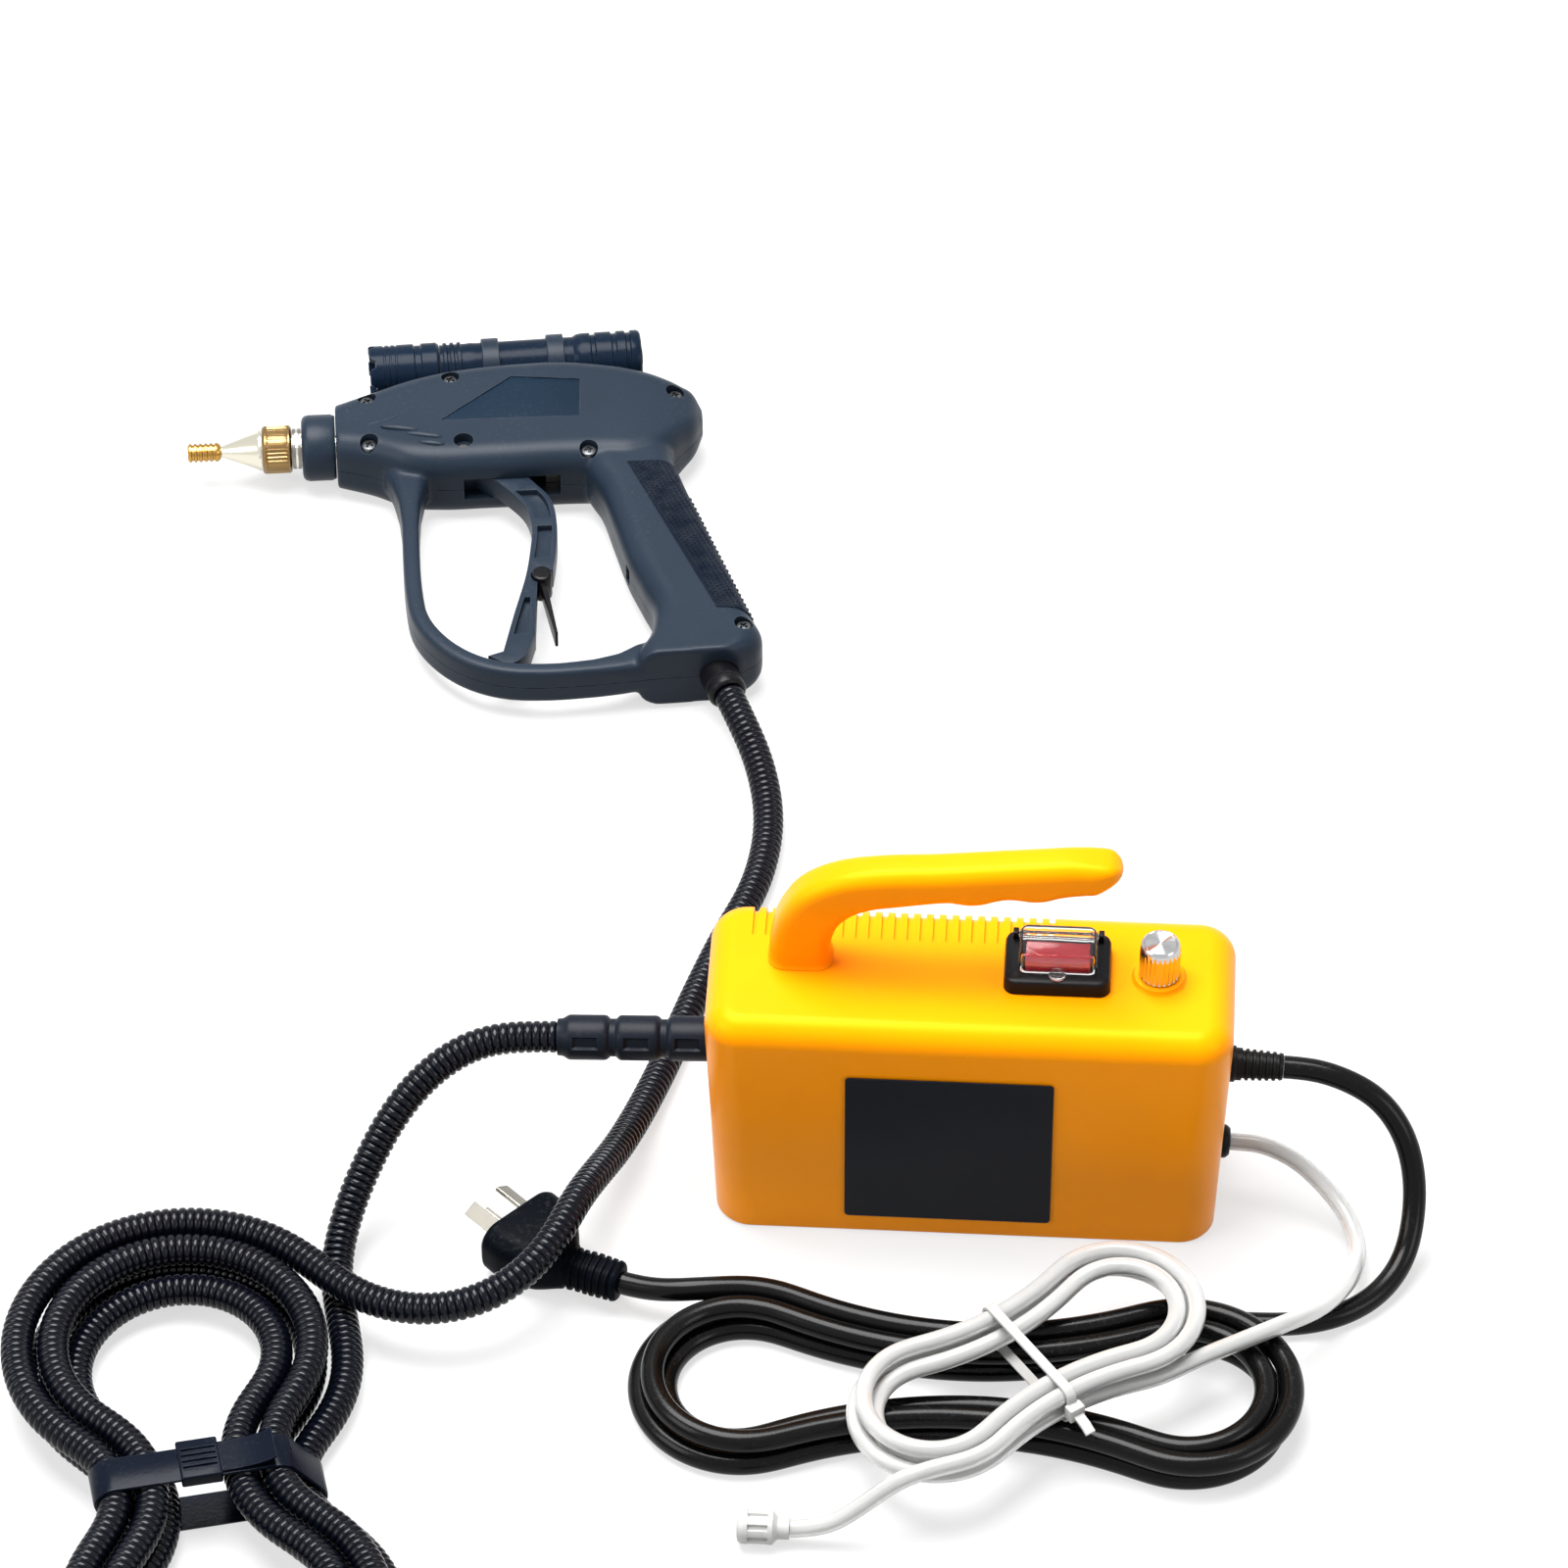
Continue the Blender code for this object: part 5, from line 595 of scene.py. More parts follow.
def smooth(points: Sequence[Vector], count: int, guided: bool = False) -> list[Vector]:
    """Return evenly spaced points on a smooth curve.

    Args:
        points: what the curve passes through.
        count: how many points to return.
        guided: the first and last points only steer the curve.

    Returns:
        The points along the curve.
    """
    path = list(points)
    if not guided:
        path = [points[0] * 2.0 - points[1]] + path + [points[-1] * 2.0 - points[-2]]
    fine = []
    for index in range(1, len(path) - 2):
        before, start, end, after = path[index - 1:index + 3]
        knots = [0.0]
        for first, second in ((before, start), (start, end), (end, after)):
            knots.append(knots[-1] + max((second - first).length, 1e-9) ** 0.5)
        for step in range(24):
            t = knots[1] + (knots[2] - knots[1]) * step / 24.0
            a1 = before.lerp(start, (t - knots[0]) / (knots[1] - knots[0]))
            a2 = start.lerp(end, (t - knots[1]) / (knots[2] - knots[1]))
            a3 = end.lerp(after, (t - knots[2]) / (knots[3] - knots[2]))
            b1 = a1.lerp(a2, (t - knots[0]) / (knots[2] - knots[0]))
            b2 = a2.lerp(a3, (t - knots[1]) / (knots[3] - knots[1]))
            fine.append(b1.lerp(b2, (t - knots[1]) / (knots[2] - knots[1])))
    fine.append(path[-2].copy())
    return evenly(fine, count)


def evenly(points: Sequence[Vector], count: int) -> list[Vector]:
    """Place points at even steps along a line of points.

    Args:
        points: the line.
        count: how many points to return.

    Returns:
        The even points.
    """
    places = np.array([tuple(point) for point in points])
    steps = np.linalg.norm(np.diff(places, axis=0), axis=1)
    lengths = np.concatenate([[0.0], np.cumsum(steps)])
    even = np.linspace(0.0, lengths[-1], count)
    columns = [np.interp(even, lengths, places[:, axis]) for axis in range(3)]
    return [Vector(values) for values in zip(*columns)]


def run_length(points: Sequence[Vector]) -> float:
    """Return the length of a line of points."""
    return sum((second - first).length for first, second in zip(points, points[1:]))


def relaxed(points: Sequence[Vector], rounds: int) -> list[Vector]:
    """Ease the bends of a line of points while its ends and their neighbours stay put.

    Args:
        points: the line.
        rounds: how often it is eased.

    Returns:
        The eased line.
    """
    places = np.array([tuple(point) for point in points])
    for _ in range(rounds):
        middle = (places[1:-3] + places[3:-1]) / 2.0
        places[2:-2] = places[2:-2] * 0.5 + middle * 0.5
    return [Vector(values) for values in places]


@dataclass(frozen=True)
class End:
    """Where a stretch of cord leaves or arrives, and which way it points there."""

    point: Vector
    way: Vector


def stretch(start: End, route: Sequence[Point], end: End, run: float,
            spacing: float = 0.002) -> list[Vector]:
    """Lead a path along a route, straight over a run at each end.

    Args:
        start: where it leaves.
        route: points on its way.
        end: where it arrives.
        run: the length of its straight ends.
        spacing: the distance between its points.

    Returns:
        The even path.
    """
    first = start.point + start.way * run
    last = end.point - end.way * run
    middle = [first] + [Vector(point) for point in route] + [last]
    count = max(8, round(run_length(middle) / spacing))
    path = [start.point] + smooth([start.point] + middle + [end.point], count, guided=True) + [end.point]
    return path


def sweep(path: Sequence[Vector], radii: Sequence[float], sides: int) -> Shape:
    """Sweep a round section along a path without twist, with a radius at each point.

    Args:
        path: the centreline.
        radii: the radius at each of its points.
        sides: points round each ring.

    Returns:
        The swept shape.
    """
    places = np.array([tuple(point) for point in path])
    ways = np.gradient(places, axis=0)
    ways /= np.linalg.norm(ways, axis=1)[:, None]
    side = np.cross(ways[0], (0.0, 0.0, 1.0))
    side /= np.linalg.norm(side)
    angles = np.linspace(0.0, 2.0 * math.pi, sides, endpoint=False)
    rings = []
    for point, way, radius in zip(places, ways, radii):
        side = side - way * np.dot(side, way)
        side /= np.linalg.norm(side)
        up = np.cross(side, way)
        ring = np.outer(np.cos(angles), side) + np.outer(np.sin(angles), up)
        rings.append(point + ring * radius)
    return loft(rings)


@dataclass
class Hank:
    """A tube folded into loops drawn in at the waist, spiralling in on one layer and out on the next."""

    centre: Point
    turn: float
    mirror: float
    span: float
    fold: float
    waist: float
    pitch: float
    radius: float
    fold_share: float = 8.0 / 22.0
    run_share: float = 3.0 / 22.0
    coarse_steps: int = 22
    fine_steps: int = 8
    first: float = 0.0
    total: float = 0.0

    def __post_init__(self) -> None:
        """Work out the axes and the waist's bow."""
        angle = math.radians(self.turn)
        self.along = Vector((math.cos(angle), math.sin(angle), 0.0))
        self.across = Vector((math.sin(angle), -math.cos(angle), 0.0)) * self.mirror
        self.bow = (self.span ** 2 / (self.fold - self.waist) - self.fold - self.waist) / 2.0
        self.lean = math.atan2(self.bow + self.waist, self.span)

    def share(self, far: bool, angle: float) -> float:
        """Find how far round a loop an angle on a fold lies.

        Args:
            far: whether it is the far fold.
            angle: the angle from the fold's tip.

        Returns:
            The share of a loop.
        """
        limit = math.pi - self.lean
        if far:
            start = self.fold_share / 2.0 + self.run_share
            return start + (limit - angle) / (2.0 * limit) * self.fold_share
        return angle / (2.0 * limit) * self.fold_share

    def loop_point(self, share: float, offset: float) -> Pair:
        """Find a place on a loop.

        Args:
            share: how far round the loop.
            offset: how far outside it.

        Returns:
            The values along and across.
        """
        place_on = share % 1.0
        limit = math.pi - self.lean
        sweep_angle = math.pi / 2.0 - self.lean
        size = self.fold + offset
        bow = self.bow - offset
        middle = self.bow + self.waist
        half_fold = self.fold_share / 2.0
        if place_on < half_fold:
            angle = place_on / half_fold * limit
            return self.span + size * math.cos(angle), size * math.sin(angle)
        place_on -= half_fold
        if place_on < self.run_share:
            angle = sweep_angle * (1.0 - 2.0 * place_on / self.run_share)
            return bow * math.sin(angle), middle - bow * math.cos(angle)
        place_on -= self.run_share
        if place_on < self.fold_share:
            angle = limit * (1.0 - 2.0 * place_on / self.fold_share)
            return -self.span - size * math.cos(angle), size * math.sin(angle)
        place_on -= self.fold_share
        if place_on < self.run_share:
            angle = -sweep_angle * (1.0 - 2.0 * place_on / self.run_share)
            return bow * math.sin(angle), bow * math.cos(angle) - middle
        place_on -= self.run_share
        angle = -limit * (1.0 - place_on / half_fold)
        return self.span + size * math.cos(angle), size * math.sin(angle)

    def point(self, travelled: float) -> Vector:
        """Find the point after a number of loops from the start.

        Args:
            travelled: the number of loops.

        Returns:
            The point.
        """
        half = self.total / 2.0
        u, v = self.loop_point(self.first + travelled, self.pitch * abs(travelled - half))
        climb = min(max((travelled - half + 0.25) / 0.5, 0.0), 1.0)
        climb = climb * climb * (3.0 - 2.0 * climb)
        lift = Vector((0.0, 0.0, climb * self.pitch))
        return Vector(self.centre) + self.along * u + self.across * v + lift

    def wind(self, first: float, total: float) -> tuple[list[Vector], End, End]:
        """Wind the hank.

        Args:
            first: the share of a loop where it starts.
            total: how many loops it makes.

        Returns:
            Its points, and its start and end, both pointing along the cord.
        """
        steps = round(total * self.coarse_steps)
        self.first = first
        self.total = steps / self.coarse_steps
        count = steps * self.fine_steps
        points = [self.point(self.total * index / count) for index in range(count + 1)]
        start_way = (self.point(0.002) - points[0]).normalized()
        end_way = (points[-1] - self.point(self.total - 0.002)).normalized()
        start_way.z = 0.0
        end_way.z = 0.0
        run = 2.0 * self.radius
        points = [points[0] - start_way * run] + points + [points[-1] + end_way * run]
        return points, End(points[0], start_way), End(points[-1], end_way)

    def flare(self, width: float) -> float:
        """Return how far the outer turns spread over half a width either side of the waist."""
        bow = self.bow - self.pitch * self.total / 2.0
        return bow - math.sqrt(bow * bow - width * width / 4.0)

    def waist_tubes(self, line: Sequence[Vector]) -> np.ndarray:
        """Find where a cord's turns pass the waist.

        Args:
            line: the cord's centreline.

        Returns:
            The places across and up from the centre.
        """
        points = [point - Vector(self.centre) for point in line]
        places = []
        for first, second in zip(points, points[1:]):
            passing = first.dot(self.along) * second.dot(self.along) <= 0.0
            if passing and abs(first.dot(self.across)) < self.span:
                places.append((first.dot(self.across), first.z))
        return np.array(places)


@dataclass
class BoxSizes:
    """The steam box's sizes that pieces are placed by."""

    width: float = 0.200
    depth: float = 0.072
    height: float = 0.112
    draft: float = 0.004
    fillet: float = 0.010

    def end_wall(self, side: float, z: float) -> End:
        """Find an end wall at a height.

        Args:
            side: -1 for the left wall and 1 for the right.
            z: the height.

        Returns:
            Its point and outward direction.
        """
        rise = self.height - self.fillet
        tilt = math.atan2(self.draft, rise)
        half = self.width / 2.0 - self.draft * (1.0 - z / rise)
        return End(Vector((side * half, 0.0, z)), Vector((side * math.cos(tilt), 0.0, -math.sin(tilt))))

    def mouth(self, side: float, z: float, length: float) -> End:
        """Return the open end of a fitting of a given length on an end wall."""
        wall = self.end_wall(side, z)
        return End(wall.point + wall.way * (length + GAP), wall.way)


@dataclass
class GunPlace:
    """Where the gun lies, with its own flat frame about the trigger pivot."""

    x: float = -0.227
    y: float = 0.379
    half: float = 0.017
    turn: float = 7.0

    def matrix(self) -> Matrix:
        """Return the gun's frame."""
        turn = Matrix.Rotation(math.radians(self.turn), 4, "Z")
        return Matrix.Translation((self.x, self.y, self.half)) @ turn


@dataclass
class SteamHose:
    """The corrugated steam hose from the box, through its hank, to the gun."""

    radius: float = 0.0062
    valley: float = 0.00535
    rib_pitch: float = 0.0031
    sides: int = 16
    spacing: float = 0.002
    easing: int = 24
    fitting_z: float = 0.070
    fitting_length: float = 0.059
    gland_place: Pair = (0.100, -0.1355)
    gland_angle: float = -75.0
    gland_length: float = 0.010
    loops: int = 4
    end_angle: float = 40.0
    box_route: tuple[Point, ...] = (
        (-0.1866, -0.0014, 0.0650), (-0.2035, -0.0084, 0.0578), (-0.2180, -0.0195, 0.0452),
        (-0.2291, -0.0340, 0.0290), (-0.2361, -0.0509, 0.0167), (-0.2385, -0.0690, 0.0098))
    gun_route: tuple[Point, ...] = (
        (-0.0935, 0.2145, 0.0125), (-0.0875, 0.185, 0.0080), (-0.0905, 0.150, 0.0066),
        (-0.102, 0.115, 0.0066), (-0.112, 0.080, 0.0066), (-0.1205, 0.046, 0.0072),
        (-0.1285, 0.015, 0.0110), (-0.1355, -0.012, 0.0185), (-0.1415, -0.033, 0.0270),
        (-0.1475, -0.052, 0.0325), (-0.1535, -0.0705, 0.0328), (-0.1620, -0.0850, 0.0305),
        (-0.1752, -0.0965, 0.0270), (-0.1915, -0.1023, 0.0242), (-0.2085, -0.1023, 0.0226),
        (-0.2215, -0.0982, 0.0218))
    rib_rings: tuple[Pair, ...] = ((0.0, 0.0), (0.14, 0.62), (0.32, 0.96), (0.54, 1.0), (0.72, 0.96),
                                   (0.88, 0.62))
    hank: Hank = field(default_factory=lambda: Hank(
        (-0.276, -0.188, 0.0080), 104.6, 1.0, 0.0655, 0.037, 0.0105, 0.0135, 0.0062))

    def path(self, box: BoxSizes, gun: GunPlace) -> list[Vector]:
        """Lay the hose from the box to the gun.

        Args:
            box: the steam box's sizes.
            gun: where the gun lies.

        Returns:
            Its whole centreline.
        """
        begin = self.hank.share(False, math.pi / 2.0)
        finish = self.hank.share(False, math.radians(self.end_angle))
        coil, coil_start, coil_end = self.hank.wind(begin, self.loops + finish - begin)
        run = 2.0 * self.radius
        mouth = box.mouth(-1.0, self.fitting_z, self.fitting_length)
        near = stretch(mouth, self.box_route, coil_start, run)
        angle = math.radians(self.gland_angle)
        axis = Vector((math.cos(angle), math.sin(angle), 0.0))
        axes = gun.matrix()
        start = axes @ (Vector((*self.gland_place, 0.0)) + axis * (self.gland_length + GAP))
        leaving = End(start, (axes.to_3x3() @ axis).normalized())
        far = stretch(leaving, self.gun_route, End(coil_end.point, -coil_end.way), run)
        whole = near[:-1] + coil + list(reversed(far[:-1]))
        return relaxed(evenly(whole, round(run_length(whole) / self.spacing)), self.easing)

    def build(self, box: BoxSizes, gun: GunPlace) -> None:
        """Args:
            box: the steam box's sizes.
            gun: where the gun lies.
        """
        line = self.path(box, gun)
        length = run_length(line)
        ribs = round(length / self.rib_pitch)
        places = np.linspace(0.0, 1.0, 4001)
        fine = np.array([tuple(point) for point in evenly(line, len(places))])
        shares = np.array([(index + phase) / ribs for index in range(ribs) for phase, _ in self.rib_rings])
        path = [Vector(values) for values in
                zip(*[np.interp(shares, places, fine[:, axis]) for axis in range(3)])]
        radii = [self.valley + (self.radius - self.valley) * size
                 for _ in range(ribs) for _, size in self.rib_rings]
        piece = place(sweep(path, radii, self.sides), "steam_hose", HOSE,
                      replaces=("hose_at_box", "hose_hank", "hose_at_gun"), sharp=60.0)


@dataclass
class PowerCord:
    """The power cord from the box, through its hank, to the moulded plug."""

    radius: float = 0.0045
    sides: int = 20
    spacing: float = 0.002
    easing: int = 12
    gland_z: float = 0.068
    gland_length: float = 0.021
    loops: int = 3
    box_route: tuple[Point, ...] = (
        (0.140, -0.002, 0.0655), (0.156, -0.006, 0.0585), (0.1665, -0.0125, 0.0465),
        (0.1715, -0.0205, 0.0320), (0.1720, -0.0300, 0.0195), (0.1690, -0.0425, 0.0095),
        (0.1599, -0.0575, 0.0055), (0.1461, -0.0690, 0.0048), (0.1291, -0.0750, 0.0048),
        (0.1150, -0.0760, 0.0048))
    lead_route: tuple[Point, ...] = ((-0.1126, -0.0789, 0.0132),)
    plug_exit: Point = (-0.1290, -0.0745, 0.0118)
    plug_second: Point = (-0.1389, -0.0711, 0.0118)
    hank: Hank = field(default_factory=lambda: Hank(
        (0.004, -0.1195, 0.0048), 0.0, -1.0, 0.084, 0.027, 0.009, 0.0098, 0.0045))

    def path(self, box: BoxSizes) -> list[Vector]:
        """Lay the cord from the box to the plug.

        Args:
            box: the steam box's sizes.

        Returns:
            Its whole centreline.
        """
        begin = self.hank.share(False, math.pi / 2.0)
        finish = self.hank.share(True, math.pi / 2.0)
        coil, coil_start, coil_end = self.hank.wind(begin, self.loops + finish - begin)
        run = 2.0 * self.radius
        mouth = box.mouth(1.0, self.gland_z, self.gland_length)
        near = stretch(mouth, self.box_route, coil_start, run)
        way = (Vector(self.plug_exit) - Vector(self.plug_second)).normalized()
        leaving = End(Vector(self.plug_exit) + way * GAP, way)
        lead = stretch(leaving, self.lead_route, End(coil_end.point, -coil_end.way), run * 0.6)
        whole = near[:-1] + coil + list(reversed(lead[:-1]))
        return relaxed(evenly(whole, round(run_length(whole) / self.spacing)), self.easing)

    def build(self, box: BoxSizes) -> None:
        """Args:
            box: the steam box's sizes.
        """
        line = self.path(box)
        piece = place(sweep(line, [self.radius] * len(line), self.sides), "power_cord", CORD,
                      replaces=("cord_at_box", "cord_hank", "cord_lead"), sharp=60.0)


@dataclass
class WaterTube:
    """The milky water tube from the box, through its hank, to the strainer."""

    radius: float = 0.0034
    sides: int = 20
    spacing: float = 0.0015
    easing: int = 12
    grommet_z: float = 0.025
    grommet_length: float = 0.004
    loops: int = 3
    end_angle: float = 62.0
    box_route: tuple[Point, ...] = (
        (0.113, -0.001, 0.0250), (0.126, -0.005, 0.0215), (0.138, -0.014, 0.0165),
        (0.147, -0.025, 0.0120), (0.151, -0.038, 0.0100), (0.150, -0.052, 0.0115),
        (0.145, -0.066, 0.0150), (0.136, -0.080, 0.0190), (0.124, -0.0915, 0.0232),
        (0.110, -0.101, 0.0243))
    tail_route: tuple[Point, ...] = (
        (-0.0184, -0.1836, 0.0290), (-0.0304, -0.1870, 0.0197), (-0.0425, -0.1893, 0.0103))
    strainer: Point = (-0.058, -0.1900, 0.0072)
    hank: Hank = field(default_factory=lambda: Hank(
        (0.0265, -0.120, 0.0246), 37.0, 1.0, 0.042, 0.0205, 0.014, 0.0075, 0.0034))

    def path(self, box: BoxSizes) -> list[Vector]:
        """Lay the tube from the box to the strainer.

        Args:
            box: the steam box's sizes.

        Returns:
            Its whole centreline.
        """
        begin = self.hank.share(False, math.pi / 2.0)
        finish = self.hank.share(True, math.radians(self.end_angle))
        coil, coil_start, coil_end = self.hank.wind(begin, self.loops + finish - begin)
        run = 2.0 * self.radius
        mouth = box.mouth(1.0, self.grommet_z, self.grommet_length)
        near = stretch(mouth, self.box_route, coil_start, run)
        stop = End(Vector(self.strainer), Vector((-1.0, 0.0, 0.0)))
        tail = stretch(coil_end, self.tail_route, stop, run * 0.5)
        whole = near[:-1] + coil + tail[1:]
        return relaxed(evenly(whole, round(run_length(whole) / self.spacing)), self.easing)

    def build(self, box: BoxSizes) -> None:
        """Args:
            box: the steam box's sizes.
        """
        line = self.path(box)
        piece = place(sweep(line, [self.radius] * len(line), self.sides), "water_tube", MILKY,
                      replaces=("tube_at_box", "tube_hank", "tube_tail"), sharp=60.0)


def bare_object(shape: Shape) -> bpy.types.Object:
    """Make a plain object of a shape for shaping work."""
    return linked("work", solid("work", shape))


def discard(made: bpy.types.Object) -> None:
    """Remove an object and its mesh.

    Args:
        made: the object.
    """
    data = made.data
    bpy.data.objects.remove(made)
    bpy.data.meshes.remove(data)


def worked(shape: Shape, *steps: tuple[str, dict[str, Any]]) -> Shape:
    """Run modifiers on a shape.

    Args:
        shape: what to start from.
        steps: modifier types with their settings; a Shape among these is a second operand.

    Returns:
        The shape that results.
    """
    start = bare_object(shape)
    used = [start]
    for kind, settings in steps:
        modifier = start.modifiers.new(kind.lower(), kind)
        for key, value in settings.items():
            if isinstance(value, Shape):
                value = bare_object(value)
                used.append(value)
            setattr(modifier, key, value)
    mesh = bpy.data.meshes.new_from_object(start.evaluated_get(bpy.context.evaluated_depsgraph_get()))
    points = np.empty(len(mesh.vertices) * 3)
    mesh.vertices.foreach_get("co", points)
    faces = [tuple(polygon.vertices) for polygon in mesh.polygons]
    bpy.data.meshes.remove(mesh)
    for made in used:
        discard(made)
    return Shape(points.reshape(-1, 3), faces)


def opened(shape: Shape) -> bmesh.types.BMesh:
    """Open a shape for mesh operations.

    Args:
        shape: the shape.

    Returns:
        Its points and faces as a working mesh.
    """
    made = bmesh.new()
    corners = [made.verts.new(point) for point in shape.points]
    for face in shape.faces:
        made.faces.new([corners[index] for index in face])
    return made


def taken_faces(made: bmesh.types.BMesh) -> list[tuple[int, ...]]:
    """Return the faces of a working mesh by the order of its points."""
    made.verts.index_update()
    return [tuple(corner.index for corner in face.verts) for face in made.faces]


def outward(shape: Shape) -> Shape:
    """Turn all the faces of a closed shape outward.

    Args:
        shape: the shape.

    Returns:
        The turned shape.
    """
    made = opened(shape)
    bmesh.ops.recalc_face_normals(made, faces=made.faces)
    faces = taken_faces(made)
    made.free()
    return Shape(shape.points, faces)


def combined(operation: str, shape: Shape, others: Sequence[Shape]) -> Shape:
    """Cut, join or intersect shapes, one after another.

    Args:
        operation: the boolean operation.
        shape: the first shape.
        others: what it is combined with.

    Returns:
        The shape that results.
    """
    steps = [("BOOLEAN", {"operation": operation, "solver": "EXACT", "object": outward(other)})
             for other in others]
    return worked(outward(shape), *steps)


def cut(shape: Shape, *tools: Shape) -> Shape:
    """Cut tools out of a shape, one after another."""
    return combined("DIFFERENCE", shape, tools)


def fused(shape: Shape, *others: Shape) -> Shape:
    """Join shapes into one body."""
    return combined("UNION", shape, others)


def gathered(shapes: Sequence[Shape]) -> Shape:
    """Return shapes that don't touch as one."""
    return shapes[0].joined(*shapes[1:])


def stepped(radius: float, height: float, steps: Sequence[Pair]) -> list[Pair]:
    """Return profile points by their steps from a radius and a height."""
    return [(radius + out, height + up) for out, up in steps]


def rod(radius: float, start: Point, end: Point, sides: int) -> Shape:
    """Return a round rod between two points."""
    way = Vector(end) - Vector(start)
    return turned(((radius, 0.0), (radius, way.length)), sides).moved(aimed(start, way))


def block(low: Point, high: Point) -> Shape:
    """Return a rectangular block for cutting or joining."""
    outline = ((low[0], low[1]), (high[0], low[1]), (high[0], high[1]), (low[0], high[1]))
    return prism(outline, low[2], high[2])


def eased(places: Sequence[float], values: Sequence[float], at: np.ndarray) -> np.ndarray:
    """Draw a smooth curve through values.

    Args:
        places: where the values are given.
        values: the values.
        at: where the curve is read.

    Returns:
        The curve's values there.
    """
    xs = np.array(places)
    ys = np.array(values)
    slopes = np.gradient(ys, xs)
    index = np.clip(np.searchsorted(xs, at) - 1, 0, len(xs) - 2)
    width = xs[index + 1] - xs[index]
    share = (at - xs[index]) / width
    square, cube = share ** 2, share ** 3
    here = (2.0 * cube - 3.0 * square + 1.0) * ys[index]
    leaving = (cube - 2.0 * square + share) * width * slopes[index]
    there = (3.0 * square - 2.0 * cube) * ys[index + 1]
    arriving = (cube - square) * width * slopes[index + 1]
    return here + leaving + there + arriving


def pair_loft(firsts: np.ndarray, seconds: np.ndarray, halves: np.ndarray, rounding: float,
              steps: int = 8) -> Shape:
    """Skin rounded sections that span edge points in XY.

    Args:
        firsts: one edge's points.
        seconds: the other edge's points.
        halves: the half thickness at each.
        rounding: the corner radius as a share of the lesser half size.
        steps: faces in each rounded corner.

    Returns:
        The skinned shape.
    """
    rings = []
    for first, second, half in zip(firsts, seconds, halves):
        across = second - first
        width = float(np.linalg.norm(across))
        across = across / width
        outline = rounded(width, 2.0 * half, rounding * min(width / 2.0, half), steps)
        flat = (first + second) / 2.0 + np.outer(outline[:, 0], across)
        rings.append(np.column_stack([flat, outline[:, 1]]))
    return loft(rings)


def flat_curve(points: Sequence[Pair], count: int) -> np.ndarray:
    """Return evenly spaced points on a smooth curve in XY."""
    path = smooth([Vector((*point, 0.0)) for point in points], count)
    return np.array([(point.x, point.y) for point in path])


def beside(line: np.ndarray, half_widths: np.ndarray) -> tuple[np.ndarray, np.ndarray]:
    """Offset a line in XY to both sides.

    Args:
        line: the line.
        half_widths: the offset at each point.

    Returns:
        The points on either side.
    """
    ways = np.gradient(line, axis=0)
    ways /= np.linalg.norm(ways, axis=1)[:, None]
    sides = np.column_stack([-ways[:, 1], ways[:, 0]]) * half_widths[:, None]
    return line + sides, line - sides


def cross_screw(radius: float, height: float, sides: int = 48) -> Shape:
    """Make a pan-head screw's head about Z, on its underside, with a cross recess.

    Args:
        radius: its radius.
        height: its height.
        sides: points round it.

    Returns:
        The head.
    """
    angles = np.linspace(0.0, 2.0 * math.pi, sides, endpoint=False)
    rings = [np.column_stack([radius * np.cos(angles), radius * np.sin(angles), np.zeros(sides)])]
    for share in (1.0, 0.97, 0.9, 0.8, 0.7, 0.62, 0.54, 0.46, 0.38, 0.30, 0.22, 0.15, 0.08, 0.02):
        x = radius * share * np.cos(angles)
        y = radius * share * np.sin(angles)
        top = height * (0.62 + 0.38 * math.sqrt(max(0.0, 1.0 - share ** 2)))
        arm = np.minimum(np.abs(x), np.abs(y))
        reach = np.maximum(np.abs(x), np.abs(y))
        inside = np.clip((0.17 * radius - arm) / (0.05 * radius), 0.0, 1.0)
        inside = inside * np.clip((0.62 * radius - reach) / (0.06 * radius), 0.0, 1.0)
        rings.append(np.column_stack([x, y, top - inside * height * 0.55]))
    return loft(rings)


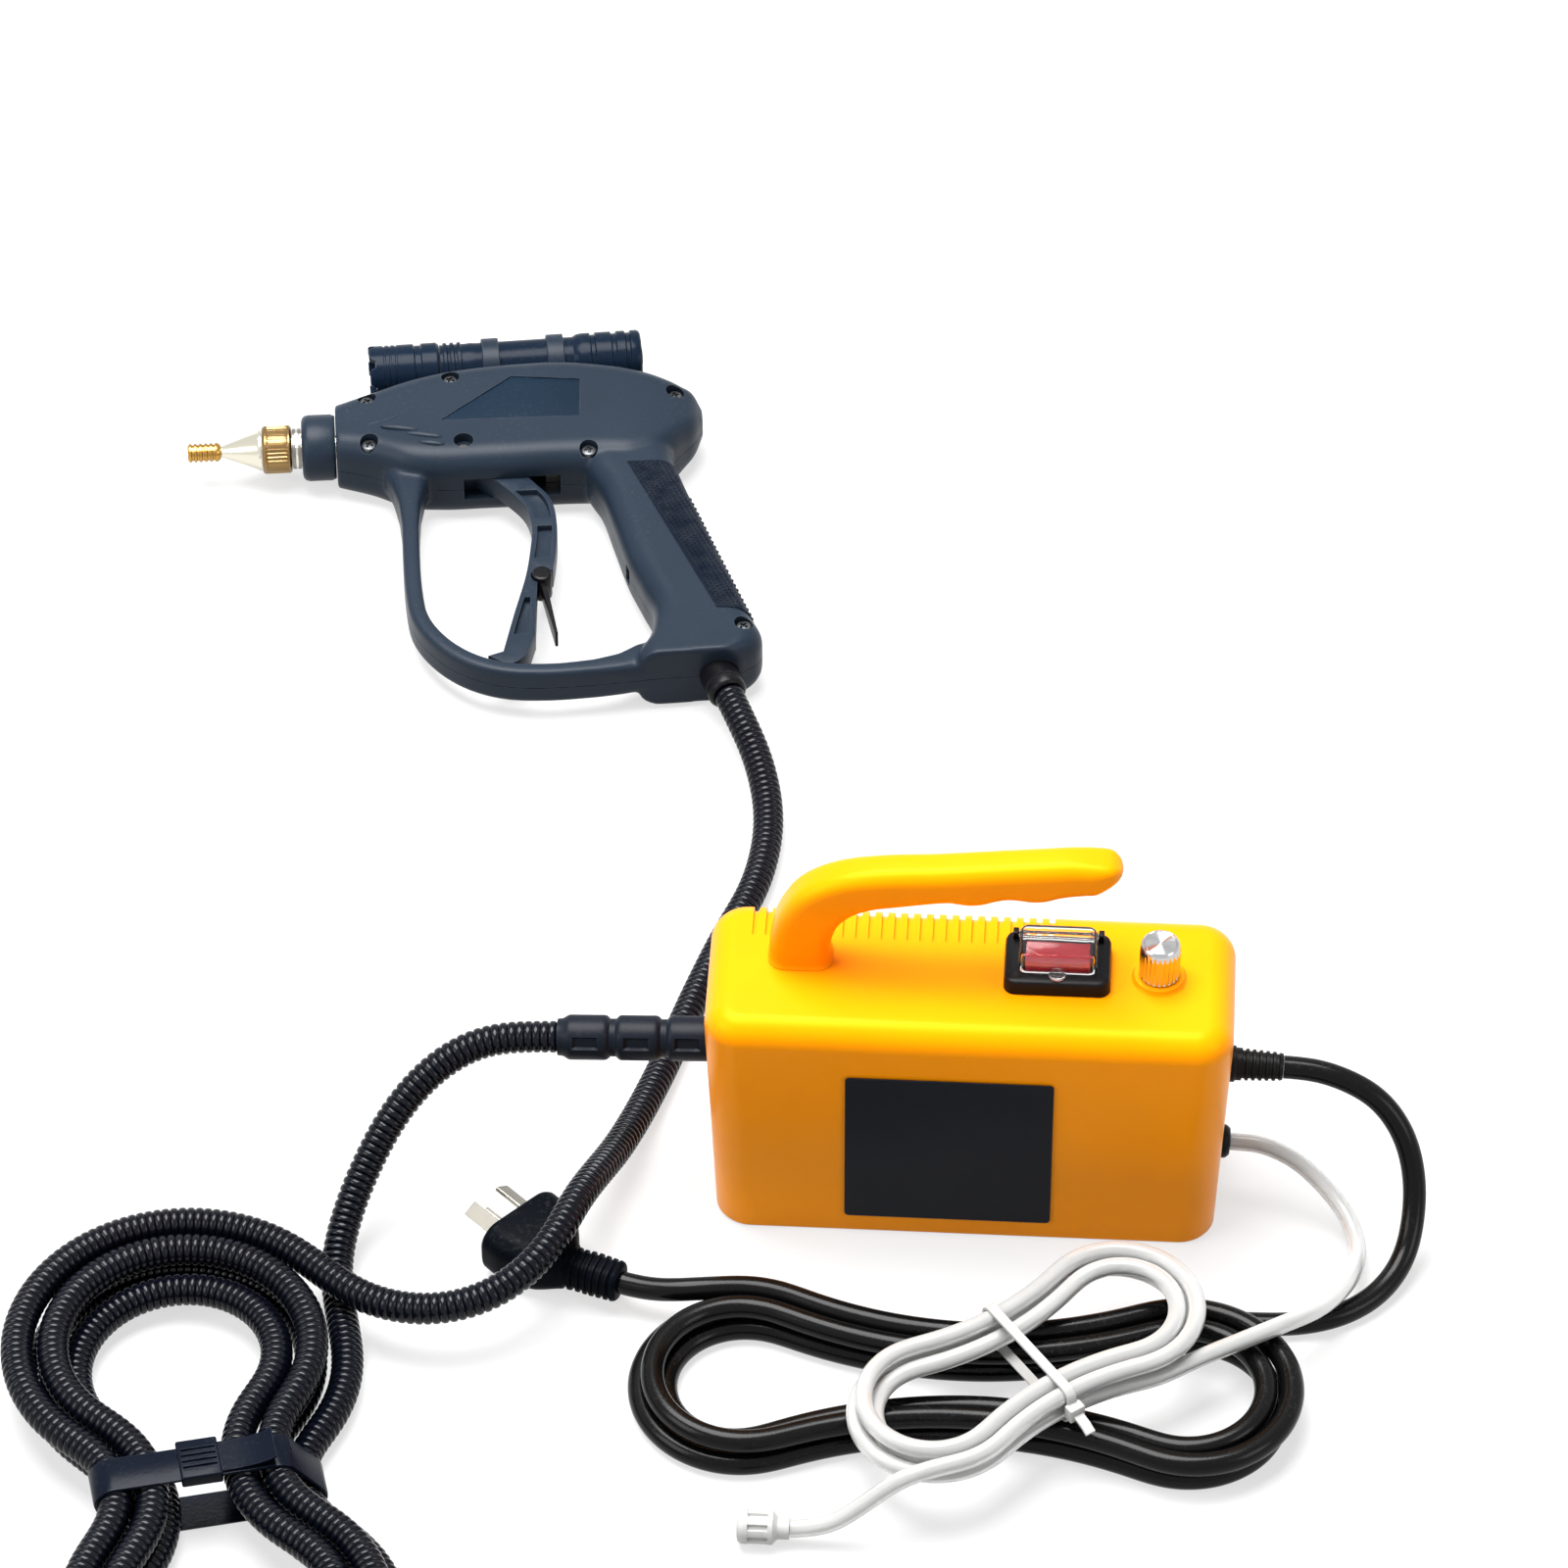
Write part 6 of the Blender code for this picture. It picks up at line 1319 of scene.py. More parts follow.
@dataclass
class GunHousing:
    """The two moulded shells of the gun with their screws, panel, rubber pad and ridges."""

    rounding: float = 0.62
    grip_half: float = 0.015
    guard_half: float = 0.0085
    guard_width: float = 0.0072
    voxel: float = 0.0009
    seam: float = 0.0003
    head_x: tuple[float, ...] = (-0.0535, -0.038, -0.024, -0.010, 0.008, 0.026, 0.042, 0.058, 0.072, 0.084,
                                 0.093, 0.099, 0.1018)
    head_top: tuple[float, ...] = (0.0335, 0.0392, 0.0448, 0.0492, 0.0522, 0.0535, 0.0536, 0.0512, 0.0475,
                                   0.0427, 0.0376, 0.0334, 0.0270)
    head_bottom: tuple[float, ...] = (0.0030, -0.0025, -0.0100, -0.0122, -0.0123, -0.0122, -0.0120, -0.0125,
                                      -0.0125, -0.0060, 0.0045, 0.0125, 0.0195)
    head_halves: tuple[float, ...] = (0.0145, 0.0160, 0.017, 0.017, 0.017, 0.017, 0.017, 0.017, 0.0168,
                                      0.0155, 0.013, 0.009, 0.005)
    grip_front: tuple[Pair, ...] = (
        (0.048, -0.004), (0.052, -0.016), (0.0561, -0.0258), (0.0605, -0.0470), (0.0652, -0.0701),
        (0.0700, -0.0860), (0.0742, -0.1010), (0.0720, -0.1160), (0.0660, -0.1280), (0.0660, -0.1340))
    grip_rear: tuple[Pair, ...] = (
        (0.090, 0.010), (0.0875, -0.006), (0.0910, -0.0250), (0.0970, -0.0470), (0.1035, -0.0705),
        (0.1090, -0.0900), (0.1145, -0.1090), (0.1180, -0.1205), (0.1160, -0.1270), (0.1085, -0.1325))
    guard_line: tuple[Pair, ...] = (
        (-0.0235, -0.006), (-0.0238, -0.030), (-0.0238, -0.080), (-0.0215, -0.098), (-0.0140, -0.1125),
        (-0.0030, -0.1235), (0.0100, -0.1300), (0.0270, -0.1325), (0.0640, -0.1310), (0.0800, -0.1290))
    panel: tuple[Pair, ...] = ((0.0216, 0.0393), (0.0506, 0.0357), (0.0494, 0.0124), (-0.0091, 0.0133))
    pad: tuple[Pair, ...] = ((0.0680, -0.0160), (0.1000, -0.0160), (0.1140, -0.0700), (0.1260, -0.1100),
                             (0.1000, -0.1080))
    pad_proud: float = 0.0004
    check_pitch: float = 0.0026
    check_height: float = 0.0007
    screws: tuple[Point, ...] = (
        (-0.0397, 0.0311, 0.0155), (-0.0041, 0.0409, 0.017), (0.0905, 0.0285, 0.0138),
        (-0.0396, 0.0039, 0.0155), (0.0523, -0.0071, 0.017), (0.1104, -0.1176, 0.015))
    screw_recess: float = 0.0042
    recess_radius: float = 0.0039
    slot: tuple[Pair, ...] = ((-0.009, -0.003), (-0.009, 0.009), (0.024, 0.009), (0.033, 0.006),
                              (0.040, -0.004), (0.040, -0.020), (0.006, -0.020))
    slot_half: float = 0.0056
    ridges: tuple[tuple[float, float, float], ...] = (
        (-0.0265, 0.0095, 0.0085), (-0.0165, 0.0045, 0.0085), (-0.0135, -0.0008, 0.0060))
    ridge_lean: float = -13.0

    def grip(self, trim: float) -> Shape:
        """Skin the grip.

        Args:
            trim: how far its sides and rear edge are drawn in.

        Returns:
            The grip.
        """
        front = flat_curve(self.grip_front, 90)
        rear = flat_curve(self.grip_rear, 90)
        ways = rear - front
        ways /= np.linalg.norm(ways, axis=1)[:, None]
        return pair_loft(front, rear - ways * trim, np.full(90, self.grip_half - trim), self.rounding)

    def body(self) -> Shape:
        """Blend head, grip and guard where they meet.

        Returns:
            The outer form.
        """
        at = np.linspace(self.head_x[0], self.head_x[-1], 120)
        low = np.column_stack([at, eased(self.head_x, self.head_bottom, at)])
        high = np.column_stack([at, eased(self.head_x, self.head_top, at)])
        head = pair_loft(low, high, eased(self.head_x, self.head_halves, at), self.rounding)
        line = flat_curve(self.guard_line, 120)
        shares = np.linspace(0.0, 1.0, 120)
        flare = np.interp(shares, (0.0, 0.045, 0.10, 0.17, 1.0), (2.9, 1.9, 1.25, 1.0, 1.0))
        inner = np.interp(shares, (0.0, 0.78, 0.85, 0.90, 0.94, 1.0), (1.0, 1.0, 1.3, 2.0, 3.4, 4.0))
        near = beside(line, flare * inner * self.guard_width / 2.0)[0]
        guard = pair_loft(near, beside(line, flare * self.guard_width / 2.0)[1],
                          np.full(120, self.guard_half), self.rounding)
        whole = fused(head, self.grip(0.0), guard)
        remesh = ("REMESH", {"mode": "VOXEL", "voxel_size": self.voxel, "use_smooth_shade": True})
        return worked(whole, remesh, ("SMOOTH", {"factor": 0.5, "iterations": 7}))

    def cutters(self) -> tuple[Shape, Shape]:
        """Make the cutters.

        Returns:
            What opens to the outside, and the pockets inside.
        """
        tools = [prism(self.slot, -self.slot_half, self.slot_half), prism(self.panel, 0.0162, 0.025)]
        tools.append(rod(0.0042, (0.0, 0.0, 0.0125), (0.0, 0.0, 0.025), 40))
        for x, y, half in self.screws:
            tools.append(rod(self.recess_radius, (x, y, half - self.screw_recess), (x, y, 0.030), 40))
        notch = ((0.054, -0.0675), (0.0686, -0.0675), (0.0686, -0.0722), (0.054, -0.0722))
        tools.append(prism(notch, -0.0043, 0.0043))
        tools.append(rod(0.0053, (-0.0575, 0.0182, 0.0), (0.030, 0.0182, 0.0), 24))
        way = Vector((math.cos(math.radians(-75.0)), math.sin(math.radians(-75.0)), 0.0))
        profile = ((0.0055, -0.014), (0.0055, -0.004), (0.0083, -0.004), (0.0083, 0.020))
        tools.append(turned(profile, 32).moved(aimed((0.100, -0.1355, 0.0), way)))
        inner = [block((0.0337, -0.0043, -0.0083), (0.0743, 0.0273, 0.0083)),
                 rod(0.0026, (0.0, 0.0, -0.0128), (0.0, 0.0, 0.0130), 20)]
        return gathered(tools), gathered(inner)

    def half_shell(self, body: Shape, side: float) -> Shape:
        """Cut the body flat at the seam.

        Args:
            body: the whole body.
            side: the half to keep.

        Returns:
            One half.
        """
        made = opened(body)
        everything = list(made.verts) + list(made.edges) + list(made.faces)
        split = bmesh.ops.bisect_plane(made, geom=everything, plane_co=(0.0, 0.0, side * self.seam / 2.0),
                                       plane_no=(0.0, 0.0, -side), clear_outer=True)
        edges = [item for item in split["geom_cut"] if isinstance(item, bmesh.types.BMEdge)]
        bmesh.ops.triangle_fill(made, edges=edges, use_beauty=True, normal=(0.0, 0.0, -side))
        faces = taken_faces(made)
        points = np.array([tuple(corner.co) for corner in made.verts])
        made.free()
        return Shape(points, faces)

    def build_shells(self, axes: Matrix) -> None:
        """Build the two shells.

        Args:
            axes: the gun's frame.
        """
        outside, inside = self.cutters()
        body = cut(self.body(), outside, inside)
        for name, side in (("left", 1.0), ("right", -1.0)):
            place(self.half_shell(body, side).moved(axes), f"gun_{name}_housing", NAVY,
                  replaces=(f"gun_{name}_shell",), sharp=50.0)

    def build_panel(self, axes: Matrix) -> None:
        """Build the darker bare panel in its recess on the head.

        Args:
            axes: the gun's frame.
        """
        outline = np.array(self.panel)
        outline = outline + (outline.mean(axis=0) - outline) * 0.012
        shape = prism([tuple(point) for point in outline], 0.0158, 0.0167)
        edge = ("BEVEL", {"width": 0.0002, "segments": 2})
        place(worked(shape, edge).moved(axes), "gun_panel", PANEL)

    def build_screws(self, axes: Matrix) -> None:
        """Build the six cross-head screws.

        Args:
            axes: the gun's frame.
        """
        for index, (x, y, half) in enumerate(self.screws):
            seat = Matrix.Translation((x, y, half - self.screw_recess + GAP))
            turn = Matrix.Rotation(0.5 + 0.7 * index, 4, "Z")
            head = cross_screw(0.0032, 0.0020)
            shank = turned(((0.0014, -0.0195), (0.0014, 0.0004)), 16)
            place(head.joined(shank).moved(axes @ seat @ turn), f"gun_cross_screw_{index + 1}", DARK_STEEL,
                  replaces=(f"gun_screw_{index + 1}",))

    def inside_pad(self, x: float, y: float, margin: float) -> bool:
        """Test a place against the pad's outline.

        Args:
            x: the place along the gun.
            y: the place up the gun.
            margin: the distance to keep.

        Returns:
            Whether it lies inside by the margin.
        """
        count = len(self.pad)
        for index in range(count):
            first = Vector(self.pad[index])
            second = Vector(self.pad[(index + 1) % count])
            way = (second - first).normalized()
            if way.x * (y - first.y) - way.y * (x - first.x) > -margin:
                return False
        return True

    def build_pad(self, axes: Matrix) -> None:
        """Build the rubber pad with its diamond checkering.

        Args:
            axes: the gun's frame.
        """
        skin = self.grip(-self.pad_proud)
        core = self.grip(self.pad_proud * 2.0)
        plate = prism(self.pad, -0.019, 0.019)
        base = cut(combined("INTERSECT", plate, (skin,)), core)
        test = bare_object(outward(skin))
        bpy.context.view_layer.update()
        points: list[Vector] = []
        faces: list[tuple[int, ...]] = []
        tilt = Matrix.Rotation(math.radians(-14.0), 2)
        rows = range(-40, 41)
        seen = []
        for row in rows:
            for column in rows:
                flat = tilt @ Vector(((row - column) * self.check_pitch * 0.42,
                                      (row + column) * self.check_pitch * 0.62))
                x, y = flat.x + 0.098, flat.y - 0.062
                if self.inside_pad(x, y, 0.0011):
                    seen += [(Vector((x, y, 0.03)), Vector((0.0, 0.0, -1.0))),
                             (Vector((x, y, -0.03)), Vector((0.0, 0.0, 1.0)))]
        slope = Vector((-0.968, -0.25, 0.0)).normalized()
        for row in range(-34, 35):
            for column in range(-34, 35):
                y = (row + column) * self.check_pitch * 0.62 - 0.062
                z = (row - column) * self.check_pitch * 0.42
                if -0.1085 < y < -0.018 and abs(z) < 0.0095:
                    seen.append((Vector((0.150, y, z)), slope))
        along = Vector((0.24, -0.97, 0.0)).normalized()
        for origin, way in seen:
            hit, spot, normal, _ = test.ray_cast(origin, way)
            if not hit or way.dot(normal) > -0.72 or not self.inside_pad(spot.x, spot.y, 0.0006):
                continue
            long = (along - normal * along.dot(normal)).normalized()
            wide = normal.cross(long)
            start = len(points)
            for step, size in ((long, 0.60), (wide, 0.40), (long, -0.60), (wide, -0.40)):
                points.append(spot + step * self.check_pitch * size - normal * 0.0001)
            points.append(spot + normal * self.check_height)
            points.append(spot - normal * 0.0004)
            for corner in range(4):
                after = (corner + 1) % 4
                faces.append((start + corner, start + after, start + 4))
                faces.append((start + after, start + corner, start + 5))
        discard(test)
        checks = Shape(np.array([tuple(point) for point in points]), faces)
        place(base.joined(checks).moved(axes), "grip_checkering", RUBBER, replaces=("grip_pad",),
              sharp=30.0)

    def build_ridges(self, axes: Matrix) -> None:
        """Build the slanted ridges and the crease line on the head's side.

        Args:
            axes: the gun's frame.
        """
        shapes = []
        for x, y, half in self.ridges:
            rings = []
            for share in np.linspace(-1.0, 1.0, 15):
                size = max(0.02, math.sqrt(max(0.0, 1.0 - share ** 2)))
                angles = np.linspace(0.0, 2.0 * math.pi, 14, endpoint=False)
                rings.append(np.column_stack([np.full(14, share * half), 0.0017 * size * np.cos(angles),
                                              0.0014 * size * np.sin(angles)]))
            lean = Matrix.Rotation(math.radians(self.ridge_lean), 4, "Z")
            shapes.append(loft(rings).moved(Matrix.Translation((x, y, self.surface(y))) @ lean))
        place(gathered(shapes).moved(axes), "gun_ridges", NAVY, sharp=60.0)
        crease = smooth([Vector((-0.0525, 0.0142, 0.0139)), Vector((-0.040, 0.0140, 0.0155)),
                         Vector((-0.030, 0.0160, 0.0166)), Vector((-0.0215, 0.0205, 0.0169))], 40)
        widths = [0.00035 * min(1.0, 0.2 + 6.0 * min(share, 1.0 - share))
                  for share in np.linspace(0.0, 1.0, 40)]
        place(sweep(crease, widths, 10).moved(axes), "gun_crease", NAVY, sharp=60.0)

    def surface(self, y: float) -> float:
        """Find the head's left face near its lower edge.

        Args:
            y: the place up the gun.

        Returns:
            The face's height.
        """
        drop = max(0.0, -0.0016 - y)
        radius = self.rounding * 0.017
        return 0.0168 - (radius - math.sqrt(max(0.0, radius ** 2 - drop ** 2)))

    def build(self, gun: GunPlace) -> None:
        """Build the whole housing.

        Args:
            gun: where the gun lies.
        """
        axes = gun.matrix()
        self.build_shells(axes)
        self.build_panel(axes)
        self.build_screws(axes)
        self.build_pad(axes)
        self.build_ridges(axes)


@dataclass
class GunTrigger:
    """The curved trigger with its windows and the lock on it."""

    half: float = 0.005
    window_depth: float = 0.003
    window_rim: float = 0.0022
    edge: float = 0.0005
    front: tuple[Pair, ...] = ((0.0137, -0.0138), (0.0240, -0.0289), (0.0266, -0.0420), (0.0252, -0.0580),
                               (0.0227, -0.0731), (0.0169, -0.0960), (0.0116, -0.1181))
    rear: tuple[Pair, ...] = ((0.0268, -0.0124), (0.0352, -0.0261), (0.0371, -0.0417), (0.0362, -0.0560),
                              (0.0344, -0.0683), (0.0308, -0.0855), (0.0257, -0.1060))
    foot: tuple[Pair, ...] = ((0.0205, -0.1210), (0.0143, -0.1255), (0.0052, -0.1205))
    crown: tuple[Pair, ...] = ((-0.002, 0.0060), (0.010, 0.0055), (0.022, 0.001), (0.022, -0.0095))
    throat: tuple[Pair, ...] = ((0.0045, -0.0065), (-0.003, -0.0052))
    windows: tuple[Pair, ...] = ((-0.0200, -0.0375), (-0.0425, -0.0620), (-0.0860, -0.1080))
    lock: Pair = (0.0294, -0.0729)
    lock_radius: float = 0.0042
    sweep: tuple[Pair, ...] = ((0.0, 0.0022), (0.0127, 0.0042), (0.0156, -0.017), (0.0106, -0.040),
                               (-0.0041, -0.040), (-0.0041, -0.033), (-0.0021, -0.005))
    relief_y: Pair = (-0.106, -0.078)
    relief_x: Pair = (0.0250, 0.0268)
    blade_angle: float = -82.5
    blade_length: float = 0.0344
    blade_half: float = 0.004

    def edges(self, y: float) -> Pair:
        """Find the trigger's edges.

        Args:
            y: the place up the gun.

        Returns:
            The front and the rear edge.
        """
        front = flat_curve(self.front, 60)
        rear = flat_curve(self.rear, 60)
        return (float(np.interp(-y, -front[:, 1], front[:, 0])),
                float(np.interp(-y, -rear[:, 1], rear[:, 0])))

    def form(self) -> Shape:
        """Shape the trigger.

        Returns:
            Its form.
        """
        front = [tuple(point) for point in flat_curve(self.front, 40)]
        rear = [tuple(point) for point in flat_curve(self.rear, 40)]
        foot = [tuple(point) for point in flat_curve((self.rear[-1], *self.foot), 16)][1:]
        outline = list(self.crown) + rear + foot + list(reversed(front)) + list(self.throat)
        shape = fused(prism(outline, -self.half, self.half),
                      rod(0.0065, (0.0, 0.0, -self.half), (0.0, 0.0, self.half), 40))
        pockets = []
        for high, low in self.windows:
            left, right = [], []
            for y in np.linspace(high, low, 8):
                front_x, rear_x = self.edges(y)
                if y < self.relief_y[1]:
                    rear_x = min(rear_x, float(np.interp(y, self.relief_y, self.relief_x)))
                left.append((front_x + self.window_rim, y))
                right.append((rear_x - self.window_rim, y))
            window = left + list(reversed(right))
            for levels in ((self.half - self.window_depth, 0.008), (-0.008, self.window_depth - self.half)):
                pockets.append(prism(window, *levels))
        x, y = self.lock
        room = rod(self.lock_radius + 0.0004, (x, y, -0.02), (x, y, 0.02), 40)
        swing = prism([(x + along, y + up) for along, up in self.sweep], -0.02, 0.02)
        pivot = rod(0.0026, (0.0, 0.0, -0.01), (0.0, 0.0, 0.01), 24)
        shape = cut(shape, gathered(pockets), room, swing, pivot)
        bevel = {"width": self.edge, "segments": 3, "limit_method": "ANGLE",
                 "angle_limit": math.radians(40.0)}
        return worked(shape, ("WELD", {"merge_threshold": 0.00001}), ("BEVEL", bevel))

    def lock_form(self) -> Shape:
        """Shape the lock's drum with its thin blade.

        Returns:
            Its form.
        """
        x, y = self.lock
        drum = turned(((0.0032, -0.0065), (0.0040, -0.0062), (0.0042, -0.0056), (0.0042, 0.0056),
                       (0.0040, 0.0062), (0.0032, 0.0065), (0.0029, 0.0061), (0.0010, 0.0061)), 40)
        angle = math.radians(self.blade_angle)
        way = np.array((math.cos(angle), math.sin(angle)))
        side = np.array((-way[1], way[0]))
        shares = np.linspace(0.0, 1.0, 16)
        halves = np.interp(shares, (0.0, 0.3, 1.0), (0.0014, 0.0012, 0.0006))
        line = np.array((x, y)) + np.outer(shares * self.blade_length, way)
        blade = pair_loft(line + side * halves[:, None], line - side * halves[:, None],
                          np.full(16, self.blade_half), 0.6, 4)
        return drum.moved(Matrix.Translation((x, y, 0.0))).joined(blade)

    def build(self, gun: GunPlace) -> None:
        """Build the trigger and its lock on their own bodies.

        Args:
            gun: where the gun lies.
        """
        axes = gun.matrix()
        place(self.form().moved(axes), "gun_trigger", NAVY, "trigger_body", ("trigger",), sharp=40.0)
        place(self.lock_form().moved(axes), "gun_trigger_lock", BLACK, "trigger_lock_body",
              ("trigger_lock",))


@dataclass
class GunNose:
    """The collar, neck, knurled nut and nozzle at the front of the gun, and the hose gland."""

    axis_y: float = 0.0182
    collar_back: float = -0.0538
    collar_front: float = -0.068
    collar_radius: float = 0.014
    neck_radius: float = 0.0085
    nut_back: float = -0.0723
    nut_front: float = -0.0848
    nut_radius: float = 0.0102
    cone_front: float = -0.1024
    tip_front: float = -0.1161
    tip_radius: float = 0.004
    thread_pitch: float = 0.0022
    collar_rim: tuple[Pair, ...] = ((-0.0030, 0.0), (-0.0014, 0.0004), (-0.0004, 0.0014), (0.0, 0.0030))
    collar_heel: tuple[Pair, ...] = ((0.0, -0.0018), (-0.0004, -0.0010), (-0.0005, -0.0005), (-0.0010, 0.0))
    neck_groove: tuple[Pair, ...] = (
        (-0.0010, -0.0002), (0.0, -0.0004), (0.0, -0.0016), (-0.0006, -0.0018), (-0.0006, -0.0024),
        (0.0, -0.0026))
    neck_foot: tuple[Pair, ...] = ((0.0, 0.0004), (-0.0010, 0.0002))

    def along(self, profile: Sequence[Pair], sides: int, closed: bool = False,
              shape: Callable[[float, np.ndarray], np.ndarray] | None = None) -> Shape:
        """Turn a profile about the barrel's axis.

        Args:
            profile: radius and place along the gun.
            sides: points round each ring.
            closed: join the last ring to the first.
            shape: optional radius factor.

        Returns:
            The turned shape.
        """
        return turned(profile, sides, closed, shape).moved(aimed((0.0, self.axis_y, 0.0), (1.0, 0.0, 0.0)))

    def knurl(self, height: float, angles: np.ndarray) -> np.ndarray:
        """Give the nut six soft flats and fine ridges between its plain rims.

        Args:
            height: the place along the gun.
            angles: the ring's angles.

        Returns:
            The radius factors.
        """
        flats = 1.0 - 0.030 * (1.0 - np.cos(6.0 * angles)) / 2.0
        inside = self.nut_front + 0.0021 < height < self.nut_back - 0.0017
        return flats - (0.026 * (np.cos(36.0 * angles) < 0.0) if inside else 0.0)

    def build(self, gun: GunPlace) -> None:
        """Build the nose pieces.

        Args:
            gun: where the gun lies.
        """
        axes = gun.matrix()
        back, front, big = self.collar_back, self.collar_front, self.collar_radius
        profile = [(0.0053, back), (0.0053, front), *stepped(big, front, self.collar_rim),
                   *stepped(big, back, self.collar_heel)]
        place(self.along(profile, 72, True).moved(axes), "gun_collar", NAVY, replaces=("nose_collar",))
        neck = self.neck_radius + 0.0001
        profile = [*stepped(neck, front, self.neck_groove), *stepped(neck, self.nut_back, self.neck_foot)]
        place(self.along(profile, 64).moved(axes), "gun_neck_ring", STEEL)
        start, end, size = self.nut_front, self.nut_back, self.nut_radius
        rows = [(size * 0.66, start), (size * 0.88, start), (size * 0.95, start + 0.0004),
                (size, start + 0.0012), (size, start + 0.0020), (size * 0.985, start + 0.0023)]
        rows += [(size * 0.995, value) for value in np.linspace(start + 0.0026, end - 0.0022, 5)]
        rows += [(size * 0.985, end - 0.0019), (size, end - 0.0016), (size, end - 0.0009),
                 (size * 0.95, end - 0.0003), (size * 0.90, end), (size * 0.66, end)]
        place(self.along(rows, 216, True, self.knurl).moved(axes), "gun_knurled_nut", BRASS,
              replaces=("nozzle_nut",), sharp=30.0)
        base = start - GAP
        cone = ((0.0012, base), (0.0086, base), (0.0086, base - 0.0010), (0.0080, base - 0.0017),
                (0.0023, self.cone_front + 0.0004), (0.0012, self.cone_front + 0.0004))
        cone_piece = place(self.along(cone, 64, True).moved(axes), "gun_nozzle_cone", POLISHED)
        rows = [(0.0012, self.cone_front + 0.0003), (0.0026, self.cone_front + 0.0003),
                (0.0034, self.cone_front - 0.0002)]
        spot = self.cone_front - 0.0012
        while spot > self.tip_front + 0.0022:
            rows += [(self.tip_radius, spot), (self.tip_radius, spot - self.thread_pitch * 0.42),
                     (self.tip_radius - 0.0006, spot - self.thread_pitch * 0.55),
                     (self.tip_radius - 0.0006, spot - self.thread_pitch * 0.85)]
            spot -= self.thread_pitch
        rows += [(self.tip_radius, spot), (self.tip_radius, self.tip_front + 0.0007),
                 (self.tip_radius - 0.0008, self.tip_front), (0.0012, self.tip_front)]
        tip = place(self.along(rows, 48, True).moved(axes), "gun_nozzle_tip", BRIGHT_BRASS)
        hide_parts("nozzle")
        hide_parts("nozzle")
        angle = math.radians(-75.0)
        way = (math.cos(angle), math.sin(angle), 0.0)
        profile = ((0.0034, -0.0100), (0.0052, -0.0100), (0.0052, -0.0037), (0.0080, -0.0037),
                   (0.0080, 0.0040), (0.0076, 0.0044), (0.0076, 0.0052), (0.0080, 0.0056), (0.0080, 0.0084),
                   (0.0075, 0.0094), (0.0068, 0.0100), (0.0034, 0.0100))
        gland = turned(profile, 48, True).moved(aimed((0.100, -0.1355, 0.0), way))
        place(gland.moved(axes), "gun_hose_gland", BLACK, replaces=("hose_gland",))


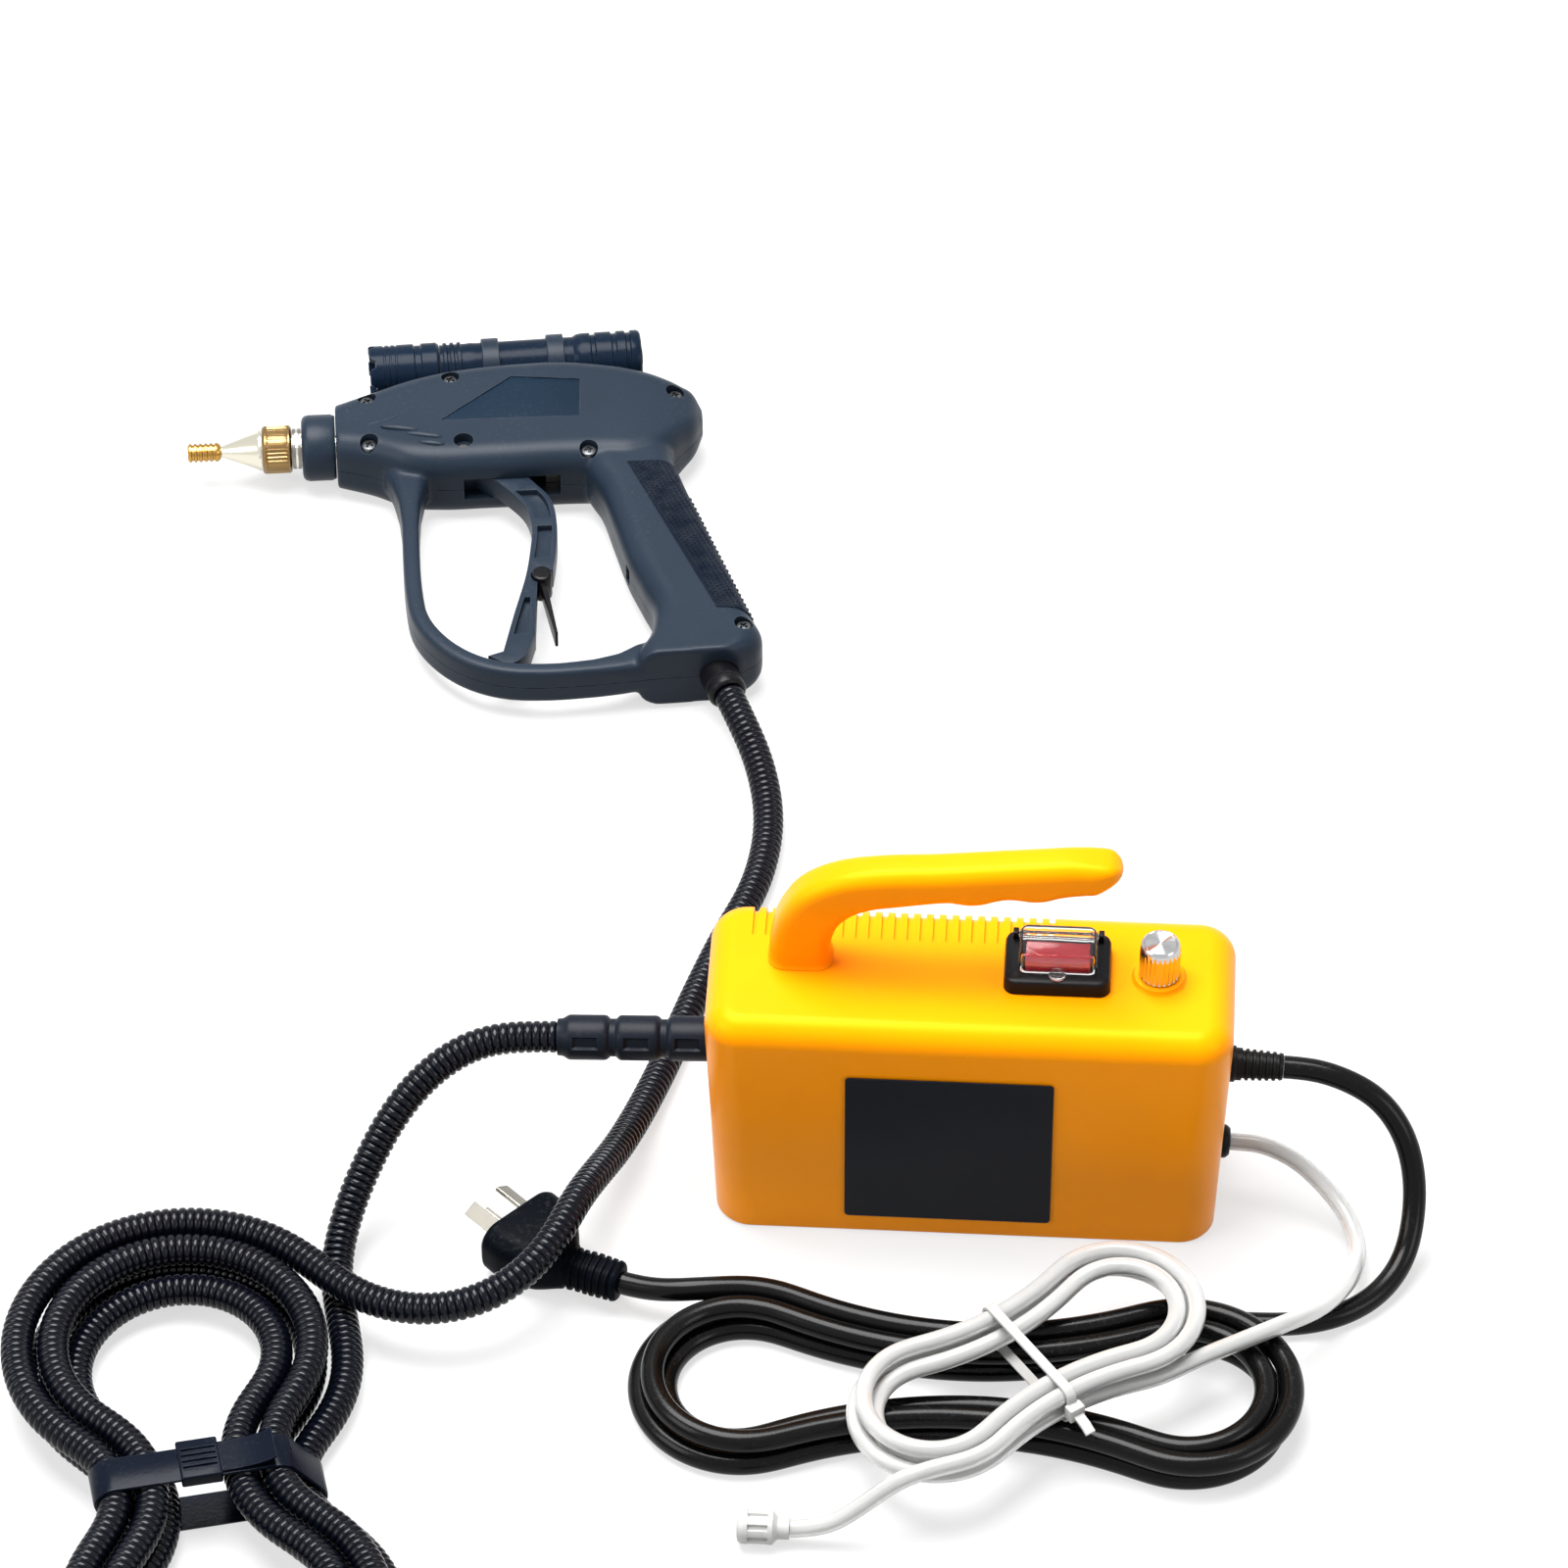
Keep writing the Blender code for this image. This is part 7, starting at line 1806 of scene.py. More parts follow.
@dataclass
class GunTorch:
    """The torch over the gun: crowned head, grooved body, tail button and two clip bands."""

    start: Pair = (-0.0381, 0.0644)
    tilt: float = 1.77
    length: float = 0.1162
    head: float = 0.030
    radius: float = 0.0115
    waist: float = 0.0102
    lens_radius: float = 0.0093
    notch_depth: float = 0.0025
    clip_x: Pair = (0.0137, 0.0414)
    clip_width: float = 0.0072
    clip_low: Pair = (0.0526, 0.0539)
    head_groove: tuple[Pair, ...] = ((0.0, 0.0), (-0.0004, 0.0003), (-0.0004, 0.0009), (0.0, 0.0012))
    head_end: tuple[Pair, ...] = (
        (0.0, -0.0110), (-0.0008, -0.0104), (-0.0008, -0.0080), (0.0, -0.0074), (0.0, -0.0012),
        (-0.0010, 0.0))
    tail_ring: tuple[Pair, ...] = (
        (0.0, 0.0), (0.0, 0.0032), (-0.0009, 0.0038), (-0.0009, 0.0052), (0.0, 0.0058))
    tail_rim: tuple[Pair, ...] = ((0.0, -0.0016), (-0.0005, -0.0006), (-0.0015, 0.0))

    def axes(self, gun: GunPlace) -> Matrix:
        """Return the torch's frame, with Z along it from the front bezel."""
        lean = math.radians(self.tilt)
        return gun.matrix() @ aimed((*self.start, 0.0), (math.cos(lean), math.sin(lean), 0.0))

    def head_form(self) -> Shape:
        """Shape the head with its crowned bezel and reflector.

        Returns:
            Its form.
        """
        big, end, lens = self.radius, self.head, self.lens_radius + 0.0003
        profile = [(0.0030, 0.0150), (lens - 0.0012, 0.0055), (lens, 0.0055), (lens, 0.0012), (lens, 0.0),
                   (lens + 0.0007, 0.0), (big - 0.0006, 0.0), (big, 0.0006), (big, 0.0016), (big, 0.0034)]
        for spot in (0.0060, 0.0085, 0.0110):
            profile += stepped(big, spot, self.head_groove)
        profile += [*stepped(big, end, self.head_end), (0.0030, end)]
        shape = turned(profile, 96)
        angles = np.arctan2(shape.points[:, 1], shape.points[:, 0])
        scallop = np.clip((np.cos(6.0 * angles) - 0.25) / 0.45, 0.0, 1.0)
        front = np.clip(1.0 - shape.points[:, 2] / 0.0036, 0.0, 1.0)
        front = front * (np.hypot(shape.points[:, 0], shape.points[:, 1]) > self.lens_radius)
        shape.points[:, 2] += scallop * front * self.notch_depth
        return shape

    def body_form(self) -> Shape:
        """Shape the body with its rings, ribs and waist.

        Returns:
            Its form.
        """
        start, end, big, waist = self.head + GAP, self.length, self.radius, self.waist
        profile = [(0.0030, start), (waist, start)]
        for spot in (start + 0.0012, start + 0.0042, start + 0.0072):
            profile += [(waist, spot), (big - 0.0005, spot + 0.0004), (big - 0.0004, spot + 0.0016),
                        (waist, spot + 0.0021)]
        profile += [(waist, start + 0.0115), (waist + 0.0002, start + 0.0130), (waist, start + 0.0150),
                    (waist, end - 0.0290), (big - 0.0003, end - 0.0272)]
        for spot in (end - 0.0250, end - 0.0160, end - 0.0100):
            profile += stepped(big, spot, self.tail_ring)
        profile += [*stepped(big, end, self.tail_rim), (0.0060, end), (0.0060, end - 0.0070),
                    (0.0030, end - 0.0070)]
        return turned(profile, 72)

    def build(self, gun: GunPlace) -> None:
        """Build the torch and its clips.

        Args:
            gun: where the gun lies.
        """
        axes = self.axes(gun)
        place(self.head_form().moved(axes), "gun_torch_head", TORCH, replaces=("torch_head",), sharp=28.0)
        place(self.body_form().moved(axes), "gun_torch_body", TORCH, replaces=("torch_body",), sharp=28.0)
        profile = ((0.0005, 0.0052), (self.lens_radius, 0.0052), (self.lens_radius, 0.0034),
                   (self.lens_radius * 0.8, 0.0030), (self.lens_radius * 0.4, 0.0027), (0.0005, 0.0026))
        place(turned(profile, 48).moved(axes), "gun_torch_lens", CLEAR, replaces=("torch_lens",))
        low, end = self.length - 0.007 + 0.0018, self.length
        profile = ((0.0005, low), (0.0056, low), (0.0056, end - 0.0008), (0.0053, end - 0.0001),
                   (0.0046, end + 0.0004), (0.0040, end + 0.0002), (0.0034, end + 0.0006),
                   (0.0005, end + 0.0008))
        place(turned(profile, 48).moved(axes), "gun_torch_button", RUBBER, "torch_button_body",
              ("torch_button",))
        lean = math.tan(math.radians(self.tilt))
        way = Vector((1.0, lean, 0.0)).normalized()
        inner, outer, half = self.waist + GAP, self.waist + GAP + 0.0013, self.clip_width / 2.0
        band = ((inner, -half), (outer - 0.0003, -half), (outer, -half + 0.0003), (outer, half - 0.0003),
                (outer - 0.0003, half), (inner, half))
        for name, x, foot_low in zip(("front", "rear"), self.clip_x, self.clip_low):
            centre = (x, self.start[1] + (x - self.start[0]) * lean, 0.0)
            foot = prism([(x - half, foot_low - 0.0002), (x + half, foot_low - 0.0002),
                          (x + half, centre[1] - self.waist * 0.80),
                          (x - half, centre[1] - self.waist * 0.80)], -0.0055, 0.0055)
            foot = worked(foot, ("BEVEL", {"width": 0.0005, "segments": 3}))
            shape = turned(band, 64, True).moved(aimed(centre, way)).joined(foot)
            place(shape.moved(gun.matrix()), f"gun_torch_clip_{name}", NAVY,
                  replaces=(f"torch_clip_{name}",))


@dataclass
class BoxBody:
    """The moulded casing with its vents, and the cantilever handle on it."""

    corner: float = 0.014
    wall: float = 0.0025
    foot_chamfer: float = 0.0015
    vent_count: int = 24
    vent_pitch: float = 0.0049
    vent_width: float = 0.0022
    vent_depth: float = 0.0016
    vent_first_x: float = -0.083
    vent_front_y: float = 0.015
    vent_drop: float = 0.016
    knob: Pair = (0.071, 0.001)
    switch: Pair = (0.0325, 0.003)
    handle_y: float = 0.006
    handle_thickness: float = 0.017
    post_x: float = -0.065
    grip_start: float = -0.012
    grip_end: float = 0.046
    grip_stations: int = 13
    grip_rise: float = 0.125
    grip_depth: float = 0.0165
    wave: float = 0.0011
    wave_pitch: float = 0.024
    post_pairs: tuple[tuple[Pair, Pair], ...] = (
        ((-0.0124, 0.0), (0.0124, 0.0)), ((-0.0117, 0.0025), (0.0117, 0.0025)),
        ((-0.0115, 0.010), (0.0115, 0.0095)), ((-0.0085, 0.0235), (0.0140, 0.0185)),
        ((-0.0010, 0.0362), (0.0195, 0.0255)), ((0.0120, 0.0447), (0.0275, 0.0295)),
        ((0.0290, 0.0489), (0.0375, 0.0315)))
    tip_pairs: tuple[tuple[Pair, Pair], ...] = (
        ((0.0050, 0.0146), (0.0068, 0.0062)), ((0.0085, 0.0126), (0.0092, 0.0085)),
        ((0.0097, 0.0108), (0.0099, 0.0098)))

    def ring(self, box: BoxSizes, z: float, inset: float) -> np.ndarray:
        """Draw the casing's section.

        Args:
            box: the steam box's sizes.
            z: the height.
            inset: how far it is drawn in.

        Returns:
            The section's points.
        """
        rise = box.height - box.fillet
        shrink = box.draft * (1.0 - min(z, rise) / rise) + inset
        outline = rounded(box.width - 2.0 * shrink, box.depth - 2.0 * shrink, self.corner - inset, 14)
        return np.column_stack([outline, np.full(len(outline), z)])

    def rings(self, box: BoxSizes, inset: float) -> list[np.ndarray]:
        """Draw the sections from the top of the walls over the top fillet.

        Args:
            box: the steam box's sizes.
            inset: how far they are drawn in.

        Returns:
            The sections.
        """
        rise = box.height - box.fillet
        fillet = box.fillet - inset
        made = []
        for angle in np.linspace(0.0, math.pi / 2.0, 13):
            made.append(self.ring(box, rise + fillet * math.sin(angle),
                                  inset + fillet * (1.0 - math.cos(angle))))
        return made

    def vents(self, box: BoxSizes) -> Shape:
        """Make the cutters of the vent grooves that run over the top's back edge.

        Args:
            box: the steam box's sizes.

        Returns:
            The cutters.
        """
        back, rise = box.depth / 2.0, box.height - box.fillet
        arc, low = box.fillet - self.vent_depth, box.height - self.vent_drop
        outline = [(self.vent_front_y, box.height + 0.003),
                   (self.vent_front_y + 0.0008, box.height - self.vent_depth)]
        for angle in np.linspace(math.pi / 2.0, 0.0, 9):
            outline.append((back - box.fillet + arc * math.cos(angle), rise + arc * math.sin(angle)))
        shrink = box.draft * (1.0 - low / rise)
        outline += [(back - shrink - self.vent_depth, low), (back + 0.003, low),
                    (back + 0.003, box.height + 0.003)]
        bars = []
        for index in range(self.vent_count):
            x = self.vent_first_x + index * self.vent_pitch
            rings = [np.array([(side, y, z) for y, z in outline])
                     for side in (x - self.vent_width / 2.0, x + self.vent_width / 2.0)]
            bars.append(loft(rings))
        return gathered(bars)

    def build_casing(self, box: BoxSizes) -> None:
        """Build the casing with its vents, holes and knob ring.

        Args:
            box: the steam box's sizes.
        """
        inner = [self.ring(box, 0.0, self.wall)] + self.rings(box, self.wall)
        outer = [self.ring(box, 0.0, self.foot_chamfer), self.ring(box, 0.0004, 0.0006),
                 self.ring(box, self.foot_chamfer, 0.0), self.ring(box, 0.02, 0.0)] + self.rings(box, 0.0)
        x, y = self.switch
        well = block((x - 0.0168, y - 0.0113, 0.100), (x + 0.0168, y + 0.0113, 0.125))
        holes = [well, rod(0.0039, (*self.knob, 0.100), (*self.knob, 0.125), 24)]
        for side, z, radius in ((-1.0, 0.070, 0.0063), (1.0, 0.068, 0.0055), (1.0, 0.025, 0.0049)):
            wall = box.end_wall(side, z)
            holes.append(rod(radius, wall.point - wall.way * 0.008, wall.point + wall.way * 0.008, 32))
        shape = cut(loft(list(reversed(inner)) + outer), self.vents(box), gathered(holes))
        bevel = {"width": 0.00028, "segments": 2, "limit_method": "ANGLE",
                 "angle_limit": math.radians(50.0)}
        shape = worked(shape, ("WELD", {"merge_threshold": 0.000005}), ("BEVEL", bevel))
        top = box.height
        ring = turned(((0.0040, top - 0.001), (0.0106, top - 0.001), (0.0106, top + 0.0001),
                       (0.0100, top + 0.0006), (0.0098, top + 0.0014), (0.0095, top + 0.0019),
                       (0.0090, top + 0.0020), (0.0040, top + 0.0020)), 64, True)
        shape = shape.joined(ring.moved(Matrix.Translation((*self.knob, 0.0))))
        level(place(shape, "steam_box_casing", YELLOW, replaces=("casing",), sharp=42.0))

    def handle_edges(self, box: BoxSizes) -> tuple[np.ndarray, np.ndarray]:
        """Draw the handle's edges from foot to tip.

        Args:
            box: the steam box's sizes.

        Returns:
            The outer and the inner points in X and Z.
        """
        foot, x = box.height + GAP, self.post_x
        pairs = [stepped(x, foot, pair) for pair in self.post_pairs]
        base, length = foot + 0.0345, self.grip_end - self.grip_start
        for along in np.linspace(0.0, length, self.grip_stations):
            station, low = self.grip_start + along, base + along * self.grip_rise
            dip = self.wave * (math.cos(2.0 * math.pi * along / self.wave_pitch) - 1.0)
            taper = max(0.0, along / length - 0.86) * 0.022
            pairs.append([(station - 0.0018, low + self.grip_depth - taper * 0.4),
                          (station + 0.0010, low + dip + taper)])
        end, tip = self.grip_end, base + length * self.grip_rise
        pairs += [stepped(end, tip, pair) for pair in self.tip_pairs]
        edges = np.array(pairs)
        return edges[:, 0], edges[:, 1]

    def build_handle(self, box: BoxSizes) -> None:
        """Build the handle with its wavy underside.

        Args:
            box: the steam box's sizes.
        """
        outer, inner = self.handle_edges(box)
        count = len(outer)
        stations, at = np.arange(count), np.linspace(0.0, count - 1.0, 150)
        half = self.handle_thickness / 2.0
        halves = np.full(count, half)
        halves[0] = half + 0.0007
        halves[-3:] = (half * 0.84, half * 0.50, half * 0.16)
        firsts = np.column_stack([eased(stations, outer[:, axis], at) for axis in (0, 1)])
        seconds = np.column_stack([eased(stations, inner[:, axis], at) for axis in (0, 1)])
        shape = pair_loft(firsts, seconds, np.maximum(eased(stations, halves, at), 0.0006), 0.72, 10)
        turn = Matrix.Translation((0.0, self.handle_y, 0.0)) @ Matrix.Rotation(math.pi / 2.0, 4, "X")
        place(outward(shape.moved(turn)), "steam_box_handle", YELLOW, replaces=("handle",), sharp=60.0)

    def build(self, box: BoxSizes) -> None:
        """Build the casing and its handle."""
        self.build_casing(box)
        self.build_handle(box)


@dataclass
class BoxControls:
    """The switch with its rocker and clear cover, and the fluted knob."""

    switch: Pair = (0.0325, 0.003)
    seat: float = 0.1123
    body: Pair = (0.033, 0.022)
    body_low: float = 0.092
    bezel: Point = (0.0405, 0.0286, 0.0065)
    well: Pair = (0.0254, 0.0162)
    rocker: Pair = (0.0246, 0.0073)
    rocker_tilt: float = -8.0
    cover: Point = (0.0296, 0.0186, 0.0085)
    cover_wall: float = 0.0012
    knob: Pair = (0.071, 0.001)
    knob_seat: float = 0.1143
    knob_radius: float = 0.00775
    knob_height: float = 0.0165
    flutes: int = 24
    knob_side: tuple[Pair, ...] = (
        (-0.0004, 0.0), (0.0, 0.0004), (0.0, 0.0010), (0.0, 0.0060), (0.0, 0.0120), (0.0, 0.0128),
        (-0.0003, 0.0135))
    knob_crown: tuple[Pair, ...] = ((-0.0003, -0.0014), (-0.0008, -0.0004), (-0.0014, 0.0))
    knob_ring: tuple[Pair, ...] = ((0.0, -0.0003), (-0.00010, -0.00024))

    def ring(self, width: float, depth: float, radius: float, z: float) -> np.ndarray:
        """Return a rounded rectangle round the switch centre at a height."""
        outline = rounded(width, depth, radius, 6)
        return np.column_stack([outline + np.array(self.switch), np.full(len(outline), z)])

    def rings(self, rows: Sequence[tuple[Pair, float, float, float]]) -> list[np.ndarray]:
        """Return rounded rectangles by size, inset, corner radius and height."""
        return [self.ring(size[0] - inset, size[1] - inset, radius, z) for size, inset, radius, z in rows]

    def hinge(self) -> Vector:
        """Return a point on the cover's hinge axis."""
        return Vector((self.switch[0], self.switch[1] + self.cover[1] / 2.0 + 0.0008,
                       self.seat + self.bezel[2] + GAP + 0.0015))

    def build_switch(self) -> None:
        """Build the bezel with its hinge ears, and the rocker."""
        wide, deep, high = self.bezel
        top, seat = self.seat + high, self.seat
        outer, hole = (wide, deep), self.well
        rings = self.rings(((self.body, 0.0, 0.001, self.body_low), (self.body, 0.0, 0.001, seat),
                            (outer, 0.0, 0.0045, seat), (outer, 0.0004, 0.0045, top - 0.0018),
                            (outer, 0.0012, 0.0043, top - 0.0006), (outer, 0.0030, 0.0038, top),
                            (hole, -0.0030, 0.0020, top), (hole, -0.0024, 0.0018, top - 0.0005),
                            (hole, -0.0004, 0.0012, top - 0.0006), (hole, 0.0, 0.0010, top - 0.0009),
                            (hole, 0.0, 0.0010, top - 0.008)))
        axis = self.hinge()
        half = self.cover[0] / 2.0 + GAP
        bore = rod(0.0011, axis - Vector((half + 0.0018, 0.0, 0.0)),
                   axis + Vector((half + 0.0018, 0.0, 0.0)), 20)
        shape = outward(loft(rings))
        for side in (-1.0, 1.0):
            ends = sorted((axis.x + side * half, axis.x + side * (half + 0.0022)))
            ear = worked(block((ends[0], axis.y - 0.0017, top - 0.001),
                               (ends[1], axis.y + 0.0017, axis.z + 0.0017)),
                         ("BEVEL", {"width": 0.0004, "segments": 3}))
            shape = shape.joined(cut(ear, bore))
        place(shape, "switch_bezel", BLACK, replaces=("switch_body",))
        wide, reach = self.rocker
        profile = [(y, 0.0010 + 0.0016 * (abs(y) / reach) ** 1.6) for y in np.linspace(-reach, reach, 17)]
        profile += [(reach - 0.0006, -0.0035), (0.0, -0.0052), (-reach + 0.0006, -0.0035)]
        rings = [np.array([(x, y, z) for y, z in profile]) for x in (-wide / 2.0, wide / 2.0)]
        bevel = {"width": 0.0004, "segments": 3, "limit_method": "ANGLE", "angle_limit": math.radians(45.0)}
        tilt = Matrix.Rotation(math.radians(self.rocker_tilt), 4, "X")
        move = Matrix.Translation((*self.switch, top - 0.0015)) @ tilt
        place(worked(outward(loft(rings)), ("BEVEL", bevel)).moved(move), "red_rocker", RED,
              "switch_rocker_body", ("switch_rocker",), sharp=50.0)

    def build_cover(self) -> None:
        """Build the clear flip cover with its hinge barrel and round tab."""
        wide, deep, high = self.cover
        low, wall = self.seat + self.bezel[2] + GAP, 2.0 * self.cover_wall
        top, roof = low + high, low + high - self.cover_wall
        outer, inner = (wide, deep), (wide - wall, deep - wall)
        rings = self.rings(((inner, 0.0030, 0.0006, roof), (inner, 0.0008, 0.0016, roof - 0.0003),
                            (inner, 0.0, 0.0018, roof - 0.0014), (inner, 0.0, 0.0018, low),
                            (outer, 0.0, 0.0030, low), (outer, 0.0006, 0.0030, top - 0.0020),
                            (outer, 0.0012, 0.0028, top - 0.0009), (outer, 0.0024, 0.0024, top - 0.0002),
                            (outer, 0.0044, 0.0018, top)))
        axis = self.hinge()
        reach, tip = Vector((wide / 2.0, 0.0, 0.0)), Vector((wide / 2.0 + GAP + 0.0015, 0.0, 0.0))
        tab_y = self.switch[1] - deep / 2.0 - 0.0012
        tab = turned(((0.0028, low + 0.0002), (0.0032, low + 0.0005), (0.0032, low + 0.0013),
                      (0.0028, low + 0.0016)), 40)
        shape = fused(loft(rings), rod(0.0015, axis - reach, axis + reach, 24),
                      rod(0.0008, axis - tip, axis + tip, 20),
                      tab.moved(Matrix.Translation((self.switch[0], tab_y, 0.0))))
        place(shape, "clear_flip_cover", CLEAR, "switch_cover_body", ("switch_cover",), sharp=40.0)

    def flute(self, height: float, angles: np.ndarray) -> np.ndarray:
        """Give the knob soft flutes round its lower part.

        Args:
            height: the height.
            angles: the ring's angles.

        Returns:
            The radius factors.
        """
        level = (height - self.knob_seat) / self.knob_height
        depth = 0.055 if 0.03 < level < 0.80 else 0.0
        return 1.0 - depth * (0.5 + 0.5 * np.cos(self.flutes * angles)) ** 2

    def build_knob(self) -> None:
        """Build the knob with its fluted side and ring-turned top."""
        low, high, big = self.knob_seat, self.knob_seat + self.knob_height, self.knob_radius
        rows = [(0.0033, low + 0.012), (0.0033, low), *stepped(big, low, self.knob_side),
                *stepped(big, high, self.knob_crown)]
        for radius in np.linspace(big - 0.0017, 0.0003, 28):
            rows += stepped(radius, high, self.knob_ring)
        shape = turned(rows, 192, False, self.flute).moved(Matrix.Translation((*self.knob, 0.0)))
        place(shape, "fluted_knob", CHROME, "knob_body", ("knob",), sharp=32.0)

    def build(self) -> None:
        """Build all the controls."""
        self.build_switch()
        self.build_cover()
        self.build_knob()


@dataclass
class WallFittings:
    """The hose boot, the cord's strain relief and the water inlet grommet on the end walls."""

    boot_z: float = 0.070
    boot_length: float = 0.059
    lobe: float = 0.0087
    neck: float = 0.0073
    gland_z: float = 0.068
    gland_length: float = 0.021
    gland_radius: float = 0.0063
    gland_ribs: int = 6
    grommet_z: float = 0.025

    def through(self, box: BoxSizes, side: float, z: float, stem: float, bore: float, outside: list[Pair],
                sides: int = 48) -> Shape:
        """Make a bored piece through an end wall, with a nut inside.

        Args:
            box: the steam box's sizes.
            side: -1 for the left wall and 1 for the right.
            z: the height.
            stem: the radius in the wall.
            bore: the radius of the bore.
            outside: the profile outside the wall.
            sides: points round each ring.

        Returns:
            The piece.
        """
        wall = box.end_wall(side, z)
        profile = [(bore, -0.0068), (stem * 1.4, -0.0068), (stem * 1.4, -0.0028), (stem, -0.0028),
                   (stem, GAP)]
        profile += outside + [(bore, outside[-1][1])]
        return turned(profile, sides, True).moved(aimed(wall.point, wall.way))

    def build_boot(self, box: BoxSizes) -> None:
        """Build the three-lobed hose boot with its side slots.

        Args:
            box: the steam box's sizes.
        """
        third = self.boot_length / 3.0
        outside = []
        for index in range(3):
            start = GAP + index * third
            outside += [(self.lobe * 0.93, start), (self.lobe * 0.98, start + 0.0006),
                        (self.lobe, start + 0.0016)]
            middle = np.linspace(start + 0.0035, start + third - 0.0062, 8)
            outside += [(self.lobe, spot) for spot in middle]
            outside += [(self.lobe, start + third - 0.0050), (self.lobe * 0.97, start + third - 0.0042)]
            if index < 2:
                outside += [(self.neck, start + third - 0.0030), (self.neck, start + third - 0.0008)]
        outside += [(self.neck, self.boot_length - 0.002), (self.neck * 0.97, self.boot_length)]
        wall = box.end_wall(-1.0, self.boot_z)
        shape = self.through(box, -1.0, self.boot_z, 0.006, 0.004, outside, 96)
        frame_in = aimed(wall.point, wall.way).inverted()
        local = shape.moved(frame_in).points
        angles, sizes = np.arctan2(local[:, 1], local[:, 0]), np.hypot(local[:, 0], local[:, 1])
        place_in = (local[:, 2] - GAP) % third
        slot = (place_in > 0.0036) & (place_in < third - 0.0064) & (local[:, 2] > GAP)
        slot = slot & (sizes > self.lobe * 0.99) & (np.cos(3.0 * (angles - 0.5)) > 0.72)
        local[slot, 0] *= 0.84
        local[slot, 1] *= 0.84
        shape = Shape(local, shape.faces).moved(aimed(wall.point, wall.way))
        place(shape, "hose_boot", BOOT, replaces=("hose_fitting",), sharp=32.0)

    def build(self, box: BoxSizes) -> None:
        """Build all three fittings.

        Args:
            box: the steam box's sizes.
        """
        self.build_boot(box)
        big = self.gland_radius
        outside = [(big * 1.06, GAP), (big * 1.12, 0.0006), (big * 1.12, 0.0024), (big * 1.06, 0.0029),
                   (big, 0.0030)]
        pitch = (self.gland_length - 0.0055) / self.gland_ribs
        for index in range(self.gland_ribs):
            start, size = 0.0042 + index * pitch, big * (1.0 - 0.13 * index / self.gland_ribs)
            outside += [(size, start), (size, start + pitch * 0.40), (size * 0.86, start + pitch * 0.50),
                        (size * 0.86, start + pitch * 0.85)]
        outside += [(big * 0.86, self.gland_length - 0.0012), (big * 0.80, self.gland_length)]
        shape = self.through(box, 1.0, self.gland_z, 0.0052, 0.003, outside)
        place(shape, "cord_strain_relief", RELIEF, replaces=("power_gland",), sharp=30.0)
        outside = [(0.0062, GAP), (0.0065, 0.0006), (0.0065, 0.0022), (0.0062, 0.0028), (0.0055, 0.0036),
                   (0.0050, 0.004)]
        shape = self.through(box, 1.0, self.grommet_z, 0.0046, 0.002, outside)
        place(shape, "water_grommet", RELIEF, replaces=("inlet_grommet",), sharp=40.0)


def hugging(tubes: np.ndarray, radius: float, flare: float, sides: int = 72) -> np.ndarray:
    """Return the outline drawn tight round circles, as points by direction.

    Args:
        tubes: the circles' centres, across and up.
        radius: the radius of them all.
        flare: the extra room that the outline leaves at its two sides.
        sides: how many points it has.

    Returns:
        The outline's points, across and up.
    """
    points = []
    for angle in np.linspace(0.0, 2.0 * math.pi, sides, endpoint=False):
        way = np.array((math.cos(angle), math.sin(angle)))
        points.append(tubes[int(np.argmax(tubes @ way))] + way * radius + np.array((flare * way[0], 0.0)))
    return np.array(points)


def band(hank: Hank, tubes: np.ndarray, width: float, thickness: float, room: float) -> Shape:
    """Return a closed band drawn round a hank's waist.

    Args:
        hank: the wound hank.
        tubes: where its turns pass the waist.
        width: the band's width along the hank.
        thickness: the band's thickness.
        room: the space between the tubes and the band.

    Returns:
        The band.
    """
    half = width / 2.0
    section = [(-half, 0.0), (-half * 0.97, thickness * 0.8), (-half * 0.85, thickness),
               (half * 0.85, thickness), (half * 0.97, thickness * 0.8), (half, 0.0)]
    across, along = np.array(hank.across), np.array(hank.along)
    rings = []
    for place_along, out in section:
        outline = hugging(tubes, hank.radius + room + out, hank.flare(width))
        flat = np.outer(outline[:, 0], across) + np.outer(outline[:, 1], (0.0, 0.0, 1.0))
        rings.append(np.array(hank.centre) + flat + along * place_along)
    return outward(loft(rings, closed=True))


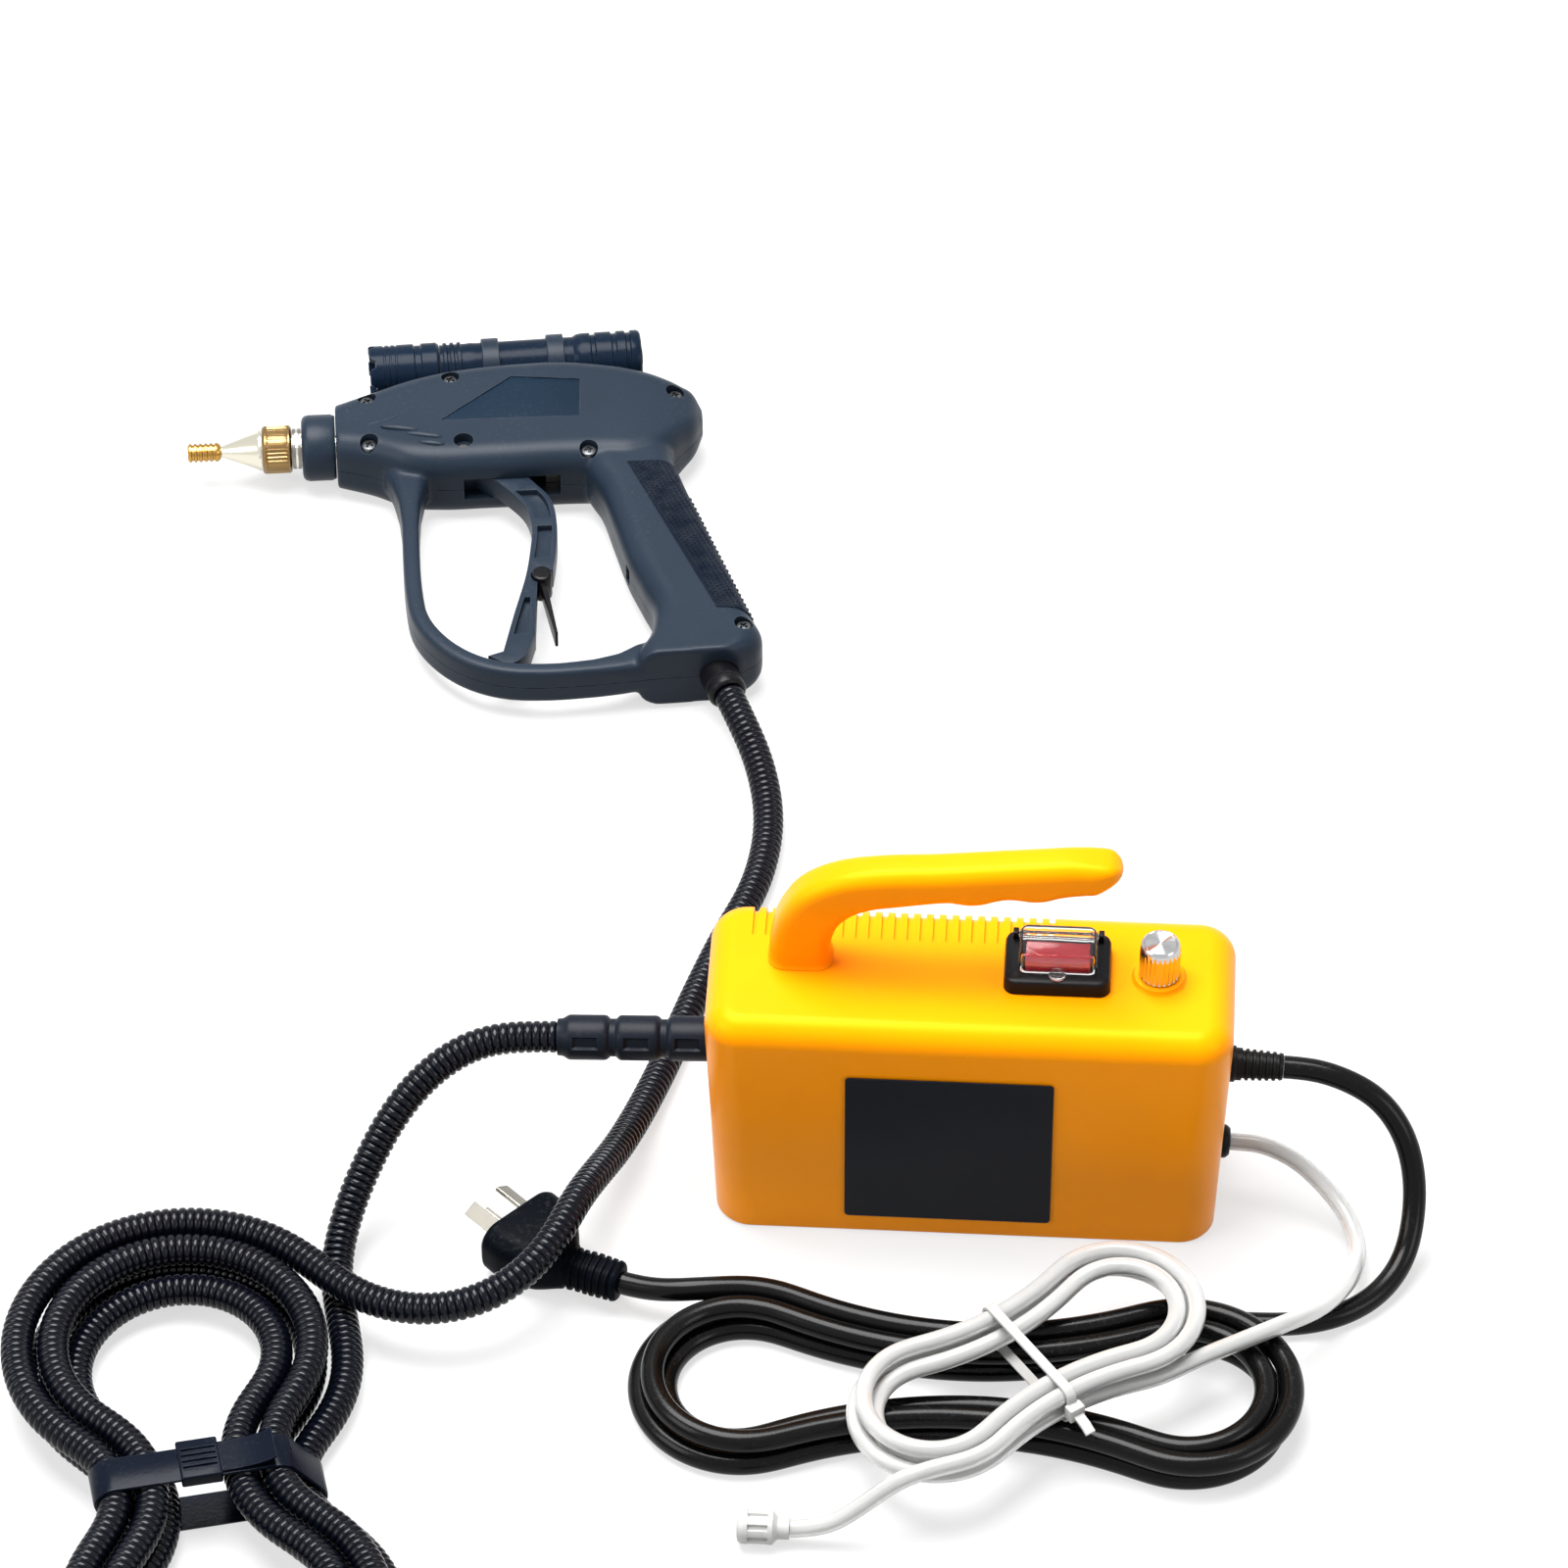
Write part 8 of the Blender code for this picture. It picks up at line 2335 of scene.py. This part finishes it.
@dataclass
class CordEnds:
    """What is on the cords: the moulded plug, the strainer, the hose strap and the tube's tie."""

    plug_line: tuple[Pair, ...] = ((-0.1290, -0.0745), (-0.1389, -0.0711), (-0.1488, -0.0677),
                                   (-0.1555, -0.0633), (-0.1635, -0.0557), (-0.1715, -0.0481))
    plug_widths: tuple[float, ...] = (0.0072, 0.0076, 0.0080, 0.0140, 0.0185, 0.0190)
    plug_heights: tuple[float, ...] = (0.0072, 0.0076, 0.0080, 0.0105, 0.0115, 0.0115)
    plug_z: float = 0.0118
    rib_pitch: float = 0.0029
    strainer: Point = (-0.058, -0.1900, 0.0072)
    strainer_radius: float = 0.0065
    strainer_length: float = 0.020
    strap_width: float = 0.016
    tie_width: float = 0.004
    room: float = 0.0004

    def build_plug(self) -> None:
        """Build the plug body with its ribbed collar."""
        line = flat_curve(self.plug_line, 160)
        steps = np.concatenate([[0.0], np.cumsum(np.linalg.norm(np.diff(line, axis=0), axis=1))])
        knots = np.linalg.norm(np.diff(np.array(self.plug_line), axis=0), axis=1)
        knots = np.concatenate([[0.0], np.cumsum(knots)]) * steps[-1] / knots.sum()
        wide, high = eased(knots, self.plug_widths, steps), eased(knots, self.plug_heights, steps)
        collar = np.clip((knots[2] + 0.0005 - steps) / 0.001, 0.0, 1.0)
        collar = collar * np.clip((steps - 0.0022) / 0.0008, 0.0, 1.0)
        ridge = np.clip(0.5 + 1.6 * np.cos(2.0 * math.pi * steps / self.rib_pitch), 0.0, 1.0)
        rib = 1.0 - 0.13 * collar * ridge
        ends = np.interp(steps, (0.0, 0.0006, 0.0018, steps[-1] - 0.0022, steps[-1] - 0.0008, steps[-1]),
                         (0.86, 0.95, 1.0, 1.0, 0.96, 0.86))
        near, far = beside(line, wide * rib * ends)
        lift = Matrix.Translation((0.0, 0.0, self.plug_z))
        shape = pair_loft(near, far, high * rib * ends, 0.72, 8).moved(lift)
        place(outward(shape), "power_plug", PLUG, replaces=("plug_body",), sharp=40.0)

    def slots(self, height: float, angles: np.ndarray) -> np.ndarray:
        """Return the strainer's radius factor: eight slots along its barrel."""
        cut_in = 0.16 if 0.0085 < height < self.strainer_length - 0.0042 else 0.0
        return 1.0 - cut_in * (np.cos(8.0 * angles) > 0.30)

    def build_strainer(self) -> None:
        """Build the slotted strainer on the tube's end."""
        size, end = self.strainer_radius, self.strainer_length
        rows = [(0.0020, GAP), (0.0040, GAP), (0.00425, 0.0006), (0.00425, 0.0046), (0.0047, 0.0052),
                (size, 0.0066), (size, 0.0082)]
        rows += [(size * 0.97, value) for value in np.linspace(0.0086, end - 0.0043, 6)]
        rows += [(size, end - 0.0040), (size, end - 0.0022), (size * 0.95, end - 0.0011),
                 (size * 0.82, end - 0.0003), (size * 0.55, end), (0.0006, end)]
        shape = turned(rows, 96, False, self.slots).moved(aimed(self.strainer, (-1.0, 0.0, 0.0)))
        place(outward(shape), "tube_strainer", WHITE, replaces=("strainer",), sharp=32.0)

    def build_strap(self, hank: Hank, line: Sequence[Vector]) -> None:
        """Build the strap round the hose hank with its ribbed clasp and a loose tail.

        Args:
            hank: the hose's hank.
            line: the hose's centreline.
        """
        tubes = hank.waist_tubes(line)
        shape = band(hank, tubes, self.strap_width, 0.0011, self.room)
        reach = hank.radius + self.room
        left, right = tubes[tubes[:, 0] < 0.0, 0].max() + reach, tubes[tubes[:, 0] > 0.0, 0].min() - reach
        high = tubes[:, 1].max() + reach + 0.0011
        turn = Matrix.Rotation(math.atan2(hank.across.y, hank.across.x), 4, "Z")
        seat = Matrix.Translation(Vector(hank.centre)) @ turn
        depth = self.strap_width / 2.0 + 0.0014
        clasp = worked(block((left, -depth, high - 0.0032), (right, depth, high + 0.0022)),
                       ("BEVEL", {"width": 0.0008, "segments": 3}))
        grooves = [block((left + 0.0012, spot - 0.0006, high + 0.0014),
                         (right - 0.0012, spot + 0.0006, high + 0.005))
                   for spot in (-0.0042, -0.0014, 0.0014, 0.0042)]
        clasp = cut(clasp, gathered(grooves))
        tail = [np.array([(right + x, -0.0072, high + z), (right + x, 0.0072, high + z),
                          (right + x, 0.0072, high + z + 0.0009), (right + x, -0.0072, high + z + 0.0009)])
                for x, z in ((-0.0020, 0.0001), (0.0060, 0.0002), (0.0120, 0.0008), (0.0170, 0.0020),
                             (0.0205, 0.0038))]
        shape = shape.joined(outward(clasp).moved(seat), outward(loft(tail)).moved(seat))
        place(shape, "hose_strap", STRAP, replaces=("hose_tie",), sharp=35.0)

    def build_tie(self, hank: Hank, line: Sequence[Vector]) -> None:
        """Build the tube hank's tie with its head and trimmed tail.

        Args:
            hank: the tube's hank.
            line: the tube's centreline.
        """
        tubes = hank.waist_tubes(line)
        shape = band(hank, tubes, self.tie_width, 0.0011, self.room)
        outer = tubes[tubes[:, 0] > tubes[:, 0].max() - 0.002]
        turn = Matrix.Rotation(math.atan2(hank.across.y, hank.across.x), 4, "Z")
        spot = hank.across * (outer[:, 0].max() + hank.radius + self.room + 0.0006)
        side = Matrix.Translation(Vector(hank.centre) + spot
                                  + Vector((0.0, 0.0, outer[:, 1].mean()))) @ turn
        head = worked(block((-0.0004, -0.0033, -0.0030), (0.0040, 0.0033, 0.0034)),
                      ("BEVEL", {"width": 0.0006, "segments": 3}))
        tail = [np.array([(x, -0.0020, z), (x, 0.0020, z), (x + 0.0003, 0.0020, z + 0.0011),
                          (x + 0.0003, -0.0020, z + 0.0011)])
                for x, z in ((0.0010, -0.0005), (0.0045, -0.0006), (0.0085, -0.0014), (0.0120, -0.0030))]
        shape = shape.joined(outward(head).moved(side), outward(loft(tail)).moved(side))
        place(shape, "tube_cable_tie", WHITE, replaces=("tube_tie",), sharp=35.0)

    def build(self, box: BoxSizes, gun: GunPlace, hose: SteamHose, tube: WaterTube) -> None:
        """Build all the pieces on the cords.

        Args:
            box: the steam box's sizes.
            gun: where the gun lies.
            hose: the steam hose.
            tube: the water tube.
        """
        self.build_plug()
        self.build_strainer()
        self.build_strap(hose.hank, hose.path(box, gun))
        self.build_tie(tube.hank, tube.path(box))


@dataclass
class Studio:
    """The camera, the soft lights and the pale floor."""

    azimuth: float = 3.2
    elevation: float = 44.0
    distance: float = 3.3
    lens: float = 186.0
    target: Point = (-0.083, 0.214, 0.0)
    floor_size: float = 40.0
    sky: float = 0.21
    floor_bounce: float = 0.40
    floor_shade: float = 0.25
    floor_glow: float = 0.66
    lamps: tuple[tuple[str, Point, float, float, Point], ...] = (
        ("overhead_softbox", (-0.5, 0.5, 2.6), 1.8, 185.0, (-0.1, 0.1, 0.0)),
        ("left_softbox", (-2.2, -1.0, 1.7), 1.4, 33.0, (0.0, 0.0, 0.05)),
        ("right_softbox", (2.3, -1.2, 1.5), 1.2, 18.0, (0.0, 0.0, 0.05)))

    def camera(self) -> None:
        """Make the camera at the photograph's viewing angle."""
        turn = math.radians(self.azimuth)
        rise = math.radians(self.elevation)
        back = Vector((math.sin(turn) * math.cos(rise), -math.cos(turn) * math.cos(rise), math.sin(rise)))
        data = bpy.data.cameras.new("camera")
        data.lens = self.lens
        data.sensor_width = 36.0
        data.clip_end = 100.0
        camera = linked("camera", data)
        camera.location = Vector(self.target) + back * self.distance
        camera.rotation_mode = "QUATERNION"
        camera.rotation_quaternion = (-back).to_track_quat("-Z", "Y")
        bpy.context.scene.camera = camera

    def lamp(self, name: str, at: Point, size: float, power: float, towards: Point) -> None:
        """Hang a square soft lamp that faces a point.

        Args:
            name: the lamp's name.
            at: its place.
            size: its side.
            power: its power in watts.
            towards: the point it faces.
        """
        data = bpy.data.lights.new(name, "AREA")
        data.size = size
        data.energy = power
        lamp = linked(name, data)
        lamp.location = at
        lamp.rotation_mode = "QUATERNION"
        lamp.rotation_quaternion = (Vector(towards) - Vector(at)).to_track_quat("-Z", "Y")

    def seen(self, graph: Graph) -> bpy.types.NodeSocket:
        """Tell the rays that show a surface from those that only light others.

        Args:
            graph: the tree to add the nodes to.

        Returns:
            1 for camera, glossy and transmitted rays, and otherwise 0.
        """
        rays = graph.add("ShaderNodeLightPath").outputs
        seen = graph.math("MAXIMUM", rays["Is Camera Ray"], rays["Is Glossy Ray"])
        return graph.math("MAXIMUM", seen, rays["Is Transmission Ray"])

    def lights(self) -> None:
        """Hang the lamps and set the world."""
        for row in self.lamps:
            self.lamp(*row)
        world = bpy.data.worlds.new("studio")
        world.use_nodes = True
        graph = Graph(world.node_tree)
        world.node_tree.nodes.clear()
        settings = {"Value": self.seen(graph), "To Min": self.sky, "To Max": 1.0}
        strength = graph.add("ShaderNodeMapRange", settings)
        sky = graph.add("ShaderNodeBackground", {"Color": (1.0, 1.0, 1.0, 1.0),
                                                 "Strength": strength.outputs["Result"]})
        graph.add("ShaderNodeOutputWorld", {"Surface": sky.outputs[0]})
        bpy.context.scene.world = world

    def floor(self) -> None:
        """Lay the pale floor that keeps the object's soft shadow."""
        half = self.floor_size / 2.0
        mesh = bpy.data.meshes.new("floor")
        mesh.from_pydata([(-half, -half, 0.0), (half, -half, 0.0), (half, half, 0.0), (-half, half, 0.0)],
                         [], [(0, 1, 2, 3)])
        made = bpy.data.materials.new("pale_floor")
        made.use_nodes = True
        made.node_tree.nodes.clear()
        graph = Graph(made.node_tree)
        seen = self.seen(graph)
        plain, soft = (graph.add("ShaderNodeBsdfDiffuse", {"Color": (share, share, share, 1.0)})
                       for share in (self.floor_bounce, self.floor_shade))
        glow = graph.add("ShaderNodeEmission", {"Color": (1.0, 1.0, 1.0, 1.0), "Strength": self.floor_glow})
        pale = graph.add("ShaderNodeAddShader", {0: soft.outputs[0], 1: glow.outputs[0]})
        mixed = graph.add("ShaderNodeMixShader", {0: seen, 1: plain.outputs[0], 2: pale.outputs[0]})
        graph.add("ShaderNodeOutputMaterial", {"Surface": mixed.outputs[0]})
        mesh.materials.append(made)
        floor = linked("floor", mesh)

    def build(self) -> None:
        """Set up the whole studio."""
        self.camera()
        self.lights()
        self.floor()
        bpy.context.scene.view_settings.view_transform = "Standard"


def main() -> None:
    """Build the studio, the cords and the dressed pieces in order."""
    logging.basicConfig(level=logging.INFO, format="%(name)s %(message)s")
    Studio().build()
    dress_nodes({"label_plate": 0.0003, "plug_blade": 0.0003, "base_plate": 0.0006})
    box = BoxSizes()
    gun = GunPlace()
    BoxBody().build(box)
    BoxControls().build()
    WallFittings().build(box)
    hose = SteamHose()
    tube = WaterTube()
    CordEnds().build(box, gun, hose, tube)
    hose.build(box, gun)
    PowerCord().build(box)
    tube.build(box)
    GunHousing().build(gun)
    GunTrigger().build(gun)
    GunNose().build(gun)
    GunTorch().build(gun)


if __name__ == "__main__":
    main()
